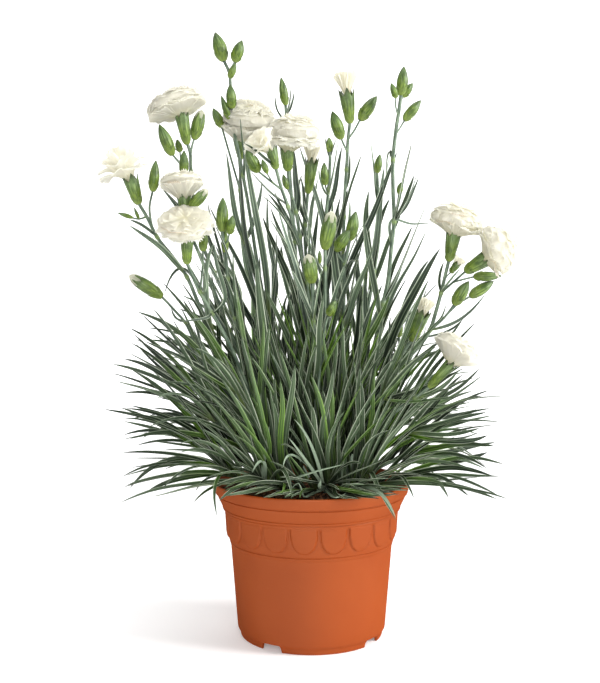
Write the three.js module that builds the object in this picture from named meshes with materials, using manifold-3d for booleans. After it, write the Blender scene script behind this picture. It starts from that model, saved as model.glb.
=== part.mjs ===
// A dianthus (border pink) in its 13 cm nursery pot: a tuft of narrow leafy shoots with flowering stems above it.
// Millimetres, +Z up. The origin is at the centre of the pot's foot, and +Y points to the back of the plant.
import * as THREE from 'three';
import { mergeVertices } from 'three/addons/utils/BufferGeometryUtils.js';
import Module from 'manifold-3d';

// ---------------------------------------------------------------- dimensions
const GAP = 0.3; // clearance kept between neighbouring pieces
const LIP_RADIUS = 65.6; // outside of the rim
const POT_HEIGHT = 104;
const FOOT_RADIUS = 47.6;
const POT_SIDES = 36;
// pot wall as [radius, height], up the outside, over the rim and down the inside to the floor
const POT_PROFILE = [
  [0, 5.4], [45.9, 5.4], [46.0, 0], [FOOT_RADIUS, 0], [48.3, 3.4], [49.75, 5.6], [54.2, 61.9], [56.6, 70],
  [57.3, 82.4], [64.5, 97.3], [LIP_RADIUS, 103.2], [65.2, POT_HEIGHT], [64.3, POT_HEIGHT], [63.3, 98.1], [56.0, 83.0],
  [55.2, 70.4], [52.8, 62.4], [48.4, 7.2], [0, 7.0],
];
const NOTCH = { width: 16.5, height: 4.4, angles: [-124, -33.2, 55.2, 146] }; // water gaps in the foot ring, degrees from the front towards +X
const DRAIN_HOLES = { count: 8, radius: 3.2, ring: 38, sides: 6 };
const SOIL_EDGE = 97.0; // height of the soil at the pot wall
const SOIL_CROWN = 101.0; // and in the middle
const SOIL_RIM_RADIUS = 62.0;
const STEM_SIDES = 4;
const BUD_SIDES = 5;
const CALYX_SIDES = 5;
const PETAL_SIDES = 8;
const LEAF_STATIONS = [0, 0.32, 0.68]; // where a blade's cross-sections stand, as shares of its length
const LEAF_TAPER = [0.4, 1.0, 0.74]; // its width at each of them
const KEEL = 0.3; // depth of a blade's keel as a share of its width
const GOLDEN = 137.508;
const REACH = [128, 101]; // how far a rule-placed blade may reach sideways and to the front or back
const FILL_SOLID = 5; // how many of a shoot's rule-placed blades are solid here

// Flowering stems. path, branches: centre lines from the base up; r: radius at base and top.
// buds: [base, tip, radius, kind], kind 1 opening, 2 nearly open, 3 and 4 young.
// flowers: [number, calyx base, calyx mouth, calyx radius, middle of the petals, facing, petal radius, depth, kind].
// leaves: [[base, middle, tip], width].
const STEMS = [
  { name: 'flower_stem_01', r: [1.5,1.05],
    path: [[-21.0,-6.0,101.1],[-32.7,-14.0,133.1],[-48.1,-20.0,168.2],[-61.2,-26.0,198.0],[-72.2,-30.0,222.6],[-79.6,-32.0,240.5],[-88.8,-34.0,253.8],[-97.9,-36.0,265.7],[-104.0,-37.0,278.2],[-109.1,-38.0,286.9]],
    nodes: [[-97.9,-36.0,265.7],[-79.6,-32.0,240.5],[-65.6,-27.0,203.9]],
    branches: [[[[-101.2,-36.5,272.5],[-102.9,-33.0,284.7],[-100.9,-31.0,295.5]],0.75],[[[-104.2,-37.0,278.5],[-108.6,-40.0,276.8],[-113.3,-42.0,277.7]],0.6]],
    buds: [[[-100.9,-31.0,295.1],[-99.1,-29.0,314.6],3.33,0],[[-111.9,-41.4,277.4],[-121.5,-45.0,280.6],1.41,3],[[-108.5,-39.9,276.5],[-111.4,-42.0,284.2],1.1,3]],
    flowers: [[2,[-109.0,-38.0,286.5],[-114.1,-39.0,303.0],4.7,[-118.9,-40.0,308.5],[-0.36,-0.123,0.925],16.3,9.4,2]],
    leaves: [[[[-97.4,-35.9,265.0],[-105.5,-40.0,271.8],[-114.1,-45.0,276.3]],2.8],[[[-79.4,-31.9,239.9],[-94.4,-40.0,257.5],[-114.0,-48.0,272.8]],4.1],[[[-64.2,-27.1,204.7],[-67.8,-44.0,233.7],[-61.2,-46.0,262.3]],4.7],[[[-64.0,-27.0,204.3],[-80.4,-30.0,244.9],[-94.1,-34.0,228.5]],4.1],[[[-29.0,-11.5,123.0],[-33.9,-16.0,170.5],[-39.8,-21.0,217.5]],5.2],[[[-29.0,-11.5,123.0],[-50.3,-23.9,150.9],[-70.4,-35.8,179.4]],5.0],[[[-47.5,-19.8,166.8],[-65.8,-16.1,196.5],[-84.8,-11.1,226.1]],4.3],[[[-47.5,-19.8,166.8],[-52.4,-34.9,197.2],[-56.9,-50.7,227.6]],4.7]] },
  { name: 'flower_stem_02', r: [1.5,1.05],
    path: [[-12.0,-20.0,101.0],[-27.0,-30.0,135.6],[-40.6,-40.0,170.4],[-52.1,-47.0,199.4],[-62.2,-52.0,218.4],[-69.3,-55.0,231.4],[-73.3,-57.0,240.7],[-76.9,-58.0,249.3]],
    nodes: [[-69.3,-55.0,231.4],[-62.2,-52.0,218.4]],
    branches: [[[[-69.3,-55.0,231.4],[-68.0,-51.0,246.2],[-68.0,-47.0,257.4]],0.7]],
    buds: [[[-68.0,-47.1,257.0],[-67.6,-43.0,271.1],2.95,0]],
    flowers: [[4,[-76.9,-58.0,248.9],[-76.8,-58.0,263.9],3.97,[-77.9,-58.0,273.0],[0.0,-0.6,0.8],17.1,4.9,5]],
    leaves: [[[[-68.7,-54.7,230.3],[-64.8,-57.0,237.6],[-72.0,-50.0,259.8]],2.1],[[[-61.8,-51.8,217.7],[-53.1,-58.0,226.6],[-58.2,-70.0,249.8],[-59.2,-72.0,261.1]],3.1],[[[-62.6,-52.2,219.1],[-66.5,-60.0,215.6],[-80.8,-75.0,213.9]],1.8],[[[-21.6,-26.4,123.0],[-29.4,-21.9,171.4],[-38.6,-20.0,218.5]],4.7],[[[-21.6,-26.4,123.0],[-36.1,-48.3,147.1],[-50.5,-69.2,171.4]],5.7],[[[-37.4,-37.6,162.1],[-57.7,-38.8,189.5],[-76.8,-40.9,217.0]],4.3],[[[-37.4,-37.6,162.1],[-42.4,-49.9,193.7],[-47.3,-62.3,225.3]],5.0]] },
  { name: 'flower_stem_03', r: [1.5,1.05],
    path: [[-17.0,7.0,101.2],[-30.7,4.0,137.1],[-41.8,-1.0,176.9],[-52.6,-7.0,217.2],[-64.0,-12.0,243.6],[-72.0,-16.0,264.3],[-76.0,-20.0,286.7],[-77.6,-22.0,307.6],[-78.1,-22.0,320.3],[-80.0,-22.0,326.0]],
    nodes: [[-77.6,-22.0,307.6],[-64.0,-12.0,243.6],[-52.6,-7.0,217.2]],
    branches: [[[[-78.0,-22.0,316.5],[-77.0,-20.0,324.3],[-75.6,-18.0,329.7]],0.7],[[[-76.9,-21.1,298.1],[-83.9,-23.0,312.0],[-89.3,-25.0,318.7]],0.75],[[[-79.7,-21.9,303.7],[-84.3,-19.0,315.5],[-85.0,-18.0,321.4]],0.55],[[[-76.4,-20.6,292.5],[-80.4,-26.0,298.4],[-81.5,-28.0,304.6]],0.7]],
    buds: [[[-75.7,-18.0,329.3],[-70.8,-16.0,347.8],4.18,1],[[-89.2,-24.9,318.4],[-97.1,-28.0,337.3],3.99,0],[[-84.9,-18.0,321.0],[-87.0,-17.0,329.1],2.25,0],[[-81.5,-28.0,304.2],[-81.1,-30.0,320.7],3.18,0]],
    flowers: [[1,[-80.0,-22.0,325.6],[-83.5,-24.0,345.4],4.46,[-86.4,-24.0,348.5],[-0.332,0.119,0.936],18.8,8.9,0]],
    leaves: [[[[-63.4,-11.8,242.3],[-59.3,-4.0,250.2],[-68.2,2.0,284.6],[-69.5,3.0,290.6]],2.0],[[[-52.6,-7.0,217.2],[-62.1,-20.0,239.7],[-75.2,-30.0,260.8]],2.9],[[[-52.6,-7.0,217.2],[-49.2,4.0,234.8],[-68.6,14.0,259.7]],3.3],[[[-25.3,5.2,123.0],[-40.7,18.7,168.5],[-55.9,34.8,214.2]],4.2],[[[-25.3,5.2,123.0],[-35.3,-7.5,152.3],[-45.5,-19.4,181.7]],4.8],[[[-36.3,1.5,157.4],[-56.8,-1.3,183.2],[-78.3,-3.9,208.8]],4.2],[[[-36.3,1.5,157.4],[-35.6,-0.9,192.0],[-35.4,-3.3,226.6]],5.2],[[[-48.3,-4.6,201.1],[-52.8,-23.6,232.5],[-57.7,-41.3,264.0]],5.3],[[[-48.3,-4.6,201.1],[-60.7,3.2,240.1],[-73.2,10.9,279.1]],5.0]] },
  { name: 'flower_stem_04', r: [1.5,1.05],
    path: [[-9.0,-4.0,101.5],[-31.3,-18.0,144.3],[-42.0,-25.0,177.8],[-53.1,-31.0,206.7],[-62.8,-36.0,233.6],[-70.0,-39.0,252.5],[-76.6,-41.0,268.7],[-79.6,-42.0,278.0]],
    nodes: [[-76.6,-41.0,268.7],[-53.1,-31.0,206.7]],
    branches: [[[[-76.6,-41.0,268.7],[-75.2,-45.0,277.2],[-75.3,-47.0,283.9]],0.7]],
    buds: [[[-75.6,-46.9,283.6],[-64.5,-49.0,294.9],3.56,1]],
    flowers: [[3,[-79.5,-42.0,277.6],[-80.1,-42.0,291.0],4.37,[-81.6,-42.0,299.7],[-0.101,0.06,0.993],13.4,5.6,6]],
    leaves: [[[[-78.6,-41.7,274.8],[-84.6,-36.0,283.9],[-95.7,-32.0,297.3]],3.5],[[[-53.1,-31.0,206.7],[-60.8,-46.0,226.3],[-61.7,-50.0,235.7]],3.1],[[[-78.4,-41.6,274.3],[-84.8,-45.0,284.7],[-92.2,-50.0,294.2]],2.2],[[[-20.2,-11.0,123.0],[-52.1,-15.6,161.8],[-84.6,-19.8,200.4]],5.3],[[[-20.2,-11.0,123.0],[-23.1,-27.2,150.3],[-26.2,-43.1,177.5]],5.5],[[[-33.9,-19.7,152.6],[-52.4,-33.9,174.8],[-69.7,-47.0,197.6]],5.8],[[[-33.9,-19.7,152.6],[-34.1,-19.6,187.9],[-35.1,-20.0,222.8]],5.5],[[[-46.6,-27.5,189.8],[-47.9,-46.1,223.6],[-48.4,-65.7,257.6]],4.7],[[[-46.6,-27.5,189.8],[-65.0,-25.7,221.1],[-82.1,-25.7,252.5]],4.3]] },
  { name: 'flower_stem_05', r: [1.5,1.05],
    path: [[-5.0,13.0,101.4],[-17.3,18.0,135.0],[-24.2,22.0,174.7],[-29.8,25.0,209.0],[-33.9,27.0,231.0],[-38.1,29.0,255.2],[-42.2,31.0,282.7],[-47.1,33.0,310.3],[-50.5,34.0,327.5],[-54.0,35.0,344.7],[-55.4,36.0,358.5],[-55.7,37.0,372.3],[-56.8,38.0,381.4],[-60.5,38.0,389.5]],
    nodes: [[-29.8,25.0,209.7],[-47.1,33.0,310.3],[-55.4,36.0,357.2]],
    branches: [[[[-56.3,37.5,377.2],[-54.6,36.0,384.4],[-52.4,35.0,388.3]],0.65],[[[-54.9,35.7,353.8],[-54.1,32.0,355.2],[-54.4,31.0,356.4]],0.8],[[[-53.3,34.8,341.3],[-55.2,33.0,346.5],[-56.5,32.0,349.1]],0.6]],
    buds: [[[-60.4,38.0,389.2],[-66.3,38.0,408.6],4.83,0],[[-52.6,35.0,387.9],[-47.5,34.0,402.3],4.13,0],[[-56.3,37.5,377.3],[-51.8,36.0,387.8],2.59,4],[[-54.3,31.2,355.9],[-55.6,30.0,371.9],3.6,0],[[-56.4,32.0,348.7],[-61.8,30.0,364.4],2.41,3]],
    flowers: [],
    leaves: [[[[-29.8,25.0,209.0],[-44.5,34.0,265.6],[-52.3,42.0,336.7]],6.6],[[[-29.8,25.0,209.0],[-33.5,16.0,258.4],[-42.7,14.0,312.1],[-46.0,14.0,330.7]],5.8],[[[-46.7,32.9,308.3],[-46.7,26.0,326.7],[-48.5,24.0,348.0]],3.1],[[[-29.8,25.0,209.0],[-25.0,30.0,231.0],[-28.7,38.0,258.7],[-30.8,42.0,298.6]],3.1],[[[-12.9,16.2,123.0],[-48.5,27.3,159.0],[-82.8,38.1,195.4]],4.8],[[[-12.9,16.2,123.0],[-15.5,18.5,175.1],[-18.3,20.8,227.1]],4.5],[[[-22.2,20.8,162.9],[-31.9,11.5,214.2],[-41.6,1.0,265.7]],5.7],[[[-22.2,20.8,162.9],[-26.5,38.8,193.5],[-30.9,55.0,224.3]],5.7],[[[-27.3,23.6,193.5],[-24.6,23.6,233.2],[-24.0,24.4,272.5]],4.2],[[[-27.3,23.6,193.5],[-48.4,29.3,242.2],[-71.4,35.0,290.6]],5.3]] },
  { name: 'flower_stem_06', r: [1.5,1.05],
    path: [[-15.0,-15.0,101.1],[-30.8,-30.0,160.2],[-41.5,-33.0,190.8],[-49.0,-35.0,214.5],[-52.6,-37.0,233.6],[-53.7,-38.0,244.9],[-54.9,-38.0,257.5],[-56.2,-38.0,265.0],[-56.8,-38.0,270.0]],
    nodes: [[-49.0,-35.0,214.5],[-53.1,-38.0,240.5]],
    branches: [[[[-55.4,-38.0,260.7],[-52.9,-40.0,263.7],[-51.9,-41.0,268.1]],0.6]],
    buds: [[[-56.8,-38.0,269.6],[-56.2,-36.0,290.8],3.93,0],[[-51.9,-41.0,267.7],[-49.6,-42.0,279.2],2.82,0],[[-54.8,-38.1,256.3],[-55.1,-34.0,270.8],2.37,4]],
    flowers: [],
    leaves: [[[[-44.4,-33.8,200.0],[-47.7,-44.0,237.5],[-61.4,-50.0,274.6]],4.7],[[[-49.0,-35.0,214.5],[-50.1,-46.0,228.8],[-55.9,-52.0,241.9],[-60.0,-56.0,235.8]],2.5],[[[-53.3,-37.6,240.5],[-60.0,-30.0,250.0],[-66.8,-24.0,259.7]],3.2],[[[-20.9,-20.6,123.0],[-50.8,-32.2,164.4],[-77.3,-43.9,206.6]],4.3],[[[-20.9,-20.6,123.0],[-13.0,-27.0,172.6],[-4.8,-33.4,222.3]],5.2],[[[-30.3,-29.5,158.2],[-30.8,-53.0,204.8],[-33.6,-74.2,251.3]],5.7],[[[-30.3,-29.5,158.2],[-42.2,-28.7,191.9],[-53.4,-30.2,225.2]],4.3]] },
  { name: 'flower_stem_07', r: [1.5,1.05],
    path: [[-2.0,21.0,101.1],[-21.6,26.0,139.4],[-30.7,32.0,187.7],[-37.8,36.0,223.9],[-42.7,39.0,244.8],[-46.3,41.0,263.7],[-48.4,43.0,283.3],[-49.8,44.0,300.8],[-49.1,45.0,323.1]],
    nodes: [[-46.3,41.0,263.7],[-49.8,44.0,300.8]],
    branches: [[[[-49.8,44.0,300.8],[-57.1,40.0,326.8],[-62.1,38.0,344.4]],0.75]],
    buds: [[[-62.0,38.1,344.1],[-67.8,36.0,356.5],3.29,0]],
    flowers: [[5,[-49.0,45.0,322.7],[-50.4,45.0,337.0],4.2,[-44.0,44.0,348.0],[0.122,-0.305,0.945],18.2,11.2,1]],
    leaves: [[[[-46.3,41.0,263.7],[-54.2,46.0,290.4],[-59.9,50.0,329.2]],4.2],[[[-37.8,36.0,223.9],[-46.7,50.0,250.4],[-51.2,56.0,276.8]],4.3],[[[-46.3,41.0,263.7],[-38.7,47.0,283.5],[-34.6,52.0,308.4]],3.2],[[[-13.2,23.9,123.0],[-44.6,18.0,165.2],[-77.6,10.1,206.9]],5.4],[[[-13.2,23.9,123.0],[-22.5,37.8,168.5],[-31.2,52.2,214.1]],4.3],[[[-24.2,27.7,153.5],[-16.0,26.4,204.0],[-7.3,24.8,254.7]],5.7],[[[-24.2,27.7,153.5],[-39.4,39.7,184.2],[-52.3,49.6,215.5]],4.6],[[[-30.4,31.8,186.0],[-27.2,42.9,227.5],[-26.7,52.5,268.7]],4.8],[[[-30.4,31.8,186.0],[-49.6,25.4,224.3],[-66.2,21.6,262.9]],5.6]] },
  { name: 'flower_stem_08', r: [1.5,1.05],
    path: [[2.0,-5.0,101.6],[-4.4,-4.0,143.6],[-2.4,-2.0,183.7],[-2.4,0.0,216.9],[-5.7,2.0,248.9],[-7.7,3.0,266.8],[-10.4,3.0,283.4],[-14.3,1.0,297.8],[-15.6,-1.0,310.7]],
    nodes: [[-10.4,3.0,283.4],[-7.7,3.0,266.8]],
    branches: [[[[-12.5,1.9,291.2],[-15.0,-3.0,296.2],[-16.3,-4.0,298.7]],0.5]],
    buds: [[[-15.9,-3.8,297.9],[-18.9,-5.0,307.8],2.14,0]],
    flowers: [[7,[-15.6,-1.0,310.3],[-16.3,-2.0,324.4],4.61,[-12.0,-2.0,332.8],[0.052,-0.124,0.991],16.8,11.2,1]],
    leaves: [[[[-10.3,3.0,282.7],[-10.4,10.0,298.4],[-11.7,12.0,325.2]],5.4],[[[-7.6,3.0,266.2],[-19.1,12.0,283.8],[-24.6,16.0,297.5]],3.4],[[[-2.4,0.0,216.9],[-14.4,8.0,250.2],[-28.0,14.0,288.0]],4.0],[[[-1.2,-4.5,123.0],[-13.5,-25.3,171.6],[-25.8,-46.8,220.2]],4.9],[[[-1.2,-4.5,123.0],[-4.2,15.8,165.2],[-6.9,37.2,207.3]],5.0],[[[-3.4,-3.0,163.7],[19.6,2.0,208.3],[38.9,6.4,253.0]],5.6],[[[-3.4,-3.0,163.7],[-16.1,-0.4,198.1],[-30.9,2.2,232.6]],4.8],[[[-2.4,-0.7,204.7],[1.3,15.4,246.3],[5.0,31.4,287.9]],4.2],[[[-2.4,-0.7,204.7],[-1.8,-11.4,241.2],[-1.3,-22.5,277.7]],5.0]] },
  { name: 'flower_stem_09', r: [1.5,1.05],
    path: [[6.0,-13.0,101.4],[-2.5,-18.0,139.0],[0.1,-22.0,178.8],[-0.6,-25.0,211.5],[-4.5,-28.0,240.5],[-9.6,-30.0,265.9],[-15.3,-30.0,284.9],[-19.8,-29.0,297.6],[-23.0,-28.0,309.6]],
    nodes: [[-15.3,-30.0,284.9],[-3.9,-28.0,236.6]],
    branches: [[[[-19.1,-29.1,295.7],[-27.3,-31.0,301.8],[-34.3,-32.0,307.4]],0.7],[[[-24.7,-30.4,299.8],[-27.2,-34.0,303.5],[-28.5,-35.0,305.9]],0.5]],
    buds: [[[-34.1,-31.9,307.0],[-41.6,-35.0,320.2],3.95,0],[[-28.3,-35.0,305.5],[-31.6,-36.0,314.5],2.05,0]],
    flowers: [[6,[-22.9,-28.0,309.2],[-26.1,-28.0,322.2],3.81,[-33.0,-30.0,325.8],[-0.6,-0.58,0.55],10.8,7.0,3]],
    leaves: [[[[-15.9,-29.9,286.4],[-27.8,-38.0,295.0],[-38.9,-42.0,307.1]],2.8],[[[-8.5,-29.5,260.1],[-19.0,-40.0,278.7],[-31.9,-46.0,291.4]],2.8],[[[-3.2,-27.0,230.8],[-15.2,-42.0,257.4],[-26.8,-50.0,277.0]],4.4],[[[-23.0,-28.0,309.6],[-34.1,-34.0,318.4],[-42.8,-37.0,324.3]],2.8],[[[1.1,-15.9,123.1],[-1.8,-30.4,151.8],[-4.9,-44.0,180.7]],4.4],[[[1.1,-15.9,123.1],[-18.0,-11.3,163.1],[-38.2,-5.6,203.1]],5.7],[[[-1.2,-20.0,159.0],[12.9,-19.4,205.6],[27.1,-18.7,252.2]],5.6],[[[-1.2,-20.0,159.0],[-7.5,-26.4,194.6],[-15.2,-33.2,230.2]],5.1],[[[-0.2,-23.3,193.4],[-9.7,-14.1,238.0],[-16.9,-8.5,282.2]],5.3],[[[-0.2,-23.3,193.4],[1.0,-35.7,223.7],[1.9,-46.5,254.0]],4.3]] },
  { name: 'flower_stem_10', r: [1.5,1.05],
    path: [[8.0,8.0,101.5],[3.2,12.0,141.4],[3.2,14.0,182.3],[0.5,16.0,216.3],[-2.9,17.0,246.9],[-4.3,18.0,265.2],[-3.6,18.0,282.1],[-2.3,18.0,297.6]],
    nodes: [[-4.3,18.0,276.0],[-1.6,17.0,234.6]],
    branches: [],
    buds: [],
    flowers: [[8,[-2.3,18.0,297.2],[0.4,17.0,319.0],4.39,[0.4,17.0,324.4],[0.1,-0.05,0.994],5.4,11.5,4]],
    leaves: [[[[-3.8,18.0,277.4],[-9.7,13.0,294.6],[-5.7,12.0,309.2]],5.7],[[[-3.8,17.6,258.4],[-0.2,24.0,282.4],[4.6,27.0,307.8]],3.1],[[[0.5,16.0,216.3],[7.5,26.0,232.4],[11.0,32.0,251.7]],4.1],[[[5.4,10.2,123.1],[10.3,10.6,155.7],[13.0,11.6,188.0]],5.5],[[[5.4,10.2,123.1],[-15.0,22.6,158.9],[-37.0,35.9,194.5]],4.8],[[[3.2,12.6,154.3],[8.9,28.1,199.1],[12.9,40.0,244.1]],5.6],[[[3.2,12.6,154.3],[-2.3,4.2,190.1],[-8.1,-4.9,226.0]],5.3],[[[2.0,14.9,197.1],[-16.5,26.4,240.1],[-34.2,37.5,283.1]],4.8],[[[2.0,14.9,197.1],[9.9,12.8,246.2],[20.0,9.7,295.5]],5.3]] },
  { name: 'flower_stem_11', r: [1.5,1.05],
    path: [[3.0,-23.0,101.0],[2.5,-36.0,141.7],[2.4,-40.0,174.2],[1.1,-43.0,206.1],[0.4,-44.0,225.0],[-0.2,-45.0,237.5]],
    nodes: [[1.1,-43.0,212.4]],
    branches: [],
    buds: [[[-0.1,-45.0,237.1],[-2.7,-46.0,254.9],4.53,1]],
    flowers: [],
    leaves: [[[[0.9,-43.3,212.3],[3.4,-52.0,231.4],[5.8,-56.0,246.2]],3.1],[[[0.9,-43.3,212.3],[-6.5,-48.0,229.4],[-13.3,-52.0,246.2]],3.7],[[[2.7,-30.0,123.1],[16.6,-39.5,152.8],[32.1,-49.0,182.6]],5.0],[[[2.7,-30.0,123.1],[-10.7,-43.2,159.4],[-26.3,-56.5,195.6]],5.5],[[[2.5,-38.8,164.6],[0.4,-28.0,210.1],[-1.6,-17.7,255.6]],5.5],[[[2.5,-38.8,164.6],[4.3,-56.9,197.6],[6.2,-75.1,230.6]],5.6]] },
  { name: 'flower_stem_12', r: [1.5,1.05],
    path: [[10.0,-17.0,101.2],[3.9,-28.0,140.5],[5.8,-31.0,173.3],[7.6,-33.0,205.5],[8.2,-34.0,231.0],[8.1,-35.0,248.7],[8.1,-35.0,258.8]],
    nodes: [[8.1,-35.0,246.2],[7.6,-33.0,206.8]],
    branches: [[[[8.1,-34.8,244.9],[6.2,-36.0,246.8],[4.9,-37.0,249.3]],0.45]],
    buds: [[[8.0,-35.0,258.4],[12.5,-35.0,282.1],4.9,1],[[4.9,-37.0,248.9],[4.6,-37.0,257.5],1.42,0]],
    flowers: [],
    leaves: [[[[8.1,-34.9,246.2],[12.8,-26.0,259.0],[16.0,-24.0,278.2]],3.2],[[[7.6,-33.0,206.8],[13.5,-46.0,226.3],[20.8,-50.0,249.9]],4.4],[[[7.6,-33.0,206.8],[1.3,-26.0,225.7],[0.1,-20.0,250.1]],3.2],[[[6.6,-23.1,123.1],[13.2,-28.7,156.8],[20.1,-34.1,190.7]],4.5],[[[6.6,-23.1,123.1],[-14.2,-37.3,153.2],[-31.5,-50.4,184.2]],4.6],[[[5.0,-29.8,159.9],[-7.2,-22.7,203.6],[-15.9,-18.3,246.8]],5.5],[[[5.0,-29.8,159.9],[11.1,-40.5,195.4],[16.8,-50.7,231.1]],4.2],[[[6.7,-32.0,189.6],[-8.3,-46.7,236.7],[-21.6,-60.2,283.8]],5.3],[[[6.7,-32.0,189.6],[20.8,-24.7,226.0],[32.7,-19.1,262.3]],5.6]] },
  { name: 'flower_stem_13', r: [1.5,1.05],
    path: [[11.0,1.0,101.5],[7.8,4.0,142.5],[10.5,6.0,183.0],[11.2,8.0,223.3],[9.1,9.0,256.9],[9.8,10.0,280.4],[11.7,10.0,301.7],[12.4,10.0,317.0],[12.4,10.0,325.0]],
    nodes: [[11.8,10.0,298.4],[9.8,10.0,280.4]],
    branches: [[[[11.2,10.0,295.8],[9.7,7.0,298.9],[9.0,6.0,302.1]],0.55]],
    buds: [[[12.4,10.0,323.9],[11.7,10.0,333.6],2.51,0],[[9.0,6.0,301.7],[8.3,5.0,316.5],2.83,0]],
    flowers: [],
    leaves: [[[[12.4,10.0,319.7],[10.4,12.0,326.5],[9.1,13.0,333.9]],1.7],[[[12.4,10.0,319.7],[14.3,8.0,325.4],[16.3,7.0,331.9]],1.7],[[[11.1,10.0,294.4],[6.4,13.0,302.6],[5.1,14.0,314.1]],1.9],[[[9.7,9.9,278.4],[16.0,16.0,302.2],[20.7,18.0,328.5]],3.7],[[[9.7,9.9,278.4],[6.9,2.0,287.9],[6.2,0.0,293.8]],2.3],[[[11.1,10.0,294.4],[14.9,4.0,311.2],[17.5,3.0,330.8]],2.0],[[[9.3,2.6,123.1],[9.8,14.4,156.6],[10.0,25.2,190.1]],5.6],[[[9.3,2.6,123.1],[1.4,-5.7,158.4],[-5.2,-11.1,193.6]],5.3],[[[8.7,4.6,155.1],[1.6,9.9,198.6],[-4.6,14.8,242.0]],5.4],[[[8.7,4.6,155.1],[20.4,0.5,191.2],[31.0,-2.9,227.4]],4.5],[[[10.7,6.5,193.3],[2.7,1.1,244.9],[-6.5,-5.3,296.6]],4.8],[[[10.7,6.5,193.3],[19.6,16.5,224.9],[29.2,27.2,256.5]],5.0],[[[10.9,8.1,227.9],[17.3,3.7,263.6],[24.1,-0.9,299.3]],4.5],[[[10.9,8.1,227.9],[-0.3,15.0,257.7],[-10.5,21.1,287.7]],4.5]] },
  { name: 'flower_stem_14', r: [1.5,1.05],
    path: [[15.0,9.0,101.3],[16.9,14.0,141.1],[20.4,18.0,188.8],[21.0,20.0,223.0],[21.7,22.0,257.1],[22.4,23.0,281.0],[23.1,24.0,299.4],[24.4,25.0,319.8],[25.0,25.0,333.3],[26.4,25.0,345.5]],
    nodes: [[23.7,24.5,314.3],[22.4,23.0,282.3]],
    branches: [[[[24.7,25.0,325.2],[21.9,23.0,330.4],[20.2,22.0,334.3]],0.7],[[[25.1,25.0,334.0],[29.2,27.0,339.7],[33.7,29.0,348.0]],0.7]],
    buds: [[[20.3,22.0,334.0],[14.0,20.0,352.2],4.25,0],[[33.5,28.9,347.7],[45.2,32.0,364.1],4.28,0]],
    flowers: [[9,[26.4,25.0,345.1],[23.9,25.0,365.7],5.1,[23.6,25.0,371.0],[-0.05,-0.02,0.999],7.5,17.7,4]],
    leaves: [[[[23.0,23.9,298.0],[20.6,30.0,282.7],[13.1,34.0,267.0]],2.8],[[[22.4,23.1,282.3],[28.2,18.0,305.7],[34.1,16.0,322.9]],2.0],[[[23.0,23.9,298.0],[26.0,30.0,310.1],[26.8,32.0,326.0]],2.1],[[[21.7,21.9,255.1],[25.4,14.0,273.2],[25.9,12.0,292.5]],4.1],[[[16.1,11.7,123.1],[14.2,30.6,154.5],[12.9,47.1,186.2]],5.1],[[[16.1,11.7,123.1],[16.5,0.7,156.8],[17.1,-7.7,190.2]],4.4],[[[18.7,16.0,165.4],[9.7,16.8,207.9],[-1.5,17.1,250.5]],5.4],[[[18.7,16.0,165.4],[34.8,19.8,200.4],[49.0,23.4,235.5]],4.7],[[[20.5,18.5,197.0],[21.7,12.3,228.2],[22.7,8.0,259.4]],4.3],[[[20.5,18.5,197.0],[20.0,37.1,245.0],[19.6,53.9,293.0]],4.3],[[[21.3,20.6,233.9],[40.4,24.3,280.4],[59.5,28.0,326.9]],4.4],[[[21.3,20.6,233.9],[6.0,23.3,282.5],[-8.6,25.9,331.1]],4.3]] },
  { name: 'flower_stem_15', r: [1.5,1.05],
    path: [[13.0,-9.0,101.3],[12.8,-12.0,138.1],[17.2,-15.0,171.6],[20.3,-17.0,204.6],[20.9,-18.0,230.6],[21.5,-18.0,248.8],[23.4,-18.0,259.1],[24.7,-18.0,264.9]],
    nodes: [[21.5,-18.0,247.5],[20.3,-17.0,212.4]],
    branches: [[[[21.5,-18.0,248.8],[17.4,-22.0,253.9],[15.4,-24.0,257.7]],0.7]],
    buds: [[[24.6,-18.0,264.5],[28.5,-18.0,283.0],4.05,0],[[15.2,-23.9,257.4],[24.3,-26.0,270.5],4.02,0]],
    flowers: [],
    leaves: [[[[21.3,-18.0,244.9],[26.3,-25.0,260.9],[33.6,-30.0,275.4]],1.9],[[[21.2,-18.0,241.7],[29.0,-10.0,250.1],[32.7,-4.0,225.0]],2.3],[[[20.5,-17.3,212.4],[25.6,-28.0,232.1],[29.0,-34.0,256.3]],3.2],[[[20.5,-17.3,212.4],[14.7,-8.0,237.0],[17.4,-4.0,269.9]],3.9],[[[12.9,-10.8,123.1],[4.1,-3.9,158.7],[-5.9,4.3,194.5]],4.6],[[[12.9,-10.8,123.1],[21.1,-20.4,154.0],[27.5,-28.5,185.0]],5.0],[[[15.8,-14.0,160.7],[9.1,-25.1,201.1],[3.7,-35.5,241.5]],5.4],[[[15.8,-14.0,160.7],[34.9,-10.1,194.6],[51.7,-7.4,228.8]],4.9],[[[20.0,-16.8,200.7],[29.9,-24.9,231.7],[40.0,-33.2,262.7]],5.3],[[[20.0,-16.8,200.7],[15.2,-11.1,246.2],[13.5,-8.4,291.2]],5.3]] },
  { name: 'flower_stem_16', r: [1.5,1.05],
    path: [[18.0,15.0,101.0],[24.1,21.0,140.1],[31.8,27.0,181.2],[39.0,33.0,215.6],[44.0,37.0,243.4],[47.5,39.0,267.8],[47.9,40.0,285.2],[46.8,41.0,300.6],[46.0,41.0,313.1]],
    nodes: [[47.9,40.0,285.9],[44.0,37.0,243.4]],
    branches: [],
    buds: [[[46.0,41.0,312.7],[48.1,41.0,325.5],2.79,0]],
    flowers: [],
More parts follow.
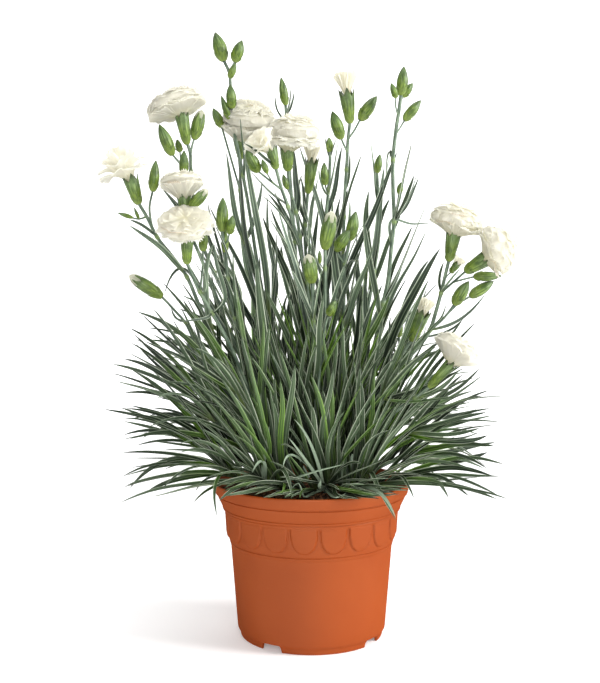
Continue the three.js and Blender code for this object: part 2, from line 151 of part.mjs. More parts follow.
    leaves: [[[[47.9,40.0,285.3],[44.1,43.0,309.1],[42.0,45.0,335.6]],2.5],[[[47.8,40.0,285.9],[50.6,36.0,303.7],[55.2,34.0,328.9]],2.9],[[[44.0,37.0,243.4],[38.6,42.0,269.3],[40.8,46.0,300.9]],5.3],[[[43.0,36.2,238.0],[46.2,30.0,268.9],[54.2,28.0,294.2]],5.5],[[[21.4,18.4,123.1],[16.6,24.7,160.2],[11.4,31.1,197.4]],5.7],[[[21.4,18.4,123.1],[52.0,24.1,167.6],[79.4,30.1,212.7]],5.7],[[[27.1,23.3,156.0],[30.8,13.6,196.2],[34.3,2.3,236.7]],5.3],[[[27.1,23.3,156.0],[36.7,38.5,190.7],[45.5,50.5,226.0]],5.2],[[[33.5,28.4,189.5],[50.1,30.4,220.4],[64.2,33.3,251.7]],4.8],[[[33.5,28.4,189.5],[33.1,38.7,228.9],[32.5,48.9,268.4]],4.7],[[[41.8,35.2,231.0],[53.6,47.4,258.8],[65.0,59.0,286.8]],4.3],[[[41.8,35.2,231.0],[46.0,29.8,273.4],[49.9,23.0,316.0]],5.4]] },
  { name: 'flower_stem_17', r: [1.6,1.2],
    path: [[22.0,4.0,101.1],[30.3,8.0,141.9],[39.1,10.0,175.8],[45.9,12.0,202.9],[48.6,13.0,221.2],[52.0,14.0,238.1],[54.0,15.0,258.4],[56.0,16.0,277.3],[55.3,17.0,298.9],[55.2,18.0,319.1],[57.2,19.0,339.3],[59.3,20.0,352.9],[60.6,20.0,363.5]],
    nodes: [[56.0,16.0,277.3],[48.6,13.0,221.2],[55.2,18.0,319.1]],
    branches: [[[[58.7,19.7,348.7],[56.6,17.0,355.8],[56.9,16.0,360.9]],0.55],[[[59.8,20.0,356.9],[61.4,22.0,360.5],[62.2,23.0,362.7]],0.5],[[[56.9,18.8,336.1],[60.5,21.0,341.6],[63.7,23.0,346.9]],0.6],[[[56.0,16.0,277.3],[57.7,13.0,287.2],[58.8,11.0,295.8]],0.7]],
    buds: [[[60.5,20.0,363.1],[62.5,20.0,382.2],3.89,0],[[57.0,16.0,360.6],[53.4,15.0,370.1],2.35,0],[[62.0,22.9,362.4],[69.1,25.0,371.7],2.88,0],[[63.4,22.9,346.6],[74.8,26.0,360.4],3.57,0],[[58.8,11.0,295.4],[60.0,10.0,303.7],2.18,0]],
    flowers: [],
    leaves: [[[[56.0,16.0,277.3],[61.9,9.0,305.0],[66.9,7.0,331.3]],4.4],[[[56.0,16.0,277.3],[65.1,20.0,295.1],[70.1,24.0,309.6]],2.7],[[[56.0,16.0,277.3],[64.5,14.0,290.6],[70.9,12.0,310.6]],3.0],[[[56.2,15.6,278.6],[66.8,24.0,292.6],[74.0,28.0,309.2]],2.4],[[[54.3,15.1,261.1],[55.1,22.0,278.9],[69.5,22.0,276.2],[82.9,20.0,276.8]],2.2],[[[49.0,13.1,223.2],[58.2,24.0,250.3],[70.3,30.0,275.8]],3.2],[[[49.0,13.1,223.2],[61.1,4.0,250.2],[76.4,0.0,289.8]],3.5],[[[55.2,17.8,315.8],[53.0,24.0,325.1],[51.8,34.0,309.7]],2.2],[[[26.5,6.2,123.1],[18.1,5.7,161.4],[10.9,5.5,199.4]],5.2],[[[26.5,6.2,123.1],[52.9,13.5,167.4],[76.7,20.4,212.3]],4.8],[[[36.6,9.4,166.2],[55.8,-2.5,199.9],[74.0,-13.0,233.8]],5.3],[[[36.6,9.4,166.2],[38.0,21.8,203.9],[38.1,35.8,241.8]],5.4],[[[46.7,12.3,208.2],[63.3,17.0,240.7],[79.6,21.7,273.3]],4.3],[[[46.7,12.3,208.2],[39.9,6.1,243.0],[34.7,1.0,277.5]],5.6]] },
  { name: 'flower_stem_18', r: [1.7,1.1],
    path: [[25.0,-5.0,100.9],[28.2,-8.0,138.8],[43.0,-12.0,162.7],[58.4,-16.0,182.9],[70.5,-18.0,196.1],[76.8,-19.0,206.0],[80.5,-20.0,218.4],[83.5,-21.0,230.1],[85.9,-22.0,241.0],[88.3,-22.0,251.3]],
    nodes: [[76.8,-19.0,205.3],[83.5,-21.0,230.1]],
    branches: [[[[76.5,-19.0,205.5],[83.5,-22.0,212.0],[87.9,-23.0,217.2],[92.2,-24.0,223.7]],0.8],[[[84.8,-22.3,213.5],[95.1,-17.0,222.8],[103.9,-15.0,228.0]],0.7],[[[83.5,-21.0,230.1],[89.5,-24.0,235.9],[94.2,-27.0,240.4],[98.3,-29.0,244.3]],0.8],[[[90.8,-24.8,237.2],[99.2,-19.0,239.1],[106.0,-17.0,240.7]],0.65],[[[85.2,-21.7,237.8],[88.0,-16.0,241.0],[90.8,-14.0,243.6]],0.5]],
    buds: [[[91.7,-23.9,222.9],[100.8,-26.0,237.9],4.19,2],[[103.5,-15.0,227.8],[119.1,-13.0,237.7],3.75,0],[[105.6,-17.0,240.7],[123.9,-15.0,241.0],3.25,0]],
    flowers: [[10,[88.3,-22.0,250.9],[91.4,-22.0,269.3],4.83,[92.6,-22.0,274.4],[0.28,-0.05,0.959],17.1,11.6,6],[11,[98.0,-28.9,244.1],[111.3,-33.0,252.8],5.08,[113.3,-36.0,256.6],[0.911,-0.152,0.384],15.9,15.2,6],[14,[90.6,-14.1,243.3],[95.0,-12.0,248.8],2.62,[96.4,-11.0,250.8],[0.6,0.0,0.8],3.6,5.2,4]],
    leaves: [[[[43.6,-12.1,163.4],[57.9,-26.0,214.1],[81.6,-34.0,259.5]],6.1],[[[44.7,-12.4,164.8],[63.9,-4.0,225.0],[78.3,2.0,251.5]],3.3],[[[76.6,-19.0,205.6],[96.2,-28.0,214.2],[110.1,-36.0,230.4]],2.6],[[[73.7,-18.5,201.1],[88.4,-10.0,204.2],[99.5,-6.0,211.9]],2.2],[[[76.6,-19.0,205.6],[84.5,-14.0,213.6],[88.0,-12.0,222.7]],2.1],[[[83.5,-21.0,230.1],[88.0,-30.0,237.9],[94.2,-35.0,246.2]],2.6],[[[83.5,-21.0,230.1],[83.6,-14.0,241.6],[86.4,-12.0,250.1]],2.0],[[[26.8,-6.8,123.1],[18.6,-17.6,160.5],[12.7,-26.8,197.9]],4.7],[[[26.8,-6.8,123.1],[38.1,-1.9,171.4],[48.1,1.3,219.7]],5.5]] },
  { name: 'flower_stem_19', r: [1.5,1.05],
    path: [[23.0,-15.0,100.8],[26.2,-21.0,134.2],[38.3,-25.0,154.4],[49.5,-29.0,176.3],[56.3,-31.0,189.3],[60.0,-32.0,195.2],[63.7,-33.0,200.4]],
    nodes: [[56.3,-31.0,189.3]],
    branches: [],
    buds: [],
    flowers: [[13,[63.6,-33.0,200.0],[70.2,-34.0,218.3],5.09,[71.7,-34.0,222.1],[0.352,0.0,0.936],5.4,10.2,4]],
    leaves: [[[[56.3,-31.0,189.3],[59.6,-22.0,202.9],[63.8,-18.0,217.6]],1.9],[[[49.3,-28.9,175.8],[52.0,-22.0,186.7],[49.0,-18.0,200.7]],1.9],[[[56.1,-30.9,188.9],[65.6,-40.0,194.5],[71.7,-46.0,212.5]],2.8],[[[53.2,-30.1,183.5],[64.5,-26.0,193.5],[83.0,-22.0,198.4]],2.6],[[[25.2,-19.0,123.1],[30.0,-36.8,159.1],[35.0,-56.4,194.8]],5.8],[[[25.2,-19.0,123.1],[35.5,-12.1,169.8],[45.2,-6.7,216.3]],4.6]] },
  { name: 'flower_stem_20', r: [1.5,1.05],
    path: [[28.0,-20.0,100.4],[22.0,-30.0,127.8],[37.4,-40.0,142.3],[51.6,-51.0,156.5],[63.2,-59.0,166.3],[71.8,-64.0,174.2]],
    nodes: [[63.2,-59.0,166.3]],
    branches: [],
    buds: [],
    flowers: [[12,[71.5,-63.9,173.9],[84.7,-71.0,189.9],3.77,[86.5,-73.0,197.0],[0.548,0.1,0.831],14.2,7.2,6]],
    leaves: [[[[63.2,-59.0,166.3],[71.9,-62.0,181.4],[79.5,-64.0,192.6]],2.5],[[[63.2,-59.0,166.3],[79.4,-52.0,171.7],[91.4,-46.0,181.8]],3.4],[[[51.6,-51.0,156.5],[70.1,-46.0,169.8],[84.1,-44.0,184.7]],3.1]] },
  { name: 'flower_stem_21', r: [1.4,0.8],
    path: [[-25.0,-1.0,100.9],[-37.3,2.0,129.2],[-54.0,0.0,156.6],[-65.8,-2.0,177.0],[-72.8,-4.0,187.8],[-78.6,-6.0,199.9],[-83.6,-8.0,210.6],[-88.7,-9.0,216.6],[-94.5,-10.0,223.2],[-99.0,-10.0,227.8]],
    nodes: [[-83.6,-8.0,210.6],[-72.8,-4.0,187.8]],
    branches: [],
    buds: [[[-98.7,-10.0,227.6],[-119.4,-13.0,241.6],4.43,1]],
    flowers: [],
    leaves: [[[[-72.6,-3.9,187.4],[-81.9,-12.0,197.7],[-91.2,-16.0,213.7]],2.3],[[[-72.6,-3.9,187.4],[-76.8,4.0,204.7],[-84.5,8.0,222.0]],2.3],[[[-83.6,-8.0,210.6],[-89.9,-4.0,213.1],[-93.4,-2.0,219.7]],2.0],[[[-34.7,1.4,123.1],[-39.2,-2.2,165.1],[-44.8,-5.1,206.5]],4.8],[[[-34.7,1.4,123.1],[-62.1,14.5,155.7],[-89.0,27.2,188.6]],4.4],[[[-57.3,-0.6,162.4],[-67.9,9.4,195.5],[-79.4,17.3,227.8]],5.2],[[[-57.3,-0.6,162.4],[-83.7,-16.0,189.8],[-109.8,-30.7,217.6]],4.8]] },
  { name: 'flower_stem_22', r: [1.5,1.05],
    path: [[1.0,29.0,100.7],[-5.6,36.0,138.0],[-7.0,43.0,186.9],[-9.1,48.0,229.2],[-11.3,52.0,264.6],[-13.4,54.0,293.0],[-15.5,56.0,321.4],[-16.9,57.0,346.2],[-18.0,58.0,362.4]],
    nodes: [[-17.3,57.0,353.2],[-11.3,52.0,264.6]],
    branches: [],
    buds: [[[-17.9,58.0,362.1],[-21.2,58.0,381.4],3.02,0]],
    flowers: [],
    leaves: [[[[-17.2,57.2,349.6],[-23.4,60.0,357.1],[-25.5,62.0,369.4]],1.9],[[[-17.5,57.5,354.5],[-14.8,54.0,363.3],[-14.4,53.0,372.9]],1.8],[[[-17.5,57.5,354.5],[-13.4,60.0,362.7],[-12.0,62.0,372.9]],1.6],[[[-11.1,51.8,262.5],[-19.2,60.0,284.1],[-31.5,66.0,300.2]],2.9],[[[-11.1,51.8,262.5],[-4.1,62.0,284.2],[-7.7,68.0,313.2]],3.6],[[[-8.8,47.3,223.5],[-18.4,56.0,244.8],[-21.3,60.0,262.7]],3.6],[[[-3.0,33.2,123.1],[1.5,38.9,165.5],[2.9,45.1,207.2]],4.3],[[[-3.0,33.2,123.1],[-19.8,40.3,161.4],[-36.4,47.4,199.7]],5.1],[[[-6.2,38.8,157.6],[-6.4,52.0,189.7],[-6.6,65.5,221.7]],5.1],[[[-6.2,38.8,157.6],[-9.1,26.5,197.3],[-11.9,15.6,236.8]],5.1],[[[-7.5,44.2,196.8],[-20.2,50.6,239.1],[-34.0,57.1,281.3]],4.8],[[[-7.5,44.2,196.8],[4.2,48.3,226.6],[14.4,52.3,256.4]],5.6]] },
  { name: 'flower_stem_23', r: [1.3,0.8],
    path: [[19.0,-1.0,101.2],[25.9,0.0,136.3],[42.7,2.0,161.1],[53.5,4.0,180.4],[58.9,5.0,191.2],[58.8,5.0,200.6]],
    nodes: [[58.2,5.0,189.8]],
    branches: [],
    buds: [[[58.8,5.0,200.2],[59.5,5.0,211.4],2.52,0]],
    flowers: [],
    leaves: [[[[57.3,4.7,188.0],[53.2,10.0,201.0],[54.0,12.0,213.7]],2.2],[[[58.2,4.9,189.8],[61.6,-2.0,199.7],[64.5,-5.0,217.1]],2.1],[[[42.7,2.0,161.1],[54.9,12.0,175.6],[59.2,16.0,189.0]],3.4],[[[23.3,-0.4,123.1],[46.4,10.1,159.3],[71.2,21.7,195.1]],5.3],[[[23.3,-0.4,123.1],[19.9,-7.9,163.1],[16.4,-15.5,203.1]],5.8]] },
  { name: 'flower_stem_24', r: [1.3,0.7],
    path: [[9.0,-26.0,100.8],[3.1,-42.0,141.3],[4.2,-47.0,173.7],[5.7,-49.0,196.4],[8.5,-50.0,212.7],[10.3,-50.0,217.1]],
    nodes: [[5.4,-49.0,195.2]],
    branches: [],
    buds: [[[10.1,-50.0,216.7],[14.6,-50.0,226.4],2.8,0]],
    flowers: [],
    leaves: [[[[5.5,-48.8,193.9],[-0.3,-56.0,208.1],[-5.9,-60.0,226.7]],3.1],[[[5.5,-48.8,193.9],[11.2,-40.0,208.4],[16.4,-36.0,229.8]],2.8],[[[5.7,-34.8,123.1],[8.9,-38.8,167.7],[12.3,-42.5,212.3]],4.8],[[[5.7,-34.8,123.1],[-4.6,-55.2,154.3],[-15.2,-76.0,185.3]],4.8]] },
];
const SHOOTS = [
  { name: 'leaf_shoot_01', r: 1.7, n: 17, spread: 38, length: [78,112], axis: [-0.758,-0.52,0.394],
    path: [[-31.0,-9.0,100.5],[-35.5,-14.0,103.8],[-47.0,-20.0,108.3],[-55.8,-26.0,113.4]],
    leaves: [[[[-55.8,-26.0,113.4],[-84.7,-34.0,126.5],[-121.5,-40.0,128.9]],3.5],[[[-53.3,-24.3,111.9],[-86.4,-30.0,123.9],[-117.3,-36.0,104.9]],4.1],[[[-50.2,-22.2,110.1],[-78.7,-30.0,112.2],[-107.3,-34.0,101.9]],4.1],[[[-49.7,-21.8,109.8],[-67.3,-12.0,110.1],[-83.2,-6.0,106.9]],3.9],[[[-54.8,-25.4,112.8],[-70.9,-44.0,123.1],[-92.6,-58.0,121.3]],2.4],[[[-46.8,-19.9,108.2],[-61.5,-36.0,106.8],[-75.3,-46.0,98.0]],3.0],[[[-52.2,-23.5,111.3],[-65.0,-40.0,112.8],[-73.6,-50.0,105.8]],1.9],[[[-53.0,-24.1,111.8],[-58.7,-64.0,116.2],[-58.2,-72.0,95.0]],2.4],[[[-55.8,-26.0,113.4],[-69.7,-22.0,119.9],[-122.2,-20.0,122.2]],2.2]] },
  { name: 'leaf_shoot_02', r: 1.7, n: 15, spread: 38, length: [78,112], axis: [-0.813,0.242,0.53],
    path: [[-31.0,4.0,100.6],[-37.6,8.0,106.3],[-51.5,12.0,115.2],[-64.6,14.0,122.5]],
    leaves: [[[[-64.6,14.0,122.5],[-101.7,0.0,141.7],[-136.6,-18.0,154.2]],3.4],[[[-62.6,13.7,121.4],[-96.2,10.0,133.4],[-127.8,8.0,142.6]],3.1],[[[-60.9,13.4,120.5],[-95.3,2.0,133.3],[-127.0,-6.0,131.8]],3.1],[[[-64.3,14.0,122.3],[-91.4,28.0,128.6],[-119.7,36.0,130.2]],3.2],[[[-56.7,12.8,118.1],[-80.4,22.0,119.1],[-103.6,30.0,119.8]],3.5],[[[-64.6,14.0,122.5],[-87.4,24.0,136.9],[-113.8,30.0,145.9]],3.8],[[[-59.3,13.2,119.6],[-81.0,-6.0,127.8],[-106.3,-16.0,132.7]],3.1]] },
  { name: 'leaf_shoot_03', r: 1.7, n: 15, spread: 38, length: [78,112], axis: [-0.585,-0.304,0.751],
    path: [[-27.0,-13.0,100.7],[-32.6,-20.0,119.5],[-47.9,-26.0,134.3],[-63.5,-32.0,147.6]],
    leaves: [[[[-63.5,-32.0,147.6],[-96.4,-40.0,165.3],[-123.8,-46.0,175.5]],4.5],[[[-63.2,-31.9,147.3],[-94.7,-28.0,166.5],[-130.3,-26.0,178.6]],3.2],[[[-61.7,-31.3,146.0],[-90.8,-44.0,173.4],[-124.4,-56.0,187.0]],4.0],[[[-63.5,-32.0,147.6],[-82.7,-50.0,162.1],[-102.7,-62.0,172.8]],2.9],[[[-60.2,-30.7,144.7],[-80.2,-44.0,150.5],[-95.7,-56.0,151.6]],2.9]] },
  { name: 'leaf_shoot_04', r: 1.7, n: 15, spread: 38, length: [78,112], axis: [-0.531,0.278,0.8],
    path: [[-25.0,14.0,100.7],[-29.8,20.0,115.2],[-44.5,26.0,135.2],[-59.5,32.0,152.7]],
    leaves: [[[[-59.5,32.0,152.7],[-99.0,36.0,171.9],[-129.6,40.0,187.1]],3.2],[[[-59.2,31.9,152.3],[-94.1,42.0,165.7],[-125.4,50.0,192.8]],4.5],[[[-57.9,31.4,150.8],[-90.9,26.0,171.5],[-122.5,22.0,201.6]],4.4],[[[-59.5,32.0,152.7],[-89.7,48.0,167.9],[-115.1,58.0,186.5]],3.9]] },
  { name: 'leaf_shoot_05', r: 1.7, n: 15, spread: 38, length: [78,112], axis: [-0.361,-0.338,0.869],
    path: [[-20.0,-22.0,100.7],[-27.0,-32.0,128.1],[-38.2,-40.0,149.3],[-47.8,-48.0,167.5]],
    leaves: [[[[-47.8,-48.0,167.5],[-72.6,-56.0,185.8],[-103.1,-62.0,201.7]],3.6],[[[-47.8,-48.0,167.5],[-65.7,-64.0,180.4],[-88.5,-76.0,197.8]],3.3],[[[-46.9,-47.3,165.8],[-65.0,-50.0,185.3],[-96.6,-50.0,207.1]],3.4],[[[-47.8,-48.0,167.5],[-61.2,-66.0,189.1],[-68.7,-76.0,206.2]],2.6]] },
  { name: 'leaf_shoot_06', r: 1.7, n: 26, spread: 38, length: [78,112], axis: [-0.359,0.338,0.87],
    path: [[-13.0,24.0,100.8],[-19.7,34.0,118.5],[-30.4,42.0,144.3],[-40.6,50.0,167.7]],
    leaves: [[[[-40.6,50.0,167.7],[-76.3,58.0,178.5],[-107.1,64.0,199.9]],4.2],[[[-40.6,50.0,167.7],[-60.0,64.0,180.9],[-80.3,72.0,195.7]],3.7]] },
  { name: 'leaf_shoot_07', r: 1.7, n: 11, spread: 38, length: [78,112], axis: [0.88,-0.412,0.237],
    path: [[32.0,-10.0,100.4],[33.3,-14.0,101.1],[46.2,-18.0,104.6],[57.6,-22.0,107.3]],
    leaves: [[[[57.6,-22.0,107.3],[83.0,-28.0,109.2],[108.2,-32.0,111.9]],2.7],[[[56.5,-21.6,107.1],[77.1,-34.0,112.9],[100.0,-44.0,101.4]],3.8],[[[53.7,-20.6,106.4],[75.5,-8.0,109.3],[93.0,2.0,90.4]],5.0],[[[55.2,-21.1,106.7],[71.9,-40.0,112.1],[83.7,-52.0,109.4]],2.7],[[[51.3,-19.8,105.8],[56.9,-44.0,113.6],[63.1,-58.0,103.1]],2.9],[[[56.7,-21.7,107.1],[68.9,-8.0,108.6],[81.4,2.0,106.1]],3.1],[[[39.8,-16.0,102.8],[37.3,-52.0,116.4],[50.6,-74.0,93.0]],3.2],[[[40.0,-16.1,102.9],[42.4,-34.0,117.5],[53.0,-44.0,125.7]],3.2],[[[42.8,-17.0,103.7],[45.8,-40.0,115.4],[59.6,-54.0,120.5]],2.9]] },
  { name: 'leaf_shoot_08', r: 1.7, n: 11, spread: 38, length: [78,112], axis: [0.863,0.28,0.42],
    path: [[30.0,6.0,100.6],[37.3,10.0,105.9],[51.3,14.0,112.1],[63.9,17.0,117.1]],
    leaves: [[[[63.9,17.0,117.1],[98.4,38.0,117.1],[134.8,60.0,120.0]],4.2],[[[62.7,16.7,116.7],[93.9,6.0,125.8],[122.6,-4.0,127.5]],4.3],[[[61.2,16.4,116.0],[92.7,6.0,114.9],[118.7,0.0,122.8]],5.1],[[[59.8,16.0,115.5],[88.9,30.0,110.6],[114.6,42.0,109.9]],5.9],[[[63.9,17.0,117.1],[90.7,34.0,124.1],[119.9,44.0,108.9]],3.0],[[[58.2,15.7,114.9],[79.0,-6.0,117.0],[105.2,-18.0,114.5]],2.8],[[[63.9,17.0,117.1],[71.9,-10.0,117.7],[81.5,-24.0,109.7]],2.8]] },
  { name: 'leaf_shoot_09', r: 1.7, n: 12, spread: 32, length: [78,112], axis: [0.57,-0.366,0.736],
    path: [[29.0,-14.0,100.5],[32.9,-20.0,118.2],[46.7,-27.0,130.6],[60.2,-34.0,140.8]],
    leaves: [[[[60.2,-34.0,140.8],[86.0,-42.0,141.3],[105.2,-48.0,146.0]],2.9],[[[59.2,-33.5,140.0],[89.2,-28.0,134.0],[114.4,-24.0,137.9]],4.3],[[[60.2,-34.0,140.8],[85.4,-46.0,149.5],[108.5,-54.0,156.9]],3.7],[[[59.8,-33.8,140.5],[92.1,-30.0,145.3],[116.8,-28.0,151.6]],3.5],[[[58.0,-32.9,139.1],[83.3,-48.0,138.4],[102.7,-60.0,145.3]],3.2],[[[58.6,-33.2,139.6],[73.2,-54.0,139.4],[87.0,-66.0,143.1]],2.9]] },
  { name: 'leaf_shoot_10', r: 1.7, n: 12, spread: 38, length: [78,112], axis: [0.529,0.315,0.788],
    path: [[25.0,15.0,100.7],[28.3,22.0,116.3],[42.5,28.0,133.5],[56.9,34.0,148.2]],
    leaves: [[[[56.9,34.0,148.2],[91.3,40.0,151.7],[122.8,44.0,171.2]],3.6],[[[55.9,33.6,147.2],[92.5,50.0,153.3],[123.3,60.0,174.7]],3.9],[[[56.9,34.0,148.2],[82.3,24.0,149.5],[110.4,18.0,154.4]],3.8],[[[56.5,33.9,147.9],[91.9,44.0,139.7],[119.1,50.0,145.4]],5.4]] },
  { name: 'leaf_shoot_11', r: 1.7, n: 11, spread: 27, length: [70,96], axis: [0.331,-0.36,0.872],
    path: [[21.0,-22.0,100.6],[23.2,-32.0,128.1],[34.2,-40.0,147.4],[44.9,-48.0,163.7]],
    leaves: [[[[44.9,-48.0,163.7],[69.4,-58.0,172.4],[88.2,-64.0,183.4]],3.4],[[[44.9,-48.0,163.7],[65.9,-62.0,164.2],[89.0,-72.0,169.0]],2.8],[[[44.3,-47.6,162.8],[55.0,-60.0,178.7],[68.1,-68.0,195.4]],2.8],[[[44.9,-48.0,163.7],[62.9,-42.0,180.7],[80.3,-38.0,199.4]],2.6]] },
  { name: 'leaf_shoot_12', r: 1.7, n: 24, spread: 38, length: [78,112], axis: [0.318,0.355,0.879],
    path: [[14.0,25.0,100.7],[19.1,36.0,118.1],[28.6,44.0,144.0],[38.2,52.0,167.5]],
    leaves: [[[[38.2,52.0,167.5],[59.0,62.0,182.5],[78.6,70.0,198.0]],4.0],[[[38.2,52.0,167.5],[65.0,48.0,175.1],[91.7,46.0,188.1]],3.6]] },
  { name: 'leaf_shoot_13', r: 1.7, n: 34, spread: 27, length: [70,116], axis: [0.0,-0.287,0.958],
    path: [[-5.0,-34.0,100.4],[5.0,-35.5,104.2],[15.0,-38.0,109.5]],
    leaves: [[[[7.4,-36.1,105.4],[-0.3,-58.4,135.1],[-11.4,-64.8,154.0]],2.6],[[[7.4,-36.1,105.5],[-4.6,-61.6,128.2],[-15.0,-69.6,143.7]],2.6],[[[9.3,-36.6,106.5],[11.7,-50.4,151.4],[12.3,-48.8,176.4]],3.4],[[[9.3,-36.6,106.5],[6.1,-47.2,138.3],[-0.8,-44.0,181.6]],3.4],[[[10.3,-36.8,107.0],[20.2,-58.4,123.8],[30.3,-64.8,126.2]],2.6],[[[9.9,-36.7,106.8],[24.8,-52.0,139.1],[43.5,-58.4,172.4]],3.7],[[[9.8,-36.7,106.8],[15.1,-40.8,143.7],[24.8,-36.0,172.5]],4.0],[[[10.5,-36.9,107.1],[-7.7,-63.2,116.0],[-21.1,-71.2,119.4]],2.3],[[[9.0,-36.5,106.3],[-10.2,-60.0,129.7],[-18.1,-68.0,125.0]],1.9],[[[-0.5,-34.7,102.1],[-16.4,-60.0,107.9],[-27.3,-66.0,105.4]],2.9],[[[-1.4,-34.5,101.8],[-25.0,-60.0,114.1],[-42.0,-66.0,111.0]],2.9],[[[1.1,-34.9,102.7],[-7.7,-54.0,120.5],[-16.4,-58.0,132.5]],2.6],[[[-2.6,-34.4,101.3],[-12.7,-58.0,118.8],[-23.7,-64.0,127.3]],2.6],[[[-3.7,-34.2,100.9],[-11.4,-60.0,106.6],[-17.5,-65.0,105.2]],2.6],[[[13.9,-37.7,108.9],[14.6,-60.0,106.6],[21.8,-66.0,104.8]],2.6],[[[2.1,-35.1,103.1],[-5.2,-57.0,104.1],[-8.9,-60.0,113.5],[-13.3,-62.0,110.2]],1.7],[[[5.8,-35.7,104.6],[4.9,-50.0,108.4],[5.5,-49.0,113.9]],2.9],[[[8.2,-36.3,105.9],[12.7,-60.0,104.8],[20.7,-62.0,107.7]],1.9],[[[3.5,-35.3,103.6],[-5.2,-58.0,108.7],[-7.7,-64.0,104.3]],1.9],[[[9.7,-36.7,106.7],[10.9,-60.0,112.3],[17.4,-66.0,109.7]],2.1],[[[12.1,-37.3,108.0],[24.5,-58.0,118.8],[46.5,-62.0,129.5]],2.3],[[[6.5,-35.9,105.0],[-10.2,-60.0,132.9],[-20.0,-64.0,137.2]],1.9],[[[10.3,-36.8,107.0],[1.0,-54.0,145.7],[-4.0,-52.0,165.4]],2.6],[[[12.2,-37.3,108.0],[10.8,-60.0,140.3],[20.5,-62.0,159.2]],2.3],[[[10.1,-36.8,106.9],[19.5,-61.0,110.0],[36.4,-67.0,107.5]],2.5],[[[8.4,-36.4,106.0],[17.0,-62.0,105.8],[29.7,-67.0,105.0]],2.2],[[[11.6,-37.1,107.7],[23.2,-60.0,114.8],[41.3,-66.0,115.9]],2.3],[[[2.8,-35.2,103.4],[-5.8,-58.0,107.5],[-13.8,-66.0,105.4]],2.1],[[[0.8,-34.9,102.6],[-15.1,-62.0,107.7],[-28.5,-67.0,105.6]],2.5],[[[8.7,-36.4,106.2],[24.3,-63.0,108.5],[48.7,-67.0,106.8]],2.6],[[[12.5,-37.4,108.2],[21.1,-50.0,132.4],[33.2,-54.0,178.1]],3.9],[[[11.6,-37.1,107.7],[23.5,-52.0,131.5],[52.6,-60.0,163.9]],3.1],[[[-2.1,-34.4,101.5],[-13.4,-46.0,122.9],[-16.5,-46.0,135.6]],2.9],[[[6.5,-35.9,105.0],[-5.2,-46.0,124.1],[-7.7,-46.0,136.9]],2.9],[[[-4.3,-34.1,100.6],[-17.7,-52.0,120.2],[-26.4,-54.0,125.6]],2.6]] },
  { name: 'leaf_shoot_14', r: 1.7, n: 34, spread: 27, length: [70,116], axis: [-0.233,-0.279,0.931],
    path: [[-12.0,-33.0,100.3],[-22.0,-34.0,104.6],[-35.0,-33.0,111.0]],
    leaves: [[[[-31.7,-33.3,109.4],[-28.4,-48.4,133.4],[-27.0,-51.6,147.8]],2.9],[[[-32.2,-33.2,109.6],[-31.5,-50.0,145.1],[-38.8,-53.2,167.5]],3.4],[[[-32.7,-33.2,109.9],[-38.8,-54.8,139.5],[-43.4,-61.2,158.5]],3.1],[[[-33.3,-33.1,110.1],[-44.8,-59.6,111.6],[-57.2,-69.2,104.2]],3.1],[[[-30.2,-33.4,108.6],[-31.0,-66.0,127.7],[-36.7,-75.6,122.7]],2.6],[[[-29.7,-33.4,108.4],[-14.0,-42.0,131.1],[-10.2,-38.8,162.6]],3.7],[[[-32.2,-33.2,109.6],[-23.0,-37.2,143.2],[-19.9,-32.4,179.8]],4.0],[[[-27.7,-33.6,107.4],[-17.5,-62.8,122.2],[-12.6,-72.4,106.1]],2.8],[[[-32.3,-33.2,109.6],[-42.4,-58.0,114.4],[-54.4,-64.0,111.2]],2.6],[[[-26.6,-33.6,106.9],[-1.5,-62.0,119.5],[19.5,-60.0,125.4]],1.9],[[[-31.7,-33.3,109.4],[-47.5,-56.0,119.0],[-66.3,-62.0,117.0]],2.6],[[[-22.1,-34.0,104.6],[-17.0,-58.0,112.5],[-19.4,-65.0,107.0]],1.9],[[[-32.8,-33.2,109.9],[-45.0,-56.0,132.2],[-55.8,-60.0,136.6]],2.3],[[[-29.7,-33.4,108.4],[-27.6,-54.0,139.4],[-33.7,-56.0,159.7]],2.6],[[[-25.1,-33.8,106.1],[-41.2,-58.0,116.3],[-61.8,-64.0,111.8]],2.6],[[[-22.1,-34.0,104.6],[-37.4,-60.0,112.9],[-55.5,-66.0,109.1]],2.5],[[[-21.0,-33.9,104.2],[-31.2,-60.0,111.0],[-45.7,-66.0,107.9]],2.4],[[[-19.7,-33.8,103.6],[-25.0,-60.0,109.8],[-35.9,-66.0,107.3]],2.4],[[[-21.9,-34.0,104.6],[-38.5,-62.0,108.9],[-54.4,-65.0,106.4]],2.6],[[[-17.5,-33.6,102.7],[-22.5,-62.0,107.0],[-31.0,-66.0,105.4]],2.4],[[[-32.8,-33.2,109.9],[-39.3,-44.0,118.7],[-49.2,-48.0,125.8]],2.9],[[[-34.3,-33.1,110.7],[-41.6,-50.0,119.2],[-51.2,-56.0,122.8]],2.6]] },
  { name: 'leaf_shoot_15', r: 1.7, n: 34, spread: 29, length: [70,116], axis: [0.233,-0.279,0.931],
    path: [[19.0,-34.0,100.0],[28.0,-33.0,104.6],[38.2,-30.9,110.8]],
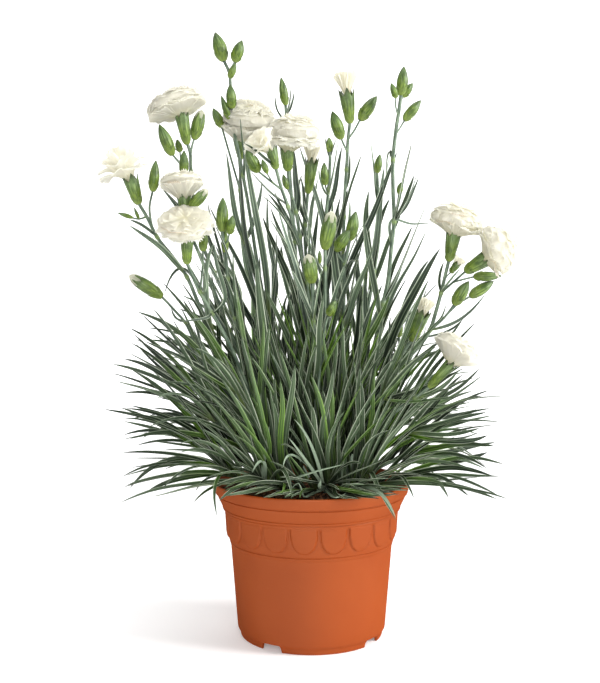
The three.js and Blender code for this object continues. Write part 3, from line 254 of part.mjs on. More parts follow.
    leaves: [[[[34.2,-31.7,108.4],[47.3,-66.0,141.3],[61.8,-99.5,167.0]],3.6],[[[34.6,-31.6,108.6],[54.6,-68.0,125.6],[72.5,-99.5,139.5]],3.1],[[[33.5,-31.9,107.9],[37.7,-45.2,144.4],[49.8,-48.4,173.2]],3.7],[[[26.6,-33.2,103.9],[38.9,-66.0,109.7],[50.2,-78.0,95.7]],2.3],[[[26.9,-33.1,104.0],[41.6,-62.0,112.0],[60.6,-70.0,112.4]],2.6],[[[25.4,-33.3,103.3],[36.7,-62.0,109.5],[51.4,-70.0,108.7]],2.6],[[[22.9,-33.6,102.0],[30.6,-62.0,108.3],[43.7,-68.0,107.1]],2.3],[[[22.4,-33.6,101.8],[33.0,-62.0,115.2],[48.3,-70.0,118.0]],2.6],[[[19.8,-33.9,100.4],[24.5,-60.0,110.4],[34.0,-66.0,109.1]],2.3],[[[19.0,-34.0,100.0],[19.5,-60.0,112.3],[27.3,-66.0,111.6]],2.1],[[[28.5,-32.9,104.9],[49.2,-60.0,119.1],[72.0,-66.0,117.8]],2.6],[[[29.2,-32.7,105.3],[33.3,-56.0,134.7],[48.8,-62.0,146.8]],2.6],[[[25.1,-33.3,103.1],[33.1,-60.0,111.6],[46.8,-67.0,111.8]],2.5],[[[22.1,-33.7,101.6],[29.3,-62.0,105.8],[41.2,-68.0,105.2]],2.3],[[[19.0,-34.0,100.0],[22.0,-60.0,111.6],[32.8,-66.0,113.5]],2.2],[[[25.8,-33.2,103.5],[41.7,-62.0,109.5],[59.8,-66.0,110.4]],2.6],[[[19.0,-34.0,100.0],[32.9,-64.0,105.6],[53.5,-68.0,108.3]],2.5],[[[21.9,-33.7,101.5],[23.5,-52.0,139.1],[36.9,-56.0,164.7]],2.9],[[[19.0,-34.0,100.0],[16.0,-54.0,133.1],[18.3,-58.0,153.7]],2.6]] },
  { name: 'leaf_shoot_16', r: 1.7, n: 30, spread: 38, length: [78,112], axis: [0.0,0.73,0.683],
    path: [[2.0,33.0,100.5],[2.0,46.0,109.0],[2.0,59.0,123.0],[2.0,71.0,136.0]],
    leaves: [] },
  { name: 'leaf_shoot_17', r: 1.7, n: 20, spread: 38, length: [78,112], axis: [-0.547,0.622,0.561],
    path: [[-24.0,27.0,100.2],[-34.0,38.0,107.0],[-44.0,50.0,119.0],[-53.0,60.0,130.0]],
    leaves: [] },
  { name: 'leaf_shoot_18', r: 1.7, n: 16, spread: 38, length: [78,112], axis: [0.546,0.64,0.541],
    path: [[24.0,27.0,100.2],[34.0,38.0,107.0],[44.0,50.0,118.0],[53.0,61.0,129.0]],
    leaves: [] },
  { name: 'leaf_shoot_19', r: 1.7, n: 40, spread: 28, length: [80,126], axis: [-0.04,-0.199,0.979],
    path: [[-9.0,-12.0,101.4],[-9.0,-14.0,110.0],[-10.0,-17.0,126.0]],
    leaves: [[[[-9.1,-14.2,111.2],[-13.6,-22.0,137.0],[-18.0,-26.0,163.7]],3.3],[[[-9.1,-14.2,111.2],[-18.1,-24.0,128.1],[-28.3,-28.0,152.2]],3.3],[[[-9.1,-14.2,111.2],[-7.7,-20.0,140.6],[-5.1,-22.0,168.4]],3.6]] },
  { name: 'leaf_shoot_20', r: 1.7, n: 40, spread: 28, length: [80,126], axis: [0.079,-0.197,0.977],
    path: [[13.0,-16.0,101.2],[13.0,-18.0,110.0],[15.0,-21.0,126.0]],
    leaves: [[[[13.2,-18.4,111.9],[18.2,-26.0,137.6],[25.8,-28.0,163.9]],3.5],[[[13.2,-18.4,111.9],[22.0,-30.0,129.1],[34.5,-34.0,150.4]],3.2]] },
];
// ---------------------------------------------------------------- helpers
const wasm = await Module();
wasm.setup();
const { Manifold, Mesh } = wasm;
const UP = new THREE.Vector3(0, 0, 1);
const vec = (p) => new THREE.Vector3(p[0], p[1], p[2]);
const lerp = (a, b, t) => a + (b - a) * t;
const soilHeight = (x, y) => SOIL_CROWN - (SOIL_CROWN - SOIL_EDGE) * ((x * x + y * y) / SOIL_RIM_RADIUS ** 2);
// one repeatable stream of numbers in [0, 1)
const stream = (seed) => () => (seed = (seed * 1664525 + 1013904223) % 4294967296) / 4294967296;

function solidOf(geometry) {
  const bare = geometry.clone();
  for (const name of Object.keys(bare.attributes)) if (name !== 'position') bare.deleteAttribute(name);
  const merged = mergeVertices(bare, 1e-4);
  return new Manifold(new Mesh({
    numProp: 3,
    vertProperties: Float32Array.from(merged.attributes.position.array),
    triVerts: Uint32Array.from(merged.index.array),
  }));
}

function geometryOf(solid) {
  const mesh = solid.getMesh();
  const geometry = new THREE.BufferGeometry();
  const positions = new Float32Array(mesh.numVert * 3);
  for (let i = 0; i < mesh.numVert; i++)
    for (let k = 0; k < 3; k++) positions[i * 3 + k] = mesh.vertProperties[i * mesh.numProp + k];
  geometry.setAttribute('position', new THREE.BufferAttribute(positions, 3));
  geometry.setIndex(new THREE.BufferAttribute(Uint32Array.from(mesh.triVerts), 1));
  geometry.computeVertexNormals();
  return geometry;
}

// A closed skin over rings of points. A ring of one point is an apex; other end rings are capped flat.
function loft(rings) {
  const points = rings.flat();
  const start = [];
  rings.reduce((n, ring) => (start.push(n), n + ring.length), 0);
  const index = [];
  for (let i = 0; i + 1 < rings.length; i++) {
    const a = rings[i], b = rings[i + 1], n = Math.max(a.length, b.length);
    for (let j = 0; j < n; j++) {
      const k = (j + 1) % n;
      const a0 = start[i] + (a.length > 1 ? j : 0), a1 = start[i] + (a.length > 1 ? k : 0);
      const b0 = start[i + 1] + (b.length > 1 ? j : 0), b1 = start[i + 1] + (b.length > 1 ? k : 0);
      if (a0 !== a1) index.push(a0, a1, b1);
      if (b0 !== b1) index.push(a0, b1, b0);
    }
  }
  const first = rings[0].length, last = rings[rings.length - 1].length, end = start[rings.length - 1];
  for (let j = 1; j + 1 < first; j++) index.push(0, j + 1, j);
  for (let j = 1; j + 1 < last; j++) index.push(end, end + j, end + j + 1);
  const geometry = new THREE.BufferGeometry().setFromPoints(points);
  geometry.setIndex(index);
  return solidOf(geometry);
}

// Sections that turn as little as they can along a line of points.
function frames(points, normal) {
  const out = [];
  let n = normal.clone();
  points.forEach((p, i) => {
    const t = points[Math.min(i + 1, points.length - 1)].clone().sub(points[Math.max(i - 1, 0)]).normalize();
    n = n.clone().addScaledVector(t, -n.dot(t));
    if (n.lengthSq() < 1e-6) n = new THREE.Vector3(1, 0, 0).addScaledVector(t, -t.x);
    n.normalize();
    out.push({ p, t, n, s: n.clone().cross(t) });
  });
  return out;
}

const circle = (f, r, sides, at = f.p, wave = 0) =>
  Array.from({ length: sides }, (_, j) => {
    const a = (2 * Math.PI * j) / sides, q = r * (1 + wave * Math.cos(a * (sides / 2)));
    return at.clone().addScaledVector(f.s, q * Math.cos(a)).addScaledVector(f.n, q * Math.sin(a));
  });

// Drops the points of a line that lie within tol of the line without them.
function thinned(points, tol) {
  if (points.length < 3) return points;
  const a = points[0], b = points[points.length - 1], line = new THREE.Line3(a, b), near = new THREE.Vector3();
  let far = 0, at = 0;
  for (let i = 1; i + 1 < points.length; i++) {
    const d = line.closestPointToPoint(points[i], true, near).distanceTo(points[i]);
    if (d > far) [far, at] = [d, i];
  }
  if (far <= tol) return [a, b];
  return [...thinned(points.slice(0, at + 1), tol).slice(0, -1), ...thinned(points.slice(at), tol)];
}

// A round stem along a centre line.
function tube(line, r0, r1, grow) {
  const points = thinned(line, 1.0);
  const f = frames(points, new THREE.Vector3(0, 1, 0));
  const ends = [f[0], f[f.length - 1]];
  return loft(f.map((g, i) => {
    const at = g.p.clone();
    if (g === ends[0]) at.addScaledVector(g.t, -grow);
    if (g === ends[1]) at.addScaledVector(g.t, grow);
    return circle(g, lerp(r0, r1, i / (f.length - 1)) + grow, STEM_SIDES, at);
  }));
}

// A body of revolution from one point to another, as [share of the length, share of the radius].
function spindle(from, to, radius, profile, sides, grow) {
  const t = to.clone().sub(from), length = t.length();
  t.normalize();
  const [g] = frames([from, to], Math.abs(t.y) > 0.9 ? UP : new THREE.Vector3(0, 1, 0));
  return loft(profile.map(([s, q], i) => {
    const shift = i === 0 ? -grow : i === profile.length - 1 ? grow * 2 : 0;
    const at = from.clone().addScaledVector(t, s * length + shift);
    return q === 0 ? [at] : circle(g, q * radius + grow, sides, at);
  }));
}
const BUD = [[0, 0.55], [0.2, 0.96], [0.74, 0.94], [1, 0]];
const CALYX = [[0, 0.5], [0.2, 0.84], [1, 1.02]];

// A keeled blade through its base, middle and tip. The flat face looks up, in to the plant and to the front.
function bladeLine(base, middle, tip, share) {
  const c = middle.clone().multiplyScalar(2).addScaledVector(base, -0.5).addScaledVector(tip, -0.5);
  return base.clone().multiplyScalar((1 - share) ** 2).addScaledVector(c, 2 * share * (1 - share)).addScaledVector(tip, share ** 2);
}
function blade(base, middle, tip, width, grow, face = 0.7) {
  const out = tip.clone().sub(base).setZ(0);
  if (out.lengthSq() > 1e-6) out.normalize();
  const points = [...LEAF_STATIONS, 1].map((s) => bladeLine(base, middle, tip, s));
  const f = frames(points, UP.clone().sub(out).sub(new THREE.Vector3(0, face, 0)));
  const rings = f.map((g, i) => {
    if (i === LEAF_STATIONS.length) return [g.p.clone().addScaledVector(g.t, grow * 3)];
    const w = width * LEAF_TAPER[i], at = g.p.clone().addScaledVector(g.t, i ? 0 : -grow);
    return [
      at.clone().addScaledVector(g.s, w / 2 + 3.7 * grow).addScaledVector(g.n, grow),
      at.clone().addScaledVector(g.s, -w / 2 - 3.7 * grow).addScaledVector(g.n, grow),
      at.clone().addScaledVector(g.n, -w * KEEL - 1.3 * grow),
    ];
  });
  return loft(rings);
}

// Base, middle and tip of a blade given by three or more points.
function threeOf(line) {
  const points = line.map(vec);
  if (points.length === 3) return points;
  const run = [0];
  for (let i = 1; i < points.length; i++) run.push(run[i - 1] + points[i].distanceTo(points[i - 1]));
  const half = run[run.length - 1] / 2, i = run.findIndex((r) => r > half);
  const middle = points[i - 1].clone().lerp(points[i], (half - run[i - 1]) / (run[i] - run[i - 1]));
  return [points[0], middle, points[points.length - 1]];
}

// The petals of one flower as one ruffled solid, from the neck in the calyx mouth to the open face.
function petals([, base, mouth, calyxRadius, middle, facing, radius, depth, kind], grow) {
  const m = vec(mouth), c = vec(middle), up = vec(facing).normalize();
  const neckDirection = m.clone().sub(vec(base)).normalize();
  const neck = m.clone().addScaledVector(neckDirection, GAP + 0.05 - grow);
  const [g] = frames([c, c.clone().add(up)], Math.abs(up.y) > 0.9 ? UP : new THREE.Vector3(0, 1, 0));
  const [h] = frames([neck, neck.clone().add(neckDirection)], g.n);
  const along = (s) => c.clone().addScaledVector(up, s * depth);
  if (kind === 4)
    return loft([
      circle(h, calyxRadius * 0.8 + grow, PETAL_SIDES / 2),
      circle(g, radius + grow, PETAL_SIDES / 2, c, 0.05),
      [along(0.5).addScaledVector(up, grow)],
    ]);
  if (kind !== 2 && kind !== 3) { // a dome over a shallow bowl
    const bowl = m.clone().lerp(c, 0.42);
    return loft([
      circle(h, calyxRadius * 0.72 + grow, PETAL_SIDES),
      circle(g, radius * 0.6 + grow, PETAL_SIDES, bowl.addScaledVector(up, -grow)),
      circle(g, radius + grow, PETAL_SIDES, along(-0.04), 0.04),
      circle(g, radius * 0.93 + grow, PETAL_SIDES, along(0.38).addScaledVector(up, grow), -0.03),
      circle(g, radius * 0.62 + grow, PETAL_SIDES, along(0.8).addScaledVector(up, grow)),
      [along(1.0).addScaledVector(up, grow)],
    ]);
  }
  return loft([
    circle(h, calyxRadius * 0.72 + grow, PETAL_SIDES),
    circle(g, radius * 0.55 + grow, PETAL_SIDES, along(-0.45).addScaledVector(up, -grow)),
    circle(g, radius + grow, PETAL_SIDES, along(-0.1), 0.06),
    circle(g, radius * 0.88 + grow, PETAL_SIDES, along(0.3).addScaledVector(up, grow), -0.05),
    circle(g, radius * 0.4 + grow, PETAL_SIDES, along(0.46).addScaledVector(up, grow)),
    [along(0.5).addScaledVector(up, grow)],
  ]);
}

// Blades that a rule places round a leafy shoot: they spiral up it and arch out.
function fillBlades(shoot, seed) {
  const next = stream(seed), out = [];
  const line = shoot.path.map(vec);
  const along = (s) => { // share of the way up the shoot's own line
    const at = Math.min(s * (line.length - 1), line.length - 1.001), i = Math.floor(at);
    return line[i].clone().lerp(line[i + 1], at - i);
  };
  const axis = vec(shoot.axis).normalize();
  const side = axis.clone().cross(UP).normalize(), over = side.clone().cross(axis);
  for (let k = 0; k < shoot.n; k++) {
    const u = [next(), next(), next(), next(), next()];
    const base = along(0.3 + 0.7 * u[0]);
    const turn = THREE.MathUtils.degToRad(k * GOLDEN + 40 * u[1]);
    const lean = THREE.MathUtils.degToRad(shoot.spread * (0.3 + 0.7 * u[2]));
    const way = axis.clone().multiplyScalar(Math.cos(lean))
      .addScaledVector(side, Math.sin(lean) * Math.cos(turn)).addScaledVector(over, Math.sin(lean) * Math.sin(turn));
    const length = lerp(shoot.length[0], shoot.length[1], u[3]);
    const flat = Math.hypot(way.x, way.y);
    const middle = base.clone().addScaledVector(way, length * 0.5);
    const tip = base.clone().addScaledVector(way, length);
    middle.z += 0.05 * length * flat;
    tip.z -= (0.04 + 0.16 * u[4]) * length * flat;
    const low = 112 - 10 * u[4];
    if (tip.z < low) tip.z = low;
    let reach = 1; // how much of the sideways run is kept
    for (const [k, limit] of [['x', REACH[0] - 12 * u[3]], ['y', REACH[1] - 14 * u[2]]])
      if (Math.abs(tip[k]) > limit) reach = Math.min(reach, (Math.sign(tip[k]) * limit - base[k]) / (tip[k] - base[k]));
    for (const p of [middle, tip]) for (const k of ['x', 'y']) p[k] = base[k] + (p[k] - base[k]) * reach;
    out.push([[base, middle, tip], 2.7 + 1.5 * u[1]]);
  }
  return out;
}

// ---------------------------------------------------------------- pot and soil
function potSolid() {
  const lathe = (profile) => solidOf(new THREE.LatheGeometry(profile.map(([r, z]) => new THREE.Vector2(r, z)), POT_SIDES).rotateX(Math.PI / 2));
  let pot = lathe([...POT_PROFILE]);
  if (pot.volume() < 0) pot = lathe([...POT_PROFILE].reverse());
  for (const angle of NOTCH.angles) {
    const shape = new THREE.Shape();
    const w = NOTCH.width / 2;
    shape.moveTo(-w, -1).lineTo(w, -1).lineTo(w - 1.2, NOTCH.height - 0.8).lineTo(w - 2.2, NOTCH.height).lineTo(-w + 2.2, NOTCH.height).lineTo(-w + 1.2, NOTCH.height - 0.8);
    const cut = new THREE.ExtrudeGeometry(shape, { depth: 12, bevelEnabled: false })
      .translate(0, 0, 40).rotateX(Math.PI / 2).rotateZ(THREE.MathUtils.degToRad(angle));
    pot = pot.subtract(solidOf(cut));
  }
  for (let i = 0; i < DRAIN_HOLES.count; i++) {
    const a = (2 * Math.PI * (i + 0.5)) / DRAIN_HOLES.count;
    const hole = new THREE.CylinderGeometry(DRAIN_HOLES.radius, DRAIN_HOLES.radius, 8, DRAIN_HOLES.sides)
      .rotateX(Math.PI / 2).translate(DRAIN_HOLES.ring * Math.cos(a), DRAIN_HOLES.ring * Math.sin(a), 6.2);
    pot = pot.subtract(solidOf(hole));
  }
  return pot;
}

function latheSolid(profile, sides) {
  const make = (list) => solidOf(new THREE.LatheGeometry(list.map(([r, z]) => new THREE.Vector2(r, z)), sides).rotateX(Math.PI / 2));
  const solid = make(profile);
  return solid.volume() < 0 ? make([...profile].reverse()) : solid;
}
const dome = (r) => SOIL_CROWN - (SOIL_CROWN - SOIL_EDGE) * (r / SOIL_RIM_RADIUS) ** 2;
function soilSolid() {
  const g = GAP + 0.1;
  return latheSolid([
    [0, 7.0 + g], [48.4 - g, 7.2 + g], [52.8 - g, 62.4], [55.2 - g, 70.4], [56.0 - g, 83.0], [61.9 - g, 95.6], [62.0 - g, SOIL_EDGE],
    [46, dome(46)], [24, dome(24)], [0, SOIL_CROWN],
  ], 24);
}
// the spaces that no stem or blade may enter: the pot's rim and the soil, with the clearance added
const RIM_KEEP_OUT = latheSolid([[58.3, 78], [58.2, 82], [65.3, 96.9], [66.3, 103.0], [66.3, 104.6], [63.6, 104.6], [62.4, 98.3], [55.2, 83.2], [55.2, 78], [58.3, 78]], POT_SIDES);
const SOIL_KEEP_OUT = latheSolid([[0, 60], [62.3, 60], [62.3, SOIL_EDGE + GAP], [46, dome(46) + GAP], [24, dome(24) + GAP], [0, SOIL_CROWN + GAP]], 24);

// ---------------------------------------------------------------- assembling the pieces
// Every element knows its node and how to be built plain or grown by the clearance.
const elements = [];
const add = (node, rank, make) => elements.push({ node, rank, make, order: elements.length });
const lift = (points) => points.map(vec);

for (const s of STEMS) {
  add(s.name, 0, (g) => tube(lift(s.path), s.r[0], s.r[1], g));
  for (const [path, r] of s.branches) add(s.name, 0, (g) => tube(lift(path), r, r * 0.9, g));
  for (const [a, t, r] of s.buds) if (r > 1.6) add(s.name, 1, (g) => spindle(vec(a), vec(t), r, BUD, BUD_SIDES, g));
  for (const f of s.flowers) {
    add(s.name, 1, (g) => spindle(vec(f[1]), vec(f[2]), f[3], CALYX, CALYX_SIDES, g));
    add(`flower_${String(f[0]).padStart(2, '0')}`, 2, (g) => petals(f, g));
  }
  for (const [line, w] of s.leaves) add(s.name, 3, (g) => blade(...threeOf(line), w, g, 1.3));
}
SHOOTS.forEach((s, i) => {
  add(s.name, 0, (g) => tube(lift(s.path), s.r, s.r * 0.6, g));
  for (const [line, w] of s.leaves) add(s.name, 3, (g) => blade(...threeOf(line), w, g));
  fillBlades(s, 1000 + i).slice(0, Math.max(FILL_SOLID - s.leaves.length, 2) + (s.leaves.length ? 0 : 4))
    .forEach(([[a, m, t], w]) => add(s.name, 4, (g) => blade(a, m, t, w, g)));
});

const touching = (a, b) => {
  for (let k = 0; k < 3; k++) if (a.min[k] > b.max[k] || b.min[k] > a.max[k]) return false;
  return true;
};
const largest = (solid) => solid.decompose().reduce((best, s) => (s.volume() > best.volume() ? s : best));

elements.sort((a, b) => a.rank - b.rank || a.order - b.order);
const placed = [];
const pieces = new Map();
for (const e of elements) {
  let solid = e.make(0);
  const whole = solid.volume();
  const box = solid.boundingBox();
  let clashes = 0;
  for (const other of placed) {
    if (other.node === e.node || !touching(box, other.box)) continue;
    if (solid.intersect(other.grown).volume() > 1e-6) {
      clashes++;
      solid = solid.subtract(other.grown);
      if (solid.isEmpty()) break;
    }
  }
  if (!solid.isEmpty() && e.rank !== 2) solid = solid.subtract(RIM_KEEP_OUT);
  if (!solid.isEmpty() && e.rank !== 2) solid = solid.subtract(SOIL_KEEP_OUT);
  if (solid.isEmpty()) continue;
  if (e.rank === 4 && clashes) continue; // a rule-placed blade is left out where its place is taken
  solid = largest(solid);
  if (e.rank === 3 && solid.volume() < 0.45 * whole) continue;
  const grown = e.make(GAP);
  placed.push({ node: e.node, grown, box: grown.boundingBox() });
  if (!pieces.has(e.node)) pieces.set(e.node, []);
  pieces.get(e.node).push(solid);
}

// ---------------------------------------------------------------- materials and the finished group
const material = (name, color, roughness) => new THREE.MeshStandardMaterial({ name, color, roughness, metalness: 0 });
const TERRACOTTA = material('pot', 0xb5602f, 0.5);
const EARTH = material('soil', 0x3b2a20, 0.95);
const STEM_GREEN = material('stem', 0x74926a, 0.6);
const LEAF_GREEN = material('leaf', 0x5f7f66, 0.62);
const IVORY = material('petal', 0xf3efdf, 0.7);

const plant = new THREE.Group();
function place(name, solid, look) {
  const mesh = new THREE.Mesh(geometryOf(largest(solid.asOriginal().simplify(0.05))), look);
  mesh.name = name;
  plant.add(mesh);
}
place('pot', potSolid(), TERRACOTTA);
place('soil', soilSolid(), EARTH);
for (const [name, list] of [...pieces].sort((a, b) => (a[0] < b[0] ? -1 : 1)))
  place(name, Manifold.union(list), name.startsWith('flower_stem') ? STEM_GREEN : name.startsWith('flower') ? IVORY : LEAF_GREEN);

export default plant;
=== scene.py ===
import math
import bpy
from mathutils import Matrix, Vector
import numpy as np


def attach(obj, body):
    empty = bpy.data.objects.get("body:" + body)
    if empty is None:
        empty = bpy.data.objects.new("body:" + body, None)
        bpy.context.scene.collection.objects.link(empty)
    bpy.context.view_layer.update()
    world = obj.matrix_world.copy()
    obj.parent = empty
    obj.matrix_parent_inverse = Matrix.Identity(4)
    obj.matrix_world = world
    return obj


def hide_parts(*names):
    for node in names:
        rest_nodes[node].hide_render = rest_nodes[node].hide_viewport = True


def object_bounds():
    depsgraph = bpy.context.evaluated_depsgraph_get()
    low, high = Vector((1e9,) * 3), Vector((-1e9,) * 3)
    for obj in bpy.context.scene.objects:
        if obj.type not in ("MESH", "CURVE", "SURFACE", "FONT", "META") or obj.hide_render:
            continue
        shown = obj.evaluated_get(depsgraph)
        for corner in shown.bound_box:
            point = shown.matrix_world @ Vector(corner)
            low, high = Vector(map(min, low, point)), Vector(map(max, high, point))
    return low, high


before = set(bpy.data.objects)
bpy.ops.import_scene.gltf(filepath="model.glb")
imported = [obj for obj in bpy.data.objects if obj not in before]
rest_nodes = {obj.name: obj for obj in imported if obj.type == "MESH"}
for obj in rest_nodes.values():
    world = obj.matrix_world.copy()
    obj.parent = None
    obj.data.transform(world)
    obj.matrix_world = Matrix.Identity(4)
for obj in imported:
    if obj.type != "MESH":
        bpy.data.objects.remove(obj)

CAD_BOX = [[float(x) for x in corner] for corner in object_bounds()]

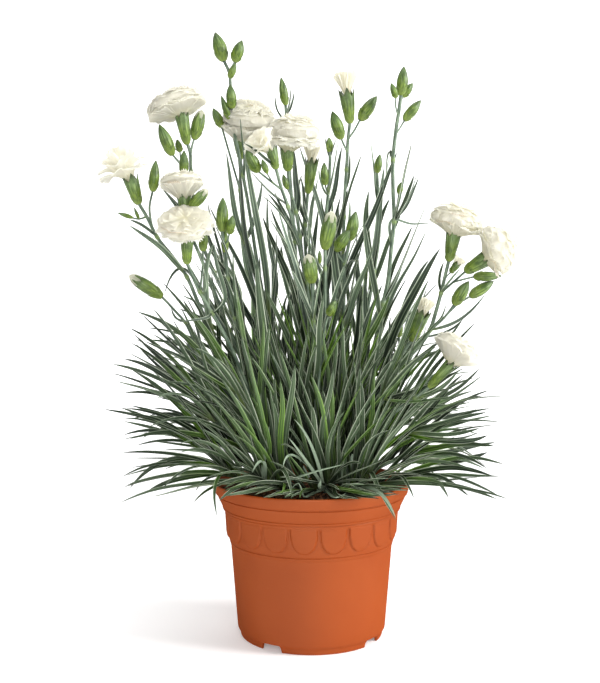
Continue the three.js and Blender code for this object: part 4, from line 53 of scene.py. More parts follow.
# ------------------------------------------------------------------ the plant's layout, in millimetres
# Stems: path and branches are centre lines from the base up; r is the radius at base and top.
# buds: [base, tip, radius, kind]; flowers: [number, calyx base, calyx mouth, calyx radius, middle, facing, radius, depth, kind];
# leaves: [[base, middle, tip], width].
STEMS = [
    dict(name="flower_stem_01", r=[1.5,1.05],
         path=[[-21.0,-6.0,101.1],[-32.7,-14.0,133.1],[-48.1,-20.0,168.2],[-61.2,-26.0,198.0],[-72.2,-30.0,222.6],[-79.6,-32.0,240.5],[-88.8,-34.0,253.8],[-97.9,-36.0,265.7],[-104.0,-37.0,278.2],[-109.1,-38.0,286.9]],
         nodes=[[-97.9,-36.0,265.7],[-79.6,-32.0,240.5],[-65.6,-27.0,203.9]],
         branches=[[[[-101.2,-36.5,272.5],[-102.9,-33.0,284.7],[-100.9,-31.0,295.5]],0.75],[[[-104.2,-37.0,278.5],[-108.6,-40.0,276.8],[-113.3,-42.0,277.7]],0.6]],
         buds=[[[-100.9,-31.0,295.1],[-99.1,-29.0,314.6],3.33,0],[[-111.9,-41.4,277.4],[-121.5,-45.0,280.6],1.41,3],[[-108.5,-39.9,276.5],[-111.4,-42.0,284.2],1.1,3]],
         flowers=[[2,[-109.0,-38.0,286.5],[-114.1,-39.0,303.0],4.7,[-118.9,-40.0,308.5],[-0.36,-0.123,0.925],16.3,9.4,2]],
         leaves=[[[[-97.4,-35.9,265.0],[-105.5,-40.0,271.8],[-114.1,-45.0,276.3]],2.8],[[[-79.4,-31.9,239.9],[-94.4,-40.0,257.5],[-114.0,-48.0,272.8]],4.1],[[[-64.2,-27.1,204.7],[-67.8,-44.0,233.7],[-61.2,-46.0,262.3]],4.7],[[[-64.0,-27.0,204.3],[-80.4,-30.0,244.9],[-94.1,-34.0,228.5]],4.1],[[[-29.0,-11.5,123.0],[-33.9,-16.0,170.5],[-39.8,-21.0,217.5]],5.2],[[[-29.0,-11.5,123.0],[-50.3,-23.9,150.9],[-70.4,-35.8,179.4]],5.0],[[[-47.5,-19.8,166.8],[-65.8,-16.1,196.5],[-84.8,-11.1,226.1]],4.3],[[[-47.5,-19.8,166.8],[-52.4,-34.9,197.2],[-56.9,-50.7,227.6]],4.7]]),
    dict(name="flower_stem_02", r=[1.5,1.05],
         path=[[-12.0,-20.0,101.0],[-27.0,-30.0,135.6],[-40.6,-40.0,170.4],[-52.1,-47.0,199.4],[-62.2,-52.0,218.4],[-69.3,-55.0,231.4],[-73.3,-57.0,240.7],[-76.9,-58.0,249.3]],
         nodes=[[-69.3,-55.0,231.4],[-62.2,-52.0,218.4]],
         branches=[[[[-69.3,-55.0,231.4],[-68.0,-51.0,246.2],[-68.0,-47.0,257.4]],0.7]],
         buds=[[[-68.0,-47.1,257.0],[-67.6,-43.0,271.1],2.95,0]],
         flowers=[[4,[-76.9,-58.0,248.9],[-76.8,-58.0,263.9],3.97,[-77.9,-58.0,273.0],[0.0,-0.6,0.8],17.1,4.9,5]],
         leaves=[[[[-68.7,-54.7,230.3],[-64.8,-57.0,237.6],[-72.0,-50.0,259.8]],2.1],[[[-61.8,-51.8,217.7],[-53.1,-58.0,226.6],[-58.2,-70.0,249.8],[-59.2,-72.0,261.1]],3.1],[[[-62.6,-52.2,219.1],[-66.5,-60.0,215.6],[-80.8,-75.0,213.9]],1.8],[[[-21.6,-26.4,123.0],[-29.4,-21.9,171.4],[-38.6,-20.0,218.5]],4.7],[[[-21.6,-26.4,123.0],[-36.1,-48.3,147.1],[-50.5,-69.2,171.4]],5.7],[[[-37.4,-37.6,162.1],[-57.7,-38.8,189.5],[-76.8,-40.9,217.0]],4.3],[[[-37.4,-37.6,162.1],[-42.4,-49.9,193.7],[-47.3,-62.3,225.3]],5.0]]),
    dict(name="flower_stem_03", r=[1.5,1.05],
         path=[[-17.0,7.0,101.2],[-30.7,4.0,137.1],[-41.8,-1.0,176.9],[-52.6,-7.0,217.2],[-64.0,-12.0,243.6],[-72.0,-16.0,264.3],[-76.0,-20.0,286.7],[-77.6,-22.0,307.6],[-78.1,-22.0,320.3],[-80.0,-22.0,326.0]],
         nodes=[[-77.6,-22.0,307.6],[-64.0,-12.0,243.6],[-52.6,-7.0,217.2]],
         branches=[[[[-78.0,-22.0,316.5],[-77.0,-20.0,324.3],[-75.6,-18.0,329.7]],0.7],[[[-76.9,-21.1,298.1],[-83.9,-23.0,312.0],[-89.3,-25.0,318.7]],0.75],[[[-79.7,-21.9,303.7],[-84.3,-19.0,315.5],[-85.0,-18.0,321.4]],0.55],[[[-76.4,-20.6,292.5],[-80.4,-26.0,298.4],[-81.5,-28.0,304.6]],0.7]],
         buds=[[[-75.7,-18.0,329.3],[-70.8,-16.0,347.8],4.18,1],[[-89.2,-24.9,318.4],[-97.1,-28.0,337.3],3.99,0],[[-84.9,-18.0,321.0],[-87.0,-17.0,329.1],2.25,0],[[-81.5,-28.0,304.2],[-81.1,-30.0,320.7],3.18,0]],
         flowers=[[1,[-80.0,-22.0,325.6],[-83.5,-24.0,345.4],4.46,[-86.4,-24.0,348.5],[-0.332,0.119,0.936],18.8,8.9,0]],
         leaves=[[[[-63.4,-11.8,242.3],[-59.3,-4.0,250.2],[-68.2,2.0,284.6],[-69.5,3.0,290.6]],2.0],[[[-52.6,-7.0,217.2],[-62.1,-20.0,239.7],[-75.2,-30.0,260.8]],2.9],[[[-52.6,-7.0,217.2],[-49.2,4.0,234.8],[-68.6,14.0,259.7]],3.3],[[[-25.3,5.2,123.0],[-40.7,18.7,168.5],[-55.9,34.8,214.2]],4.2],[[[-25.3,5.2,123.0],[-35.3,-7.5,152.3],[-45.5,-19.4,181.7]],4.8],[[[-36.3,1.5,157.4],[-56.8,-1.3,183.2],[-78.3,-3.9,208.8]],4.2],[[[-36.3,1.5,157.4],[-35.6,-0.9,192.0],[-35.4,-3.3,226.6]],5.2],[[[-48.3,-4.6,201.1],[-52.8,-23.6,232.5],[-57.7,-41.3,264.0]],5.3],[[[-48.3,-4.6,201.1],[-60.7,3.2,240.1],[-73.2,10.9,279.1]],5.0]]),
    dict(name="flower_stem_04", r=[1.5,1.05],
         path=[[-9.0,-4.0,101.5],[-31.3,-18.0,144.3],[-42.0,-25.0,177.8],[-53.1,-31.0,206.7],[-62.8,-36.0,233.6],[-70.0,-39.0,252.5],[-76.6,-41.0,268.7],[-79.6,-42.0,278.0]],
         nodes=[[-76.6,-41.0,268.7],[-53.1,-31.0,206.7]],
         branches=[[[[-76.6,-41.0,268.7],[-75.2,-45.0,277.2],[-75.3,-47.0,283.9]],0.7]],
         buds=[[[-75.6,-46.9,283.6],[-64.5,-49.0,294.9],3.56,1]],
         flowers=[[3,[-79.5,-42.0,277.6],[-80.1,-42.0,291.0],4.37,[-81.6,-42.0,299.7],[-0.101,0.06,0.993],13.4,5.6,6]],
         leaves=[[[[-78.6,-41.7,274.8],[-84.6,-36.0,283.9],[-95.7,-32.0,297.3]],3.5],[[[-53.1,-31.0,206.7],[-60.8,-46.0,226.3],[-61.7,-50.0,235.7]],3.1],[[[-78.4,-41.6,274.3],[-84.8,-45.0,284.7],[-92.2,-50.0,294.2]],2.2],[[[-20.2,-11.0,123.0],[-52.1,-15.6,161.8],[-84.6,-19.8,200.4]],5.3],[[[-20.2,-11.0,123.0],[-23.1,-27.2,150.3],[-26.2,-43.1,177.5]],5.5],[[[-33.9,-19.7,152.6],[-52.4,-33.9,174.8],[-69.7,-47.0,197.6]],5.8],[[[-33.9,-19.7,152.6],[-34.1,-19.6,187.9],[-35.1,-20.0,222.8]],5.5],[[[-46.6,-27.5,189.8],[-47.9,-46.1,223.6],[-48.4,-65.7,257.6]],4.7],[[[-46.6,-27.5,189.8],[-65.0,-25.7,221.1],[-82.1,-25.7,252.5]],4.3]]),
    dict(name="flower_stem_05", r=[1.5,1.05],
         path=[[-5.0,13.0,101.4],[-17.3,18.0,135.0],[-24.2,22.0,174.7],[-29.8,25.0,209.0],[-33.9,27.0,231.0],[-38.1,29.0,255.2],[-42.2,31.0,282.7],[-47.1,33.0,310.3],[-50.5,34.0,327.5],[-54.0,35.0,344.7],[-55.4,36.0,358.5],[-55.7,37.0,372.3],[-56.8,38.0,381.4],[-60.5,38.0,389.5]],
         nodes=[[-29.8,25.0,209.7],[-47.1,33.0,310.3],[-55.4,36.0,357.2]],
         branches=[[[[-56.3,37.5,377.2],[-54.6,36.0,384.4],[-52.4,35.0,388.3]],0.65],[[[-54.9,35.7,353.8],[-54.1,32.0,355.2],[-54.4,31.0,356.4]],0.8],[[[-53.3,34.8,341.3],[-55.2,33.0,346.5],[-56.5,32.0,349.1]],0.6]],
         buds=[[[-60.4,38.0,389.2],[-66.3,38.0,408.6],4.83,0],[[-52.6,35.0,387.9],[-47.5,34.0,402.3],4.13,0],[[-56.3,37.5,377.3],[-51.8,36.0,387.8],2.59,4],[[-54.3,31.2,355.9],[-55.6,30.0,371.9],3.6,0],[[-56.4,32.0,348.7],[-61.8,30.0,364.4],2.41,3]],
         flowers=[],
         leaves=[[[[-29.8,25.0,209.0],[-44.5,34.0,265.6],[-52.3,42.0,336.7]],6.6],[[[-29.8,25.0,209.0],[-33.5,16.0,258.4],[-42.7,14.0,312.1],[-46.0,14.0,330.7]],5.8],[[[-46.7,32.9,308.3],[-46.7,26.0,326.7],[-48.5,24.0,348.0]],3.1],[[[-29.8,25.0,209.0],[-25.0,30.0,231.0],[-28.7,38.0,258.7],[-30.8,42.0,298.6]],3.1],[[[-12.9,16.2,123.0],[-48.5,27.3,159.0],[-82.8,38.1,195.4]],4.8],[[[-12.9,16.2,123.0],[-15.5,18.5,175.1],[-18.3,20.8,227.1]],4.5],[[[-22.2,20.8,162.9],[-31.9,11.5,214.2],[-41.6,1.0,265.7]],5.7],[[[-22.2,20.8,162.9],[-26.5,38.8,193.5],[-30.9,55.0,224.3]],5.7],[[[-27.3,23.6,193.5],[-24.6,23.6,233.2],[-24.0,24.4,272.5]],4.2],[[[-27.3,23.6,193.5],[-48.4,29.3,242.2],[-71.4,35.0,290.6]],5.3]]),
    dict(name="flower_stem_06", r=[1.5,1.05],
         path=[[-15.0,-15.0,101.1],[-30.8,-30.0,160.2],[-41.5,-33.0,190.8],[-49.0,-35.0,214.5],[-52.6,-37.0,233.6],[-53.7,-38.0,244.9],[-54.9,-38.0,257.5],[-56.2,-38.0,265.0],[-56.8,-38.0,270.0]],
         nodes=[[-49.0,-35.0,214.5],[-53.1,-38.0,240.5]],
         branches=[[[[-55.4,-38.0,260.7],[-52.9,-40.0,263.7],[-51.9,-41.0,268.1]],0.6]],
         buds=[[[-56.8,-38.0,269.6],[-56.2,-36.0,290.8],3.93,0],[[-51.9,-41.0,267.7],[-49.6,-42.0,279.2],2.82,0],[[-54.8,-38.1,256.3],[-55.1,-34.0,270.8],2.37,4]],
         flowers=[],
         leaves=[[[[-44.4,-33.8,200.0],[-47.7,-44.0,237.5],[-61.4,-50.0,274.6]],4.7],[[[-49.0,-35.0,214.5],[-50.1,-46.0,228.8],[-55.9,-52.0,241.9],[-60.0,-56.0,235.8]],2.5],[[[-53.3,-37.6,240.5],[-60.0,-30.0,250.0],[-66.8,-24.0,259.7]],3.2],[[[-20.9,-20.6,123.0],[-50.8,-32.2,164.4],[-77.3,-43.9,206.6]],4.3],[[[-20.9,-20.6,123.0],[-13.0,-27.0,172.6],[-4.8,-33.4,222.3]],5.2],[[[-30.3,-29.5,158.2],[-30.8,-53.0,204.8],[-33.6,-74.2,251.3]],5.7],[[[-30.3,-29.5,158.2],[-42.2,-28.7,191.9],[-53.4,-30.2,225.2]],4.3]]),
    dict(name="flower_stem_07", r=[1.5,1.05],
         path=[[-2.0,21.0,101.1],[-21.6,26.0,139.4],[-30.7,32.0,187.7],[-37.8,36.0,223.9],[-42.7,39.0,244.8],[-46.3,41.0,263.7],[-48.4,43.0,283.3],[-49.8,44.0,300.8],[-49.1,45.0,323.1]],
         nodes=[[-46.3,41.0,263.7],[-49.8,44.0,300.8]],
         branches=[[[[-49.8,44.0,300.8],[-57.1,40.0,326.8],[-62.1,38.0,344.4]],0.75]],
         buds=[[[-62.0,38.1,344.1],[-67.8,36.0,356.5],3.29,0]],
         flowers=[[5,[-49.0,45.0,322.7],[-50.4,45.0,337.0],4.2,[-44.0,44.0,348.0],[0.122,-0.305,0.945],18.2,11.2,1]],
         leaves=[[[[-46.3,41.0,263.7],[-54.2,46.0,290.4],[-59.9,50.0,329.2]],4.2],[[[-37.8,36.0,223.9],[-46.7,50.0,250.4],[-51.2,56.0,276.8]],4.3],[[[-46.3,41.0,263.7],[-38.7,47.0,283.5],[-34.6,52.0,308.4]],3.2],[[[-13.2,23.9,123.0],[-44.6,18.0,165.2],[-77.6,10.1,206.9]],5.4],[[[-13.2,23.9,123.0],[-22.5,37.8,168.5],[-31.2,52.2,214.1]],4.3],[[[-24.2,27.7,153.5],[-16.0,26.4,204.0],[-7.3,24.8,254.7]],5.7],[[[-24.2,27.7,153.5],[-39.4,39.7,184.2],[-52.3,49.6,215.5]],4.6],[[[-30.4,31.8,186.0],[-27.2,42.9,227.5],[-26.7,52.5,268.7]],4.8],[[[-30.4,31.8,186.0],[-49.6,25.4,224.3],[-66.2,21.6,262.9]],5.6]]),
    dict(name="flower_stem_08", r=[1.5,1.05],
         path=[[2.0,-5.0,101.6],[-4.4,-4.0,143.6],[-2.4,-2.0,183.7],[-2.4,0.0,216.9],[-5.7,2.0,248.9],[-7.7,3.0,266.8],[-10.4,3.0,283.4],[-14.3,1.0,297.8],[-15.6,-1.0,310.7]],
         nodes=[[-10.4,3.0,283.4],[-7.7,3.0,266.8]],
         branches=[[[[-12.5,1.9,291.2],[-15.0,-3.0,296.2],[-16.3,-4.0,298.7]],0.5]],
         buds=[[[-15.9,-3.8,297.9],[-18.9,-5.0,307.8],2.14,0]],
         flowers=[[7,[-15.6,-1.0,310.3],[-16.3,-2.0,324.4],4.61,[-12.0,-2.0,332.8],[0.052,-0.124,0.991],16.8,11.2,1]],
         leaves=[[[[-10.3,3.0,282.7],[-10.4,10.0,298.4],[-11.7,12.0,325.2]],5.4],[[[-7.6,3.0,266.2],[-19.1,12.0,283.8],[-24.6,16.0,297.5]],3.4],[[[-2.4,0.0,216.9],[-14.4,8.0,250.2],[-28.0,14.0,288.0]],4.0],[[[-1.2,-4.5,123.0],[-13.5,-25.3,171.6],[-25.8,-46.8,220.2]],4.9],[[[-1.2,-4.5,123.0],[-4.2,15.8,165.2],[-6.9,37.2,207.3]],5.0],[[[-3.4,-3.0,163.7],[19.6,2.0,208.3],[38.9,6.4,253.0]],5.6],[[[-3.4,-3.0,163.7],[-16.1,-0.4,198.1],[-30.9,2.2,232.6]],4.8],[[[-2.4,-0.7,204.7],[1.3,15.4,246.3],[5.0,31.4,287.9]],4.2],[[[-2.4,-0.7,204.7],[-1.8,-11.4,241.2],[-1.3,-22.5,277.7]],5.0]]),
    dict(name="flower_stem_09", r=[1.5,1.05],
         path=[[6.0,-13.0,101.4],[-2.5,-18.0,139.0],[0.1,-22.0,178.8],[-0.6,-25.0,211.5],[-4.5,-28.0,240.5],[-9.6,-30.0,265.9],[-15.3,-30.0,284.9],[-19.8,-29.0,297.6],[-23.0,-28.0,309.6]],
         nodes=[[-15.3,-30.0,284.9],[-3.9,-28.0,236.6]],
         branches=[[[[-19.1,-29.1,295.7],[-27.3,-31.0,301.8],[-34.3,-32.0,307.4]],0.7],[[[-24.7,-30.4,299.8],[-27.2,-34.0,303.5],[-28.5,-35.0,305.9]],0.5]],
         buds=[[[-34.1,-31.9,307.0],[-41.6,-35.0,320.2],3.95,0],[[-28.3,-35.0,305.5],[-31.6,-36.0,314.5],2.05,0]],
         flowers=[[6,[-22.9,-28.0,309.2],[-26.1,-28.0,322.2],3.81,[-33.0,-30.0,325.8],[-0.6,-0.58,0.55],10.8,7.0,3]],
         leaves=[[[[-15.9,-29.9,286.4],[-27.8,-38.0,295.0],[-38.9,-42.0,307.1]],2.8],[[[-8.5,-29.5,260.1],[-19.0,-40.0,278.7],[-31.9,-46.0,291.4]],2.8],[[[-3.2,-27.0,230.8],[-15.2,-42.0,257.4],[-26.8,-50.0,277.0]],4.4],[[[-23.0,-28.0,309.6],[-34.1,-34.0,318.4],[-42.8,-37.0,324.3]],2.8],[[[1.1,-15.9,123.1],[-1.8,-30.4,151.8],[-4.9,-44.0,180.7]],4.4],[[[1.1,-15.9,123.1],[-18.0,-11.3,163.1],[-38.2,-5.6,203.1]],5.7],[[[-1.2,-20.0,159.0],[12.9,-19.4,205.6],[27.1,-18.7,252.2]],5.6],[[[-1.2,-20.0,159.0],[-7.5,-26.4,194.6],[-15.2,-33.2,230.2]],5.1],[[[-0.2,-23.3,193.4],[-9.7,-14.1,238.0],[-16.9,-8.5,282.2]],5.3],[[[-0.2,-23.3,193.4],[1.0,-35.7,223.7],[1.9,-46.5,254.0]],4.3]]),
    dict(name="flower_stem_10", r=[1.5,1.05],
         path=[[8.0,8.0,101.5],[3.2,12.0,141.4],[3.2,14.0,182.3],[0.5,16.0,216.3],[-2.9,17.0,246.9],[-4.3,18.0,265.2],[-3.6,18.0,282.1],[-2.3,18.0,297.6]],
         nodes=[[-4.3,18.0,276.0],[-1.6,17.0,234.6]],
         branches=[],
         buds=[],
         flowers=[[8,[-2.3,18.0,297.2],[0.4,17.0,319.0],4.39,[0.4,17.0,324.4],[0.1,-0.05,0.994],5.4,11.5,4]],
         leaves=[[[[-3.8,18.0,277.4],[-9.7,13.0,294.6],[-5.7,12.0,309.2]],5.7],[[[-3.8,17.6,258.4],[-0.2,24.0,282.4],[4.6,27.0,307.8]],3.1],[[[0.5,16.0,216.3],[7.5,26.0,232.4],[11.0,32.0,251.7]],4.1],[[[5.4,10.2,123.1],[10.3,10.6,155.7],[13.0,11.6,188.0]],5.5],[[[5.4,10.2,123.1],[-15.0,22.6,158.9],[-37.0,35.9,194.5]],4.8],[[[3.2,12.6,154.3],[8.9,28.1,199.1],[12.9,40.0,244.1]],5.6],[[[3.2,12.6,154.3],[-2.3,4.2,190.1],[-8.1,-4.9,226.0]],5.3],[[[2.0,14.9,197.1],[-16.5,26.4,240.1],[-34.2,37.5,283.1]],4.8],[[[2.0,14.9,197.1],[9.9,12.8,246.2],[20.0,9.7,295.5]],5.3]]),
    dict(name="flower_stem_11", r=[1.5,1.05],
         path=[[3.0,-23.0,101.0],[2.5,-36.0,141.7],[2.4,-40.0,174.2],[1.1,-43.0,206.1],[0.4,-44.0,225.0],[-0.2,-45.0,237.5]],
         nodes=[[1.1,-43.0,212.4]],
         branches=[],
         buds=[[[-0.1,-45.0,237.1],[-2.7,-46.0,254.9],4.53,1]],
         flowers=[],
         leaves=[[[[0.9,-43.3,212.3],[3.4,-52.0,231.4],[5.8,-56.0,246.2]],3.1],[[[0.9,-43.3,212.3],[-6.5,-48.0,229.4],[-13.3,-52.0,246.2]],3.7],[[[2.7,-30.0,123.1],[16.6,-39.5,152.8],[32.1,-49.0,182.6]],5.0],[[[2.7,-30.0,123.1],[-10.7,-43.2,159.4],[-26.3,-56.5,195.6]],5.5],[[[2.5,-38.8,164.6],[0.4,-28.0,210.1],[-1.6,-17.7,255.6]],5.5],[[[2.5,-38.8,164.6],[4.3,-56.9,197.6],[6.2,-75.1,230.6]],5.6]]),
    dict(name="flower_stem_12", r=[1.5,1.05],
         path=[[10.0,-17.0,101.2],[3.9,-28.0,140.5],[5.8,-31.0,173.3],[7.6,-33.0,205.5],[8.2,-34.0,231.0],[8.1,-35.0,248.7],[8.1,-35.0,258.8]],
         nodes=[[8.1,-35.0,246.2],[7.6,-33.0,206.8]],
         branches=[[[[8.1,-34.8,244.9],[6.2,-36.0,246.8],[4.9,-37.0,249.3]],0.45]],
         buds=[[[8.0,-35.0,258.4],[12.5,-35.0,282.1],4.9,1],[[4.9,-37.0,248.9],[4.6,-37.0,257.5],1.42,0]],
         flowers=[],
         leaves=[[[[8.1,-34.9,246.2],[12.8,-26.0,259.0],[16.0,-24.0,278.2]],3.2],[[[7.6,-33.0,206.8],[13.5,-46.0,226.3],[20.8,-50.0,249.9]],4.4],[[[7.6,-33.0,206.8],[1.3,-26.0,225.7],[0.1,-20.0,250.1]],3.2],[[[6.6,-23.1,123.1],[13.2,-28.7,156.8],[20.1,-34.1,190.7]],4.5],[[[6.6,-23.1,123.1],[-14.2,-37.3,153.2],[-31.5,-50.4,184.2]],4.6],[[[5.0,-29.8,159.9],[-7.2,-22.7,203.6],[-15.9,-18.3,246.8]],5.5],[[[5.0,-29.8,159.9],[11.1,-40.5,195.4],[16.8,-50.7,231.1]],4.2],[[[6.7,-32.0,189.6],[-8.3,-46.7,236.7],[-21.6,-60.2,283.8]],5.3],[[[6.7,-32.0,189.6],[20.8,-24.7,226.0],[32.7,-19.1,262.3]],5.6]]),
    dict(name="flower_stem_13", r=[1.5,1.05],
         path=[[11.0,1.0,101.5],[7.8,4.0,142.5],[10.5,6.0,183.0],[11.2,8.0,223.3],[9.1,9.0,256.9],[9.8,10.0,280.4],[11.7,10.0,301.7],[12.4,10.0,317.0],[12.4,10.0,325.0]],
         nodes=[[11.8,10.0,298.4],[9.8,10.0,280.4]],
         branches=[[[[11.2,10.0,295.8],[9.7,7.0,298.9],[9.0,6.0,302.1]],0.55]],
         buds=[[[12.4,10.0,323.9],[11.7,10.0,333.6],2.51,0],[[9.0,6.0,301.7],[8.3,5.0,316.5],2.83,0]],
         flowers=[],
         leaves=[[[[12.4,10.0,319.7],[10.4,12.0,326.5],[9.1,13.0,333.9]],1.7],[[[12.4,10.0,319.7],[14.3,8.0,325.4],[16.3,7.0,331.9]],1.7],[[[11.1,10.0,294.4],[6.4,13.0,302.6],[5.1,14.0,314.1]],1.9],[[[9.7,9.9,278.4],[16.0,16.0,302.2],[20.7,18.0,328.5]],3.7],[[[9.7,9.9,278.4],[6.9,2.0,287.9],[6.2,0.0,293.8]],2.3],[[[11.1,10.0,294.4],[14.9,4.0,311.2],[17.5,3.0,330.8]],2.0],[[[9.3,2.6,123.1],[9.8,14.4,156.6],[10.0,25.2,190.1]],5.6],[[[9.3,2.6,123.1],[1.4,-5.7,158.4],[-5.2,-11.1,193.6]],5.3],[[[8.7,4.6,155.1],[1.6,9.9,198.6],[-4.6,14.8,242.0]],5.4],[[[8.7,4.6,155.1],[20.4,0.5,191.2],[31.0,-2.9,227.4]],4.5],[[[10.7,6.5,193.3],[2.7,1.1,244.9],[-6.5,-5.3,296.6]],4.8],[[[10.7,6.5,193.3],[19.6,16.5,224.9],[29.2,27.2,256.5]],5.0],[[[10.9,8.1,227.9],[17.3,3.7,263.6],[24.1,-0.9,299.3]],4.5],[[[10.9,8.1,227.9],[-0.3,15.0,257.7],[-10.5,21.1,287.7]],4.5]]),
    dict(name="flower_stem_14", r=[1.5,1.05],
         path=[[15.0,9.0,101.3],[16.9,14.0,141.1],[20.4,18.0,188.8],[21.0,20.0,223.0],[21.7,22.0,257.1],[22.4,23.0,281.0],[23.1,24.0,299.4],[24.4,25.0,319.8],[25.0,25.0,333.3],[26.4,25.0,345.5]],
         nodes=[[23.7,24.5,314.3],[22.4,23.0,282.3]],
         branches=[[[[24.7,25.0,325.2],[21.9,23.0,330.4],[20.2,22.0,334.3]],0.7],[[[25.1,25.0,334.0],[29.2,27.0,339.7],[33.7,29.0,348.0]],0.7]],
         buds=[[[20.3,22.0,334.0],[14.0,20.0,352.2],4.25,0],[[33.5,28.9,347.7],[45.2,32.0,364.1],4.28,0]],
         flowers=[[9,[26.4,25.0,345.1],[23.9,25.0,365.7],5.1,[23.6,25.0,371.0],[-0.05,-0.02,0.999],7.5,17.7,4]],
         leaves=[[[[23.0,23.9,298.0],[20.6,30.0,282.7],[13.1,34.0,267.0]],2.8],[[[22.4,23.1,282.3],[28.2,18.0,305.7],[34.1,16.0,322.9]],2.0],[[[23.0,23.9,298.0],[26.0,30.0,310.1],[26.8,32.0,326.0]],2.1],[[[21.7,21.9,255.1],[25.4,14.0,273.2],[25.9,12.0,292.5]],4.1],[[[16.1,11.7,123.1],[14.2,30.6,154.5],[12.9,47.1,186.2]],5.1],[[[16.1,11.7,123.1],[16.5,0.7,156.8],[17.1,-7.7,190.2]],4.4],[[[18.7,16.0,165.4],[9.7,16.8,207.9],[-1.5,17.1,250.5]],5.4],[[[18.7,16.0,165.4],[34.8,19.8,200.4],[49.0,23.4,235.5]],4.7],[[[20.5,18.5,197.0],[21.7,12.3,228.2],[22.7,8.0,259.4]],4.3],[[[20.5,18.5,197.0],[20.0,37.1,245.0],[19.6,53.9,293.0]],4.3],[[[21.3,20.6,233.9],[40.4,24.3,280.4],[59.5,28.0,326.9]],4.4],[[[21.3,20.6,233.9],[6.0,23.3,282.5],[-8.6,25.9,331.1]],4.3]]),
    dict(name="flower_stem_15", r=[1.5,1.05],
         path=[[13.0,-9.0,101.3],[12.8,-12.0,138.1],[17.2,-15.0,171.6],[20.3,-17.0,204.6],[20.9,-18.0,230.6],[21.5,-18.0,248.8],[23.4,-18.0,259.1],[24.7,-18.0,264.9]],
         nodes=[[21.5,-18.0,247.5],[20.3,-17.0,212.4]],
         branches=[[[[21.5,-18.0,248.8],[17.4,-22.0,253.9],[15.4,-24.0,257.7]],0.7]],
         buds=[[[24.6,-18.0,264.5],[28.5,-18.0,283.0],4.05,0],[[15.2,-23.9,257.4],[24.3,-26.0,270.5],4.02,0]],
         flowers=[],
         leaves=[[[[21.3,-18.0,244.9],[26.3,-25.0,260.9],[33.6,-30.0,275.4]],1.9],[[[21.2,-18.0,241.7],[29.0,-10.0,250.1],[32.7,-4.0,225.0]],2.3],[[[20.5,-17.3,212.4],[25.6,-28.0,232.1],[29.0,-34.0,256.3]],3.2],[[[20.5,-17.3,212.4],[14.7,-8.0,237.0],[17.4,-4.0,269.9]],3.9],[[[12.9,-10.8,123.1],[4.1,-3.9,158.7],[-5.9,4.3,194.5]],4.6],[[[12.9,-10.8,123.1],[21.1,-20.4,154.0],[27.5,-28.5,185.0]],5.0],[[[15.8,-14.0,160.7],[9.1,-25.1,201.1],[3.7,-35.5,241.5]],5.4],[[[15.8,-14.0,160.7],[34.9,-10.1,194.6],[51.7,-7.4,228.8]],4.9],[[[20.0,-16.8,200.7],[29.9,-24.9,231.7],[40.0,-33.2,262.7]],5.3],[[[20.0,-16.8,200.7],[15.2,-11.1,246.2],[13.5,-8.4,291.2]],5.3]]),
    dict(name="flower_stem_16", r=[1.5,1.05],
         path=[[18.0,15.0,101.0],[24.1,21.0,140.1],[31.8,27.0,181.2],[39.0,33.0,215.6],[44.0,37.0,243.4],[47.5,39.0,267.8],[47.9,40.0,285.2],[46.8,41.0,300.6],[46.0,41.0,313.1]],
         nodes=[[47.9,40.0,285.9],[44.0,37.0,243.4]],
         branches=[],
         buds=[[[46.0,41.0,312.7],[48.1,41.0,325.5],2.79,0]],
         flowers=[],
         leaves=[[[[47.9,40.0,285.3],[44.1,43.0,309.1],[42.0,45.0,335.6]],2.5],[[[47.8,40.0,285.9],[50.6,36.0,303.7],[55.2,34.0,328.9]],2.9],[[[44.0,37.0,243.4],[38.6,42.0,269.3],[40.8,46.0,300.9]],5.3],[[[43.0,36.2,238.0],[46.2,30.0,268.9],[54.2,28.0,294.2]],5.5],[[[21.4,18.4,123.1],[16.6,24.7,160.2],[11.4,31.1,197.4]],5.7],[[[21.4,18.4,123.1],[52.0,24.1,167.6],[79.4,30.1,212.7]],5.7],[[[27.1,23.3,156.0],[30.8,13.6,196.2],[34.3,2.3,236.7]],5.3],[[[27.1,23.3,156.0],[36.7,38.5,190.7],[45.5,50.5,226.0]],5.2],[[[33.5,28.4,189.5],[50.1,30.4,220.4],[64.2,33.3,251.7]],4.8],[[[33.5,28.4,189.5],[33.1,38.7,228.9],[32.5,48.9,268.4]],4.7],[[[41.8,35.2,231.0],[53.6,47.4,258.8],[65.0,59.0,286.8]],4.3],[[[41.8,35.2,231.0],[46.0,29.8,273.4],[49.9,23.0,316.0]],5.4]]),
    dict(name="flower_stem_17", r=[1.6,1.2],
         path=[[22.0,4.0,101.1],[30.3,8.0,141.9],[39.1,10.0,175.8],[45.9,12.0,202.9],[48.6,13.0,221.2],[52.0,14.0,238.1],[54.0,15.0,258.4],[56.0,16.0,277.3],[55.3,17.0,298.9],[55.2,18.0,319.1],[57.2,19.0,339.3],[59.3,20.0,352.9],[60.6,20.0,363.5]],
         nodes=[[56.0,16.0,277.3],[48.6,13.0,221.2],[55.2,18.0,319.1]],
         branches=[[[[58.7,19.7,348.7],[56.6,17.0,355.8],[56.9,16.0,360.9]],0.55],[[[59.8,20.0,356.9],[61.4,22.0,360.5],[62.2,23.0,362.7]],0.5],[[[56.9,18.8,336.1],[60.5,21.0,341.6],[63.7,23.0,346.9]],0.6],[[[56.0,16.0,277.3],[57.7,13.0,287.2],[58.8,11.0,295.8]],0.7]],
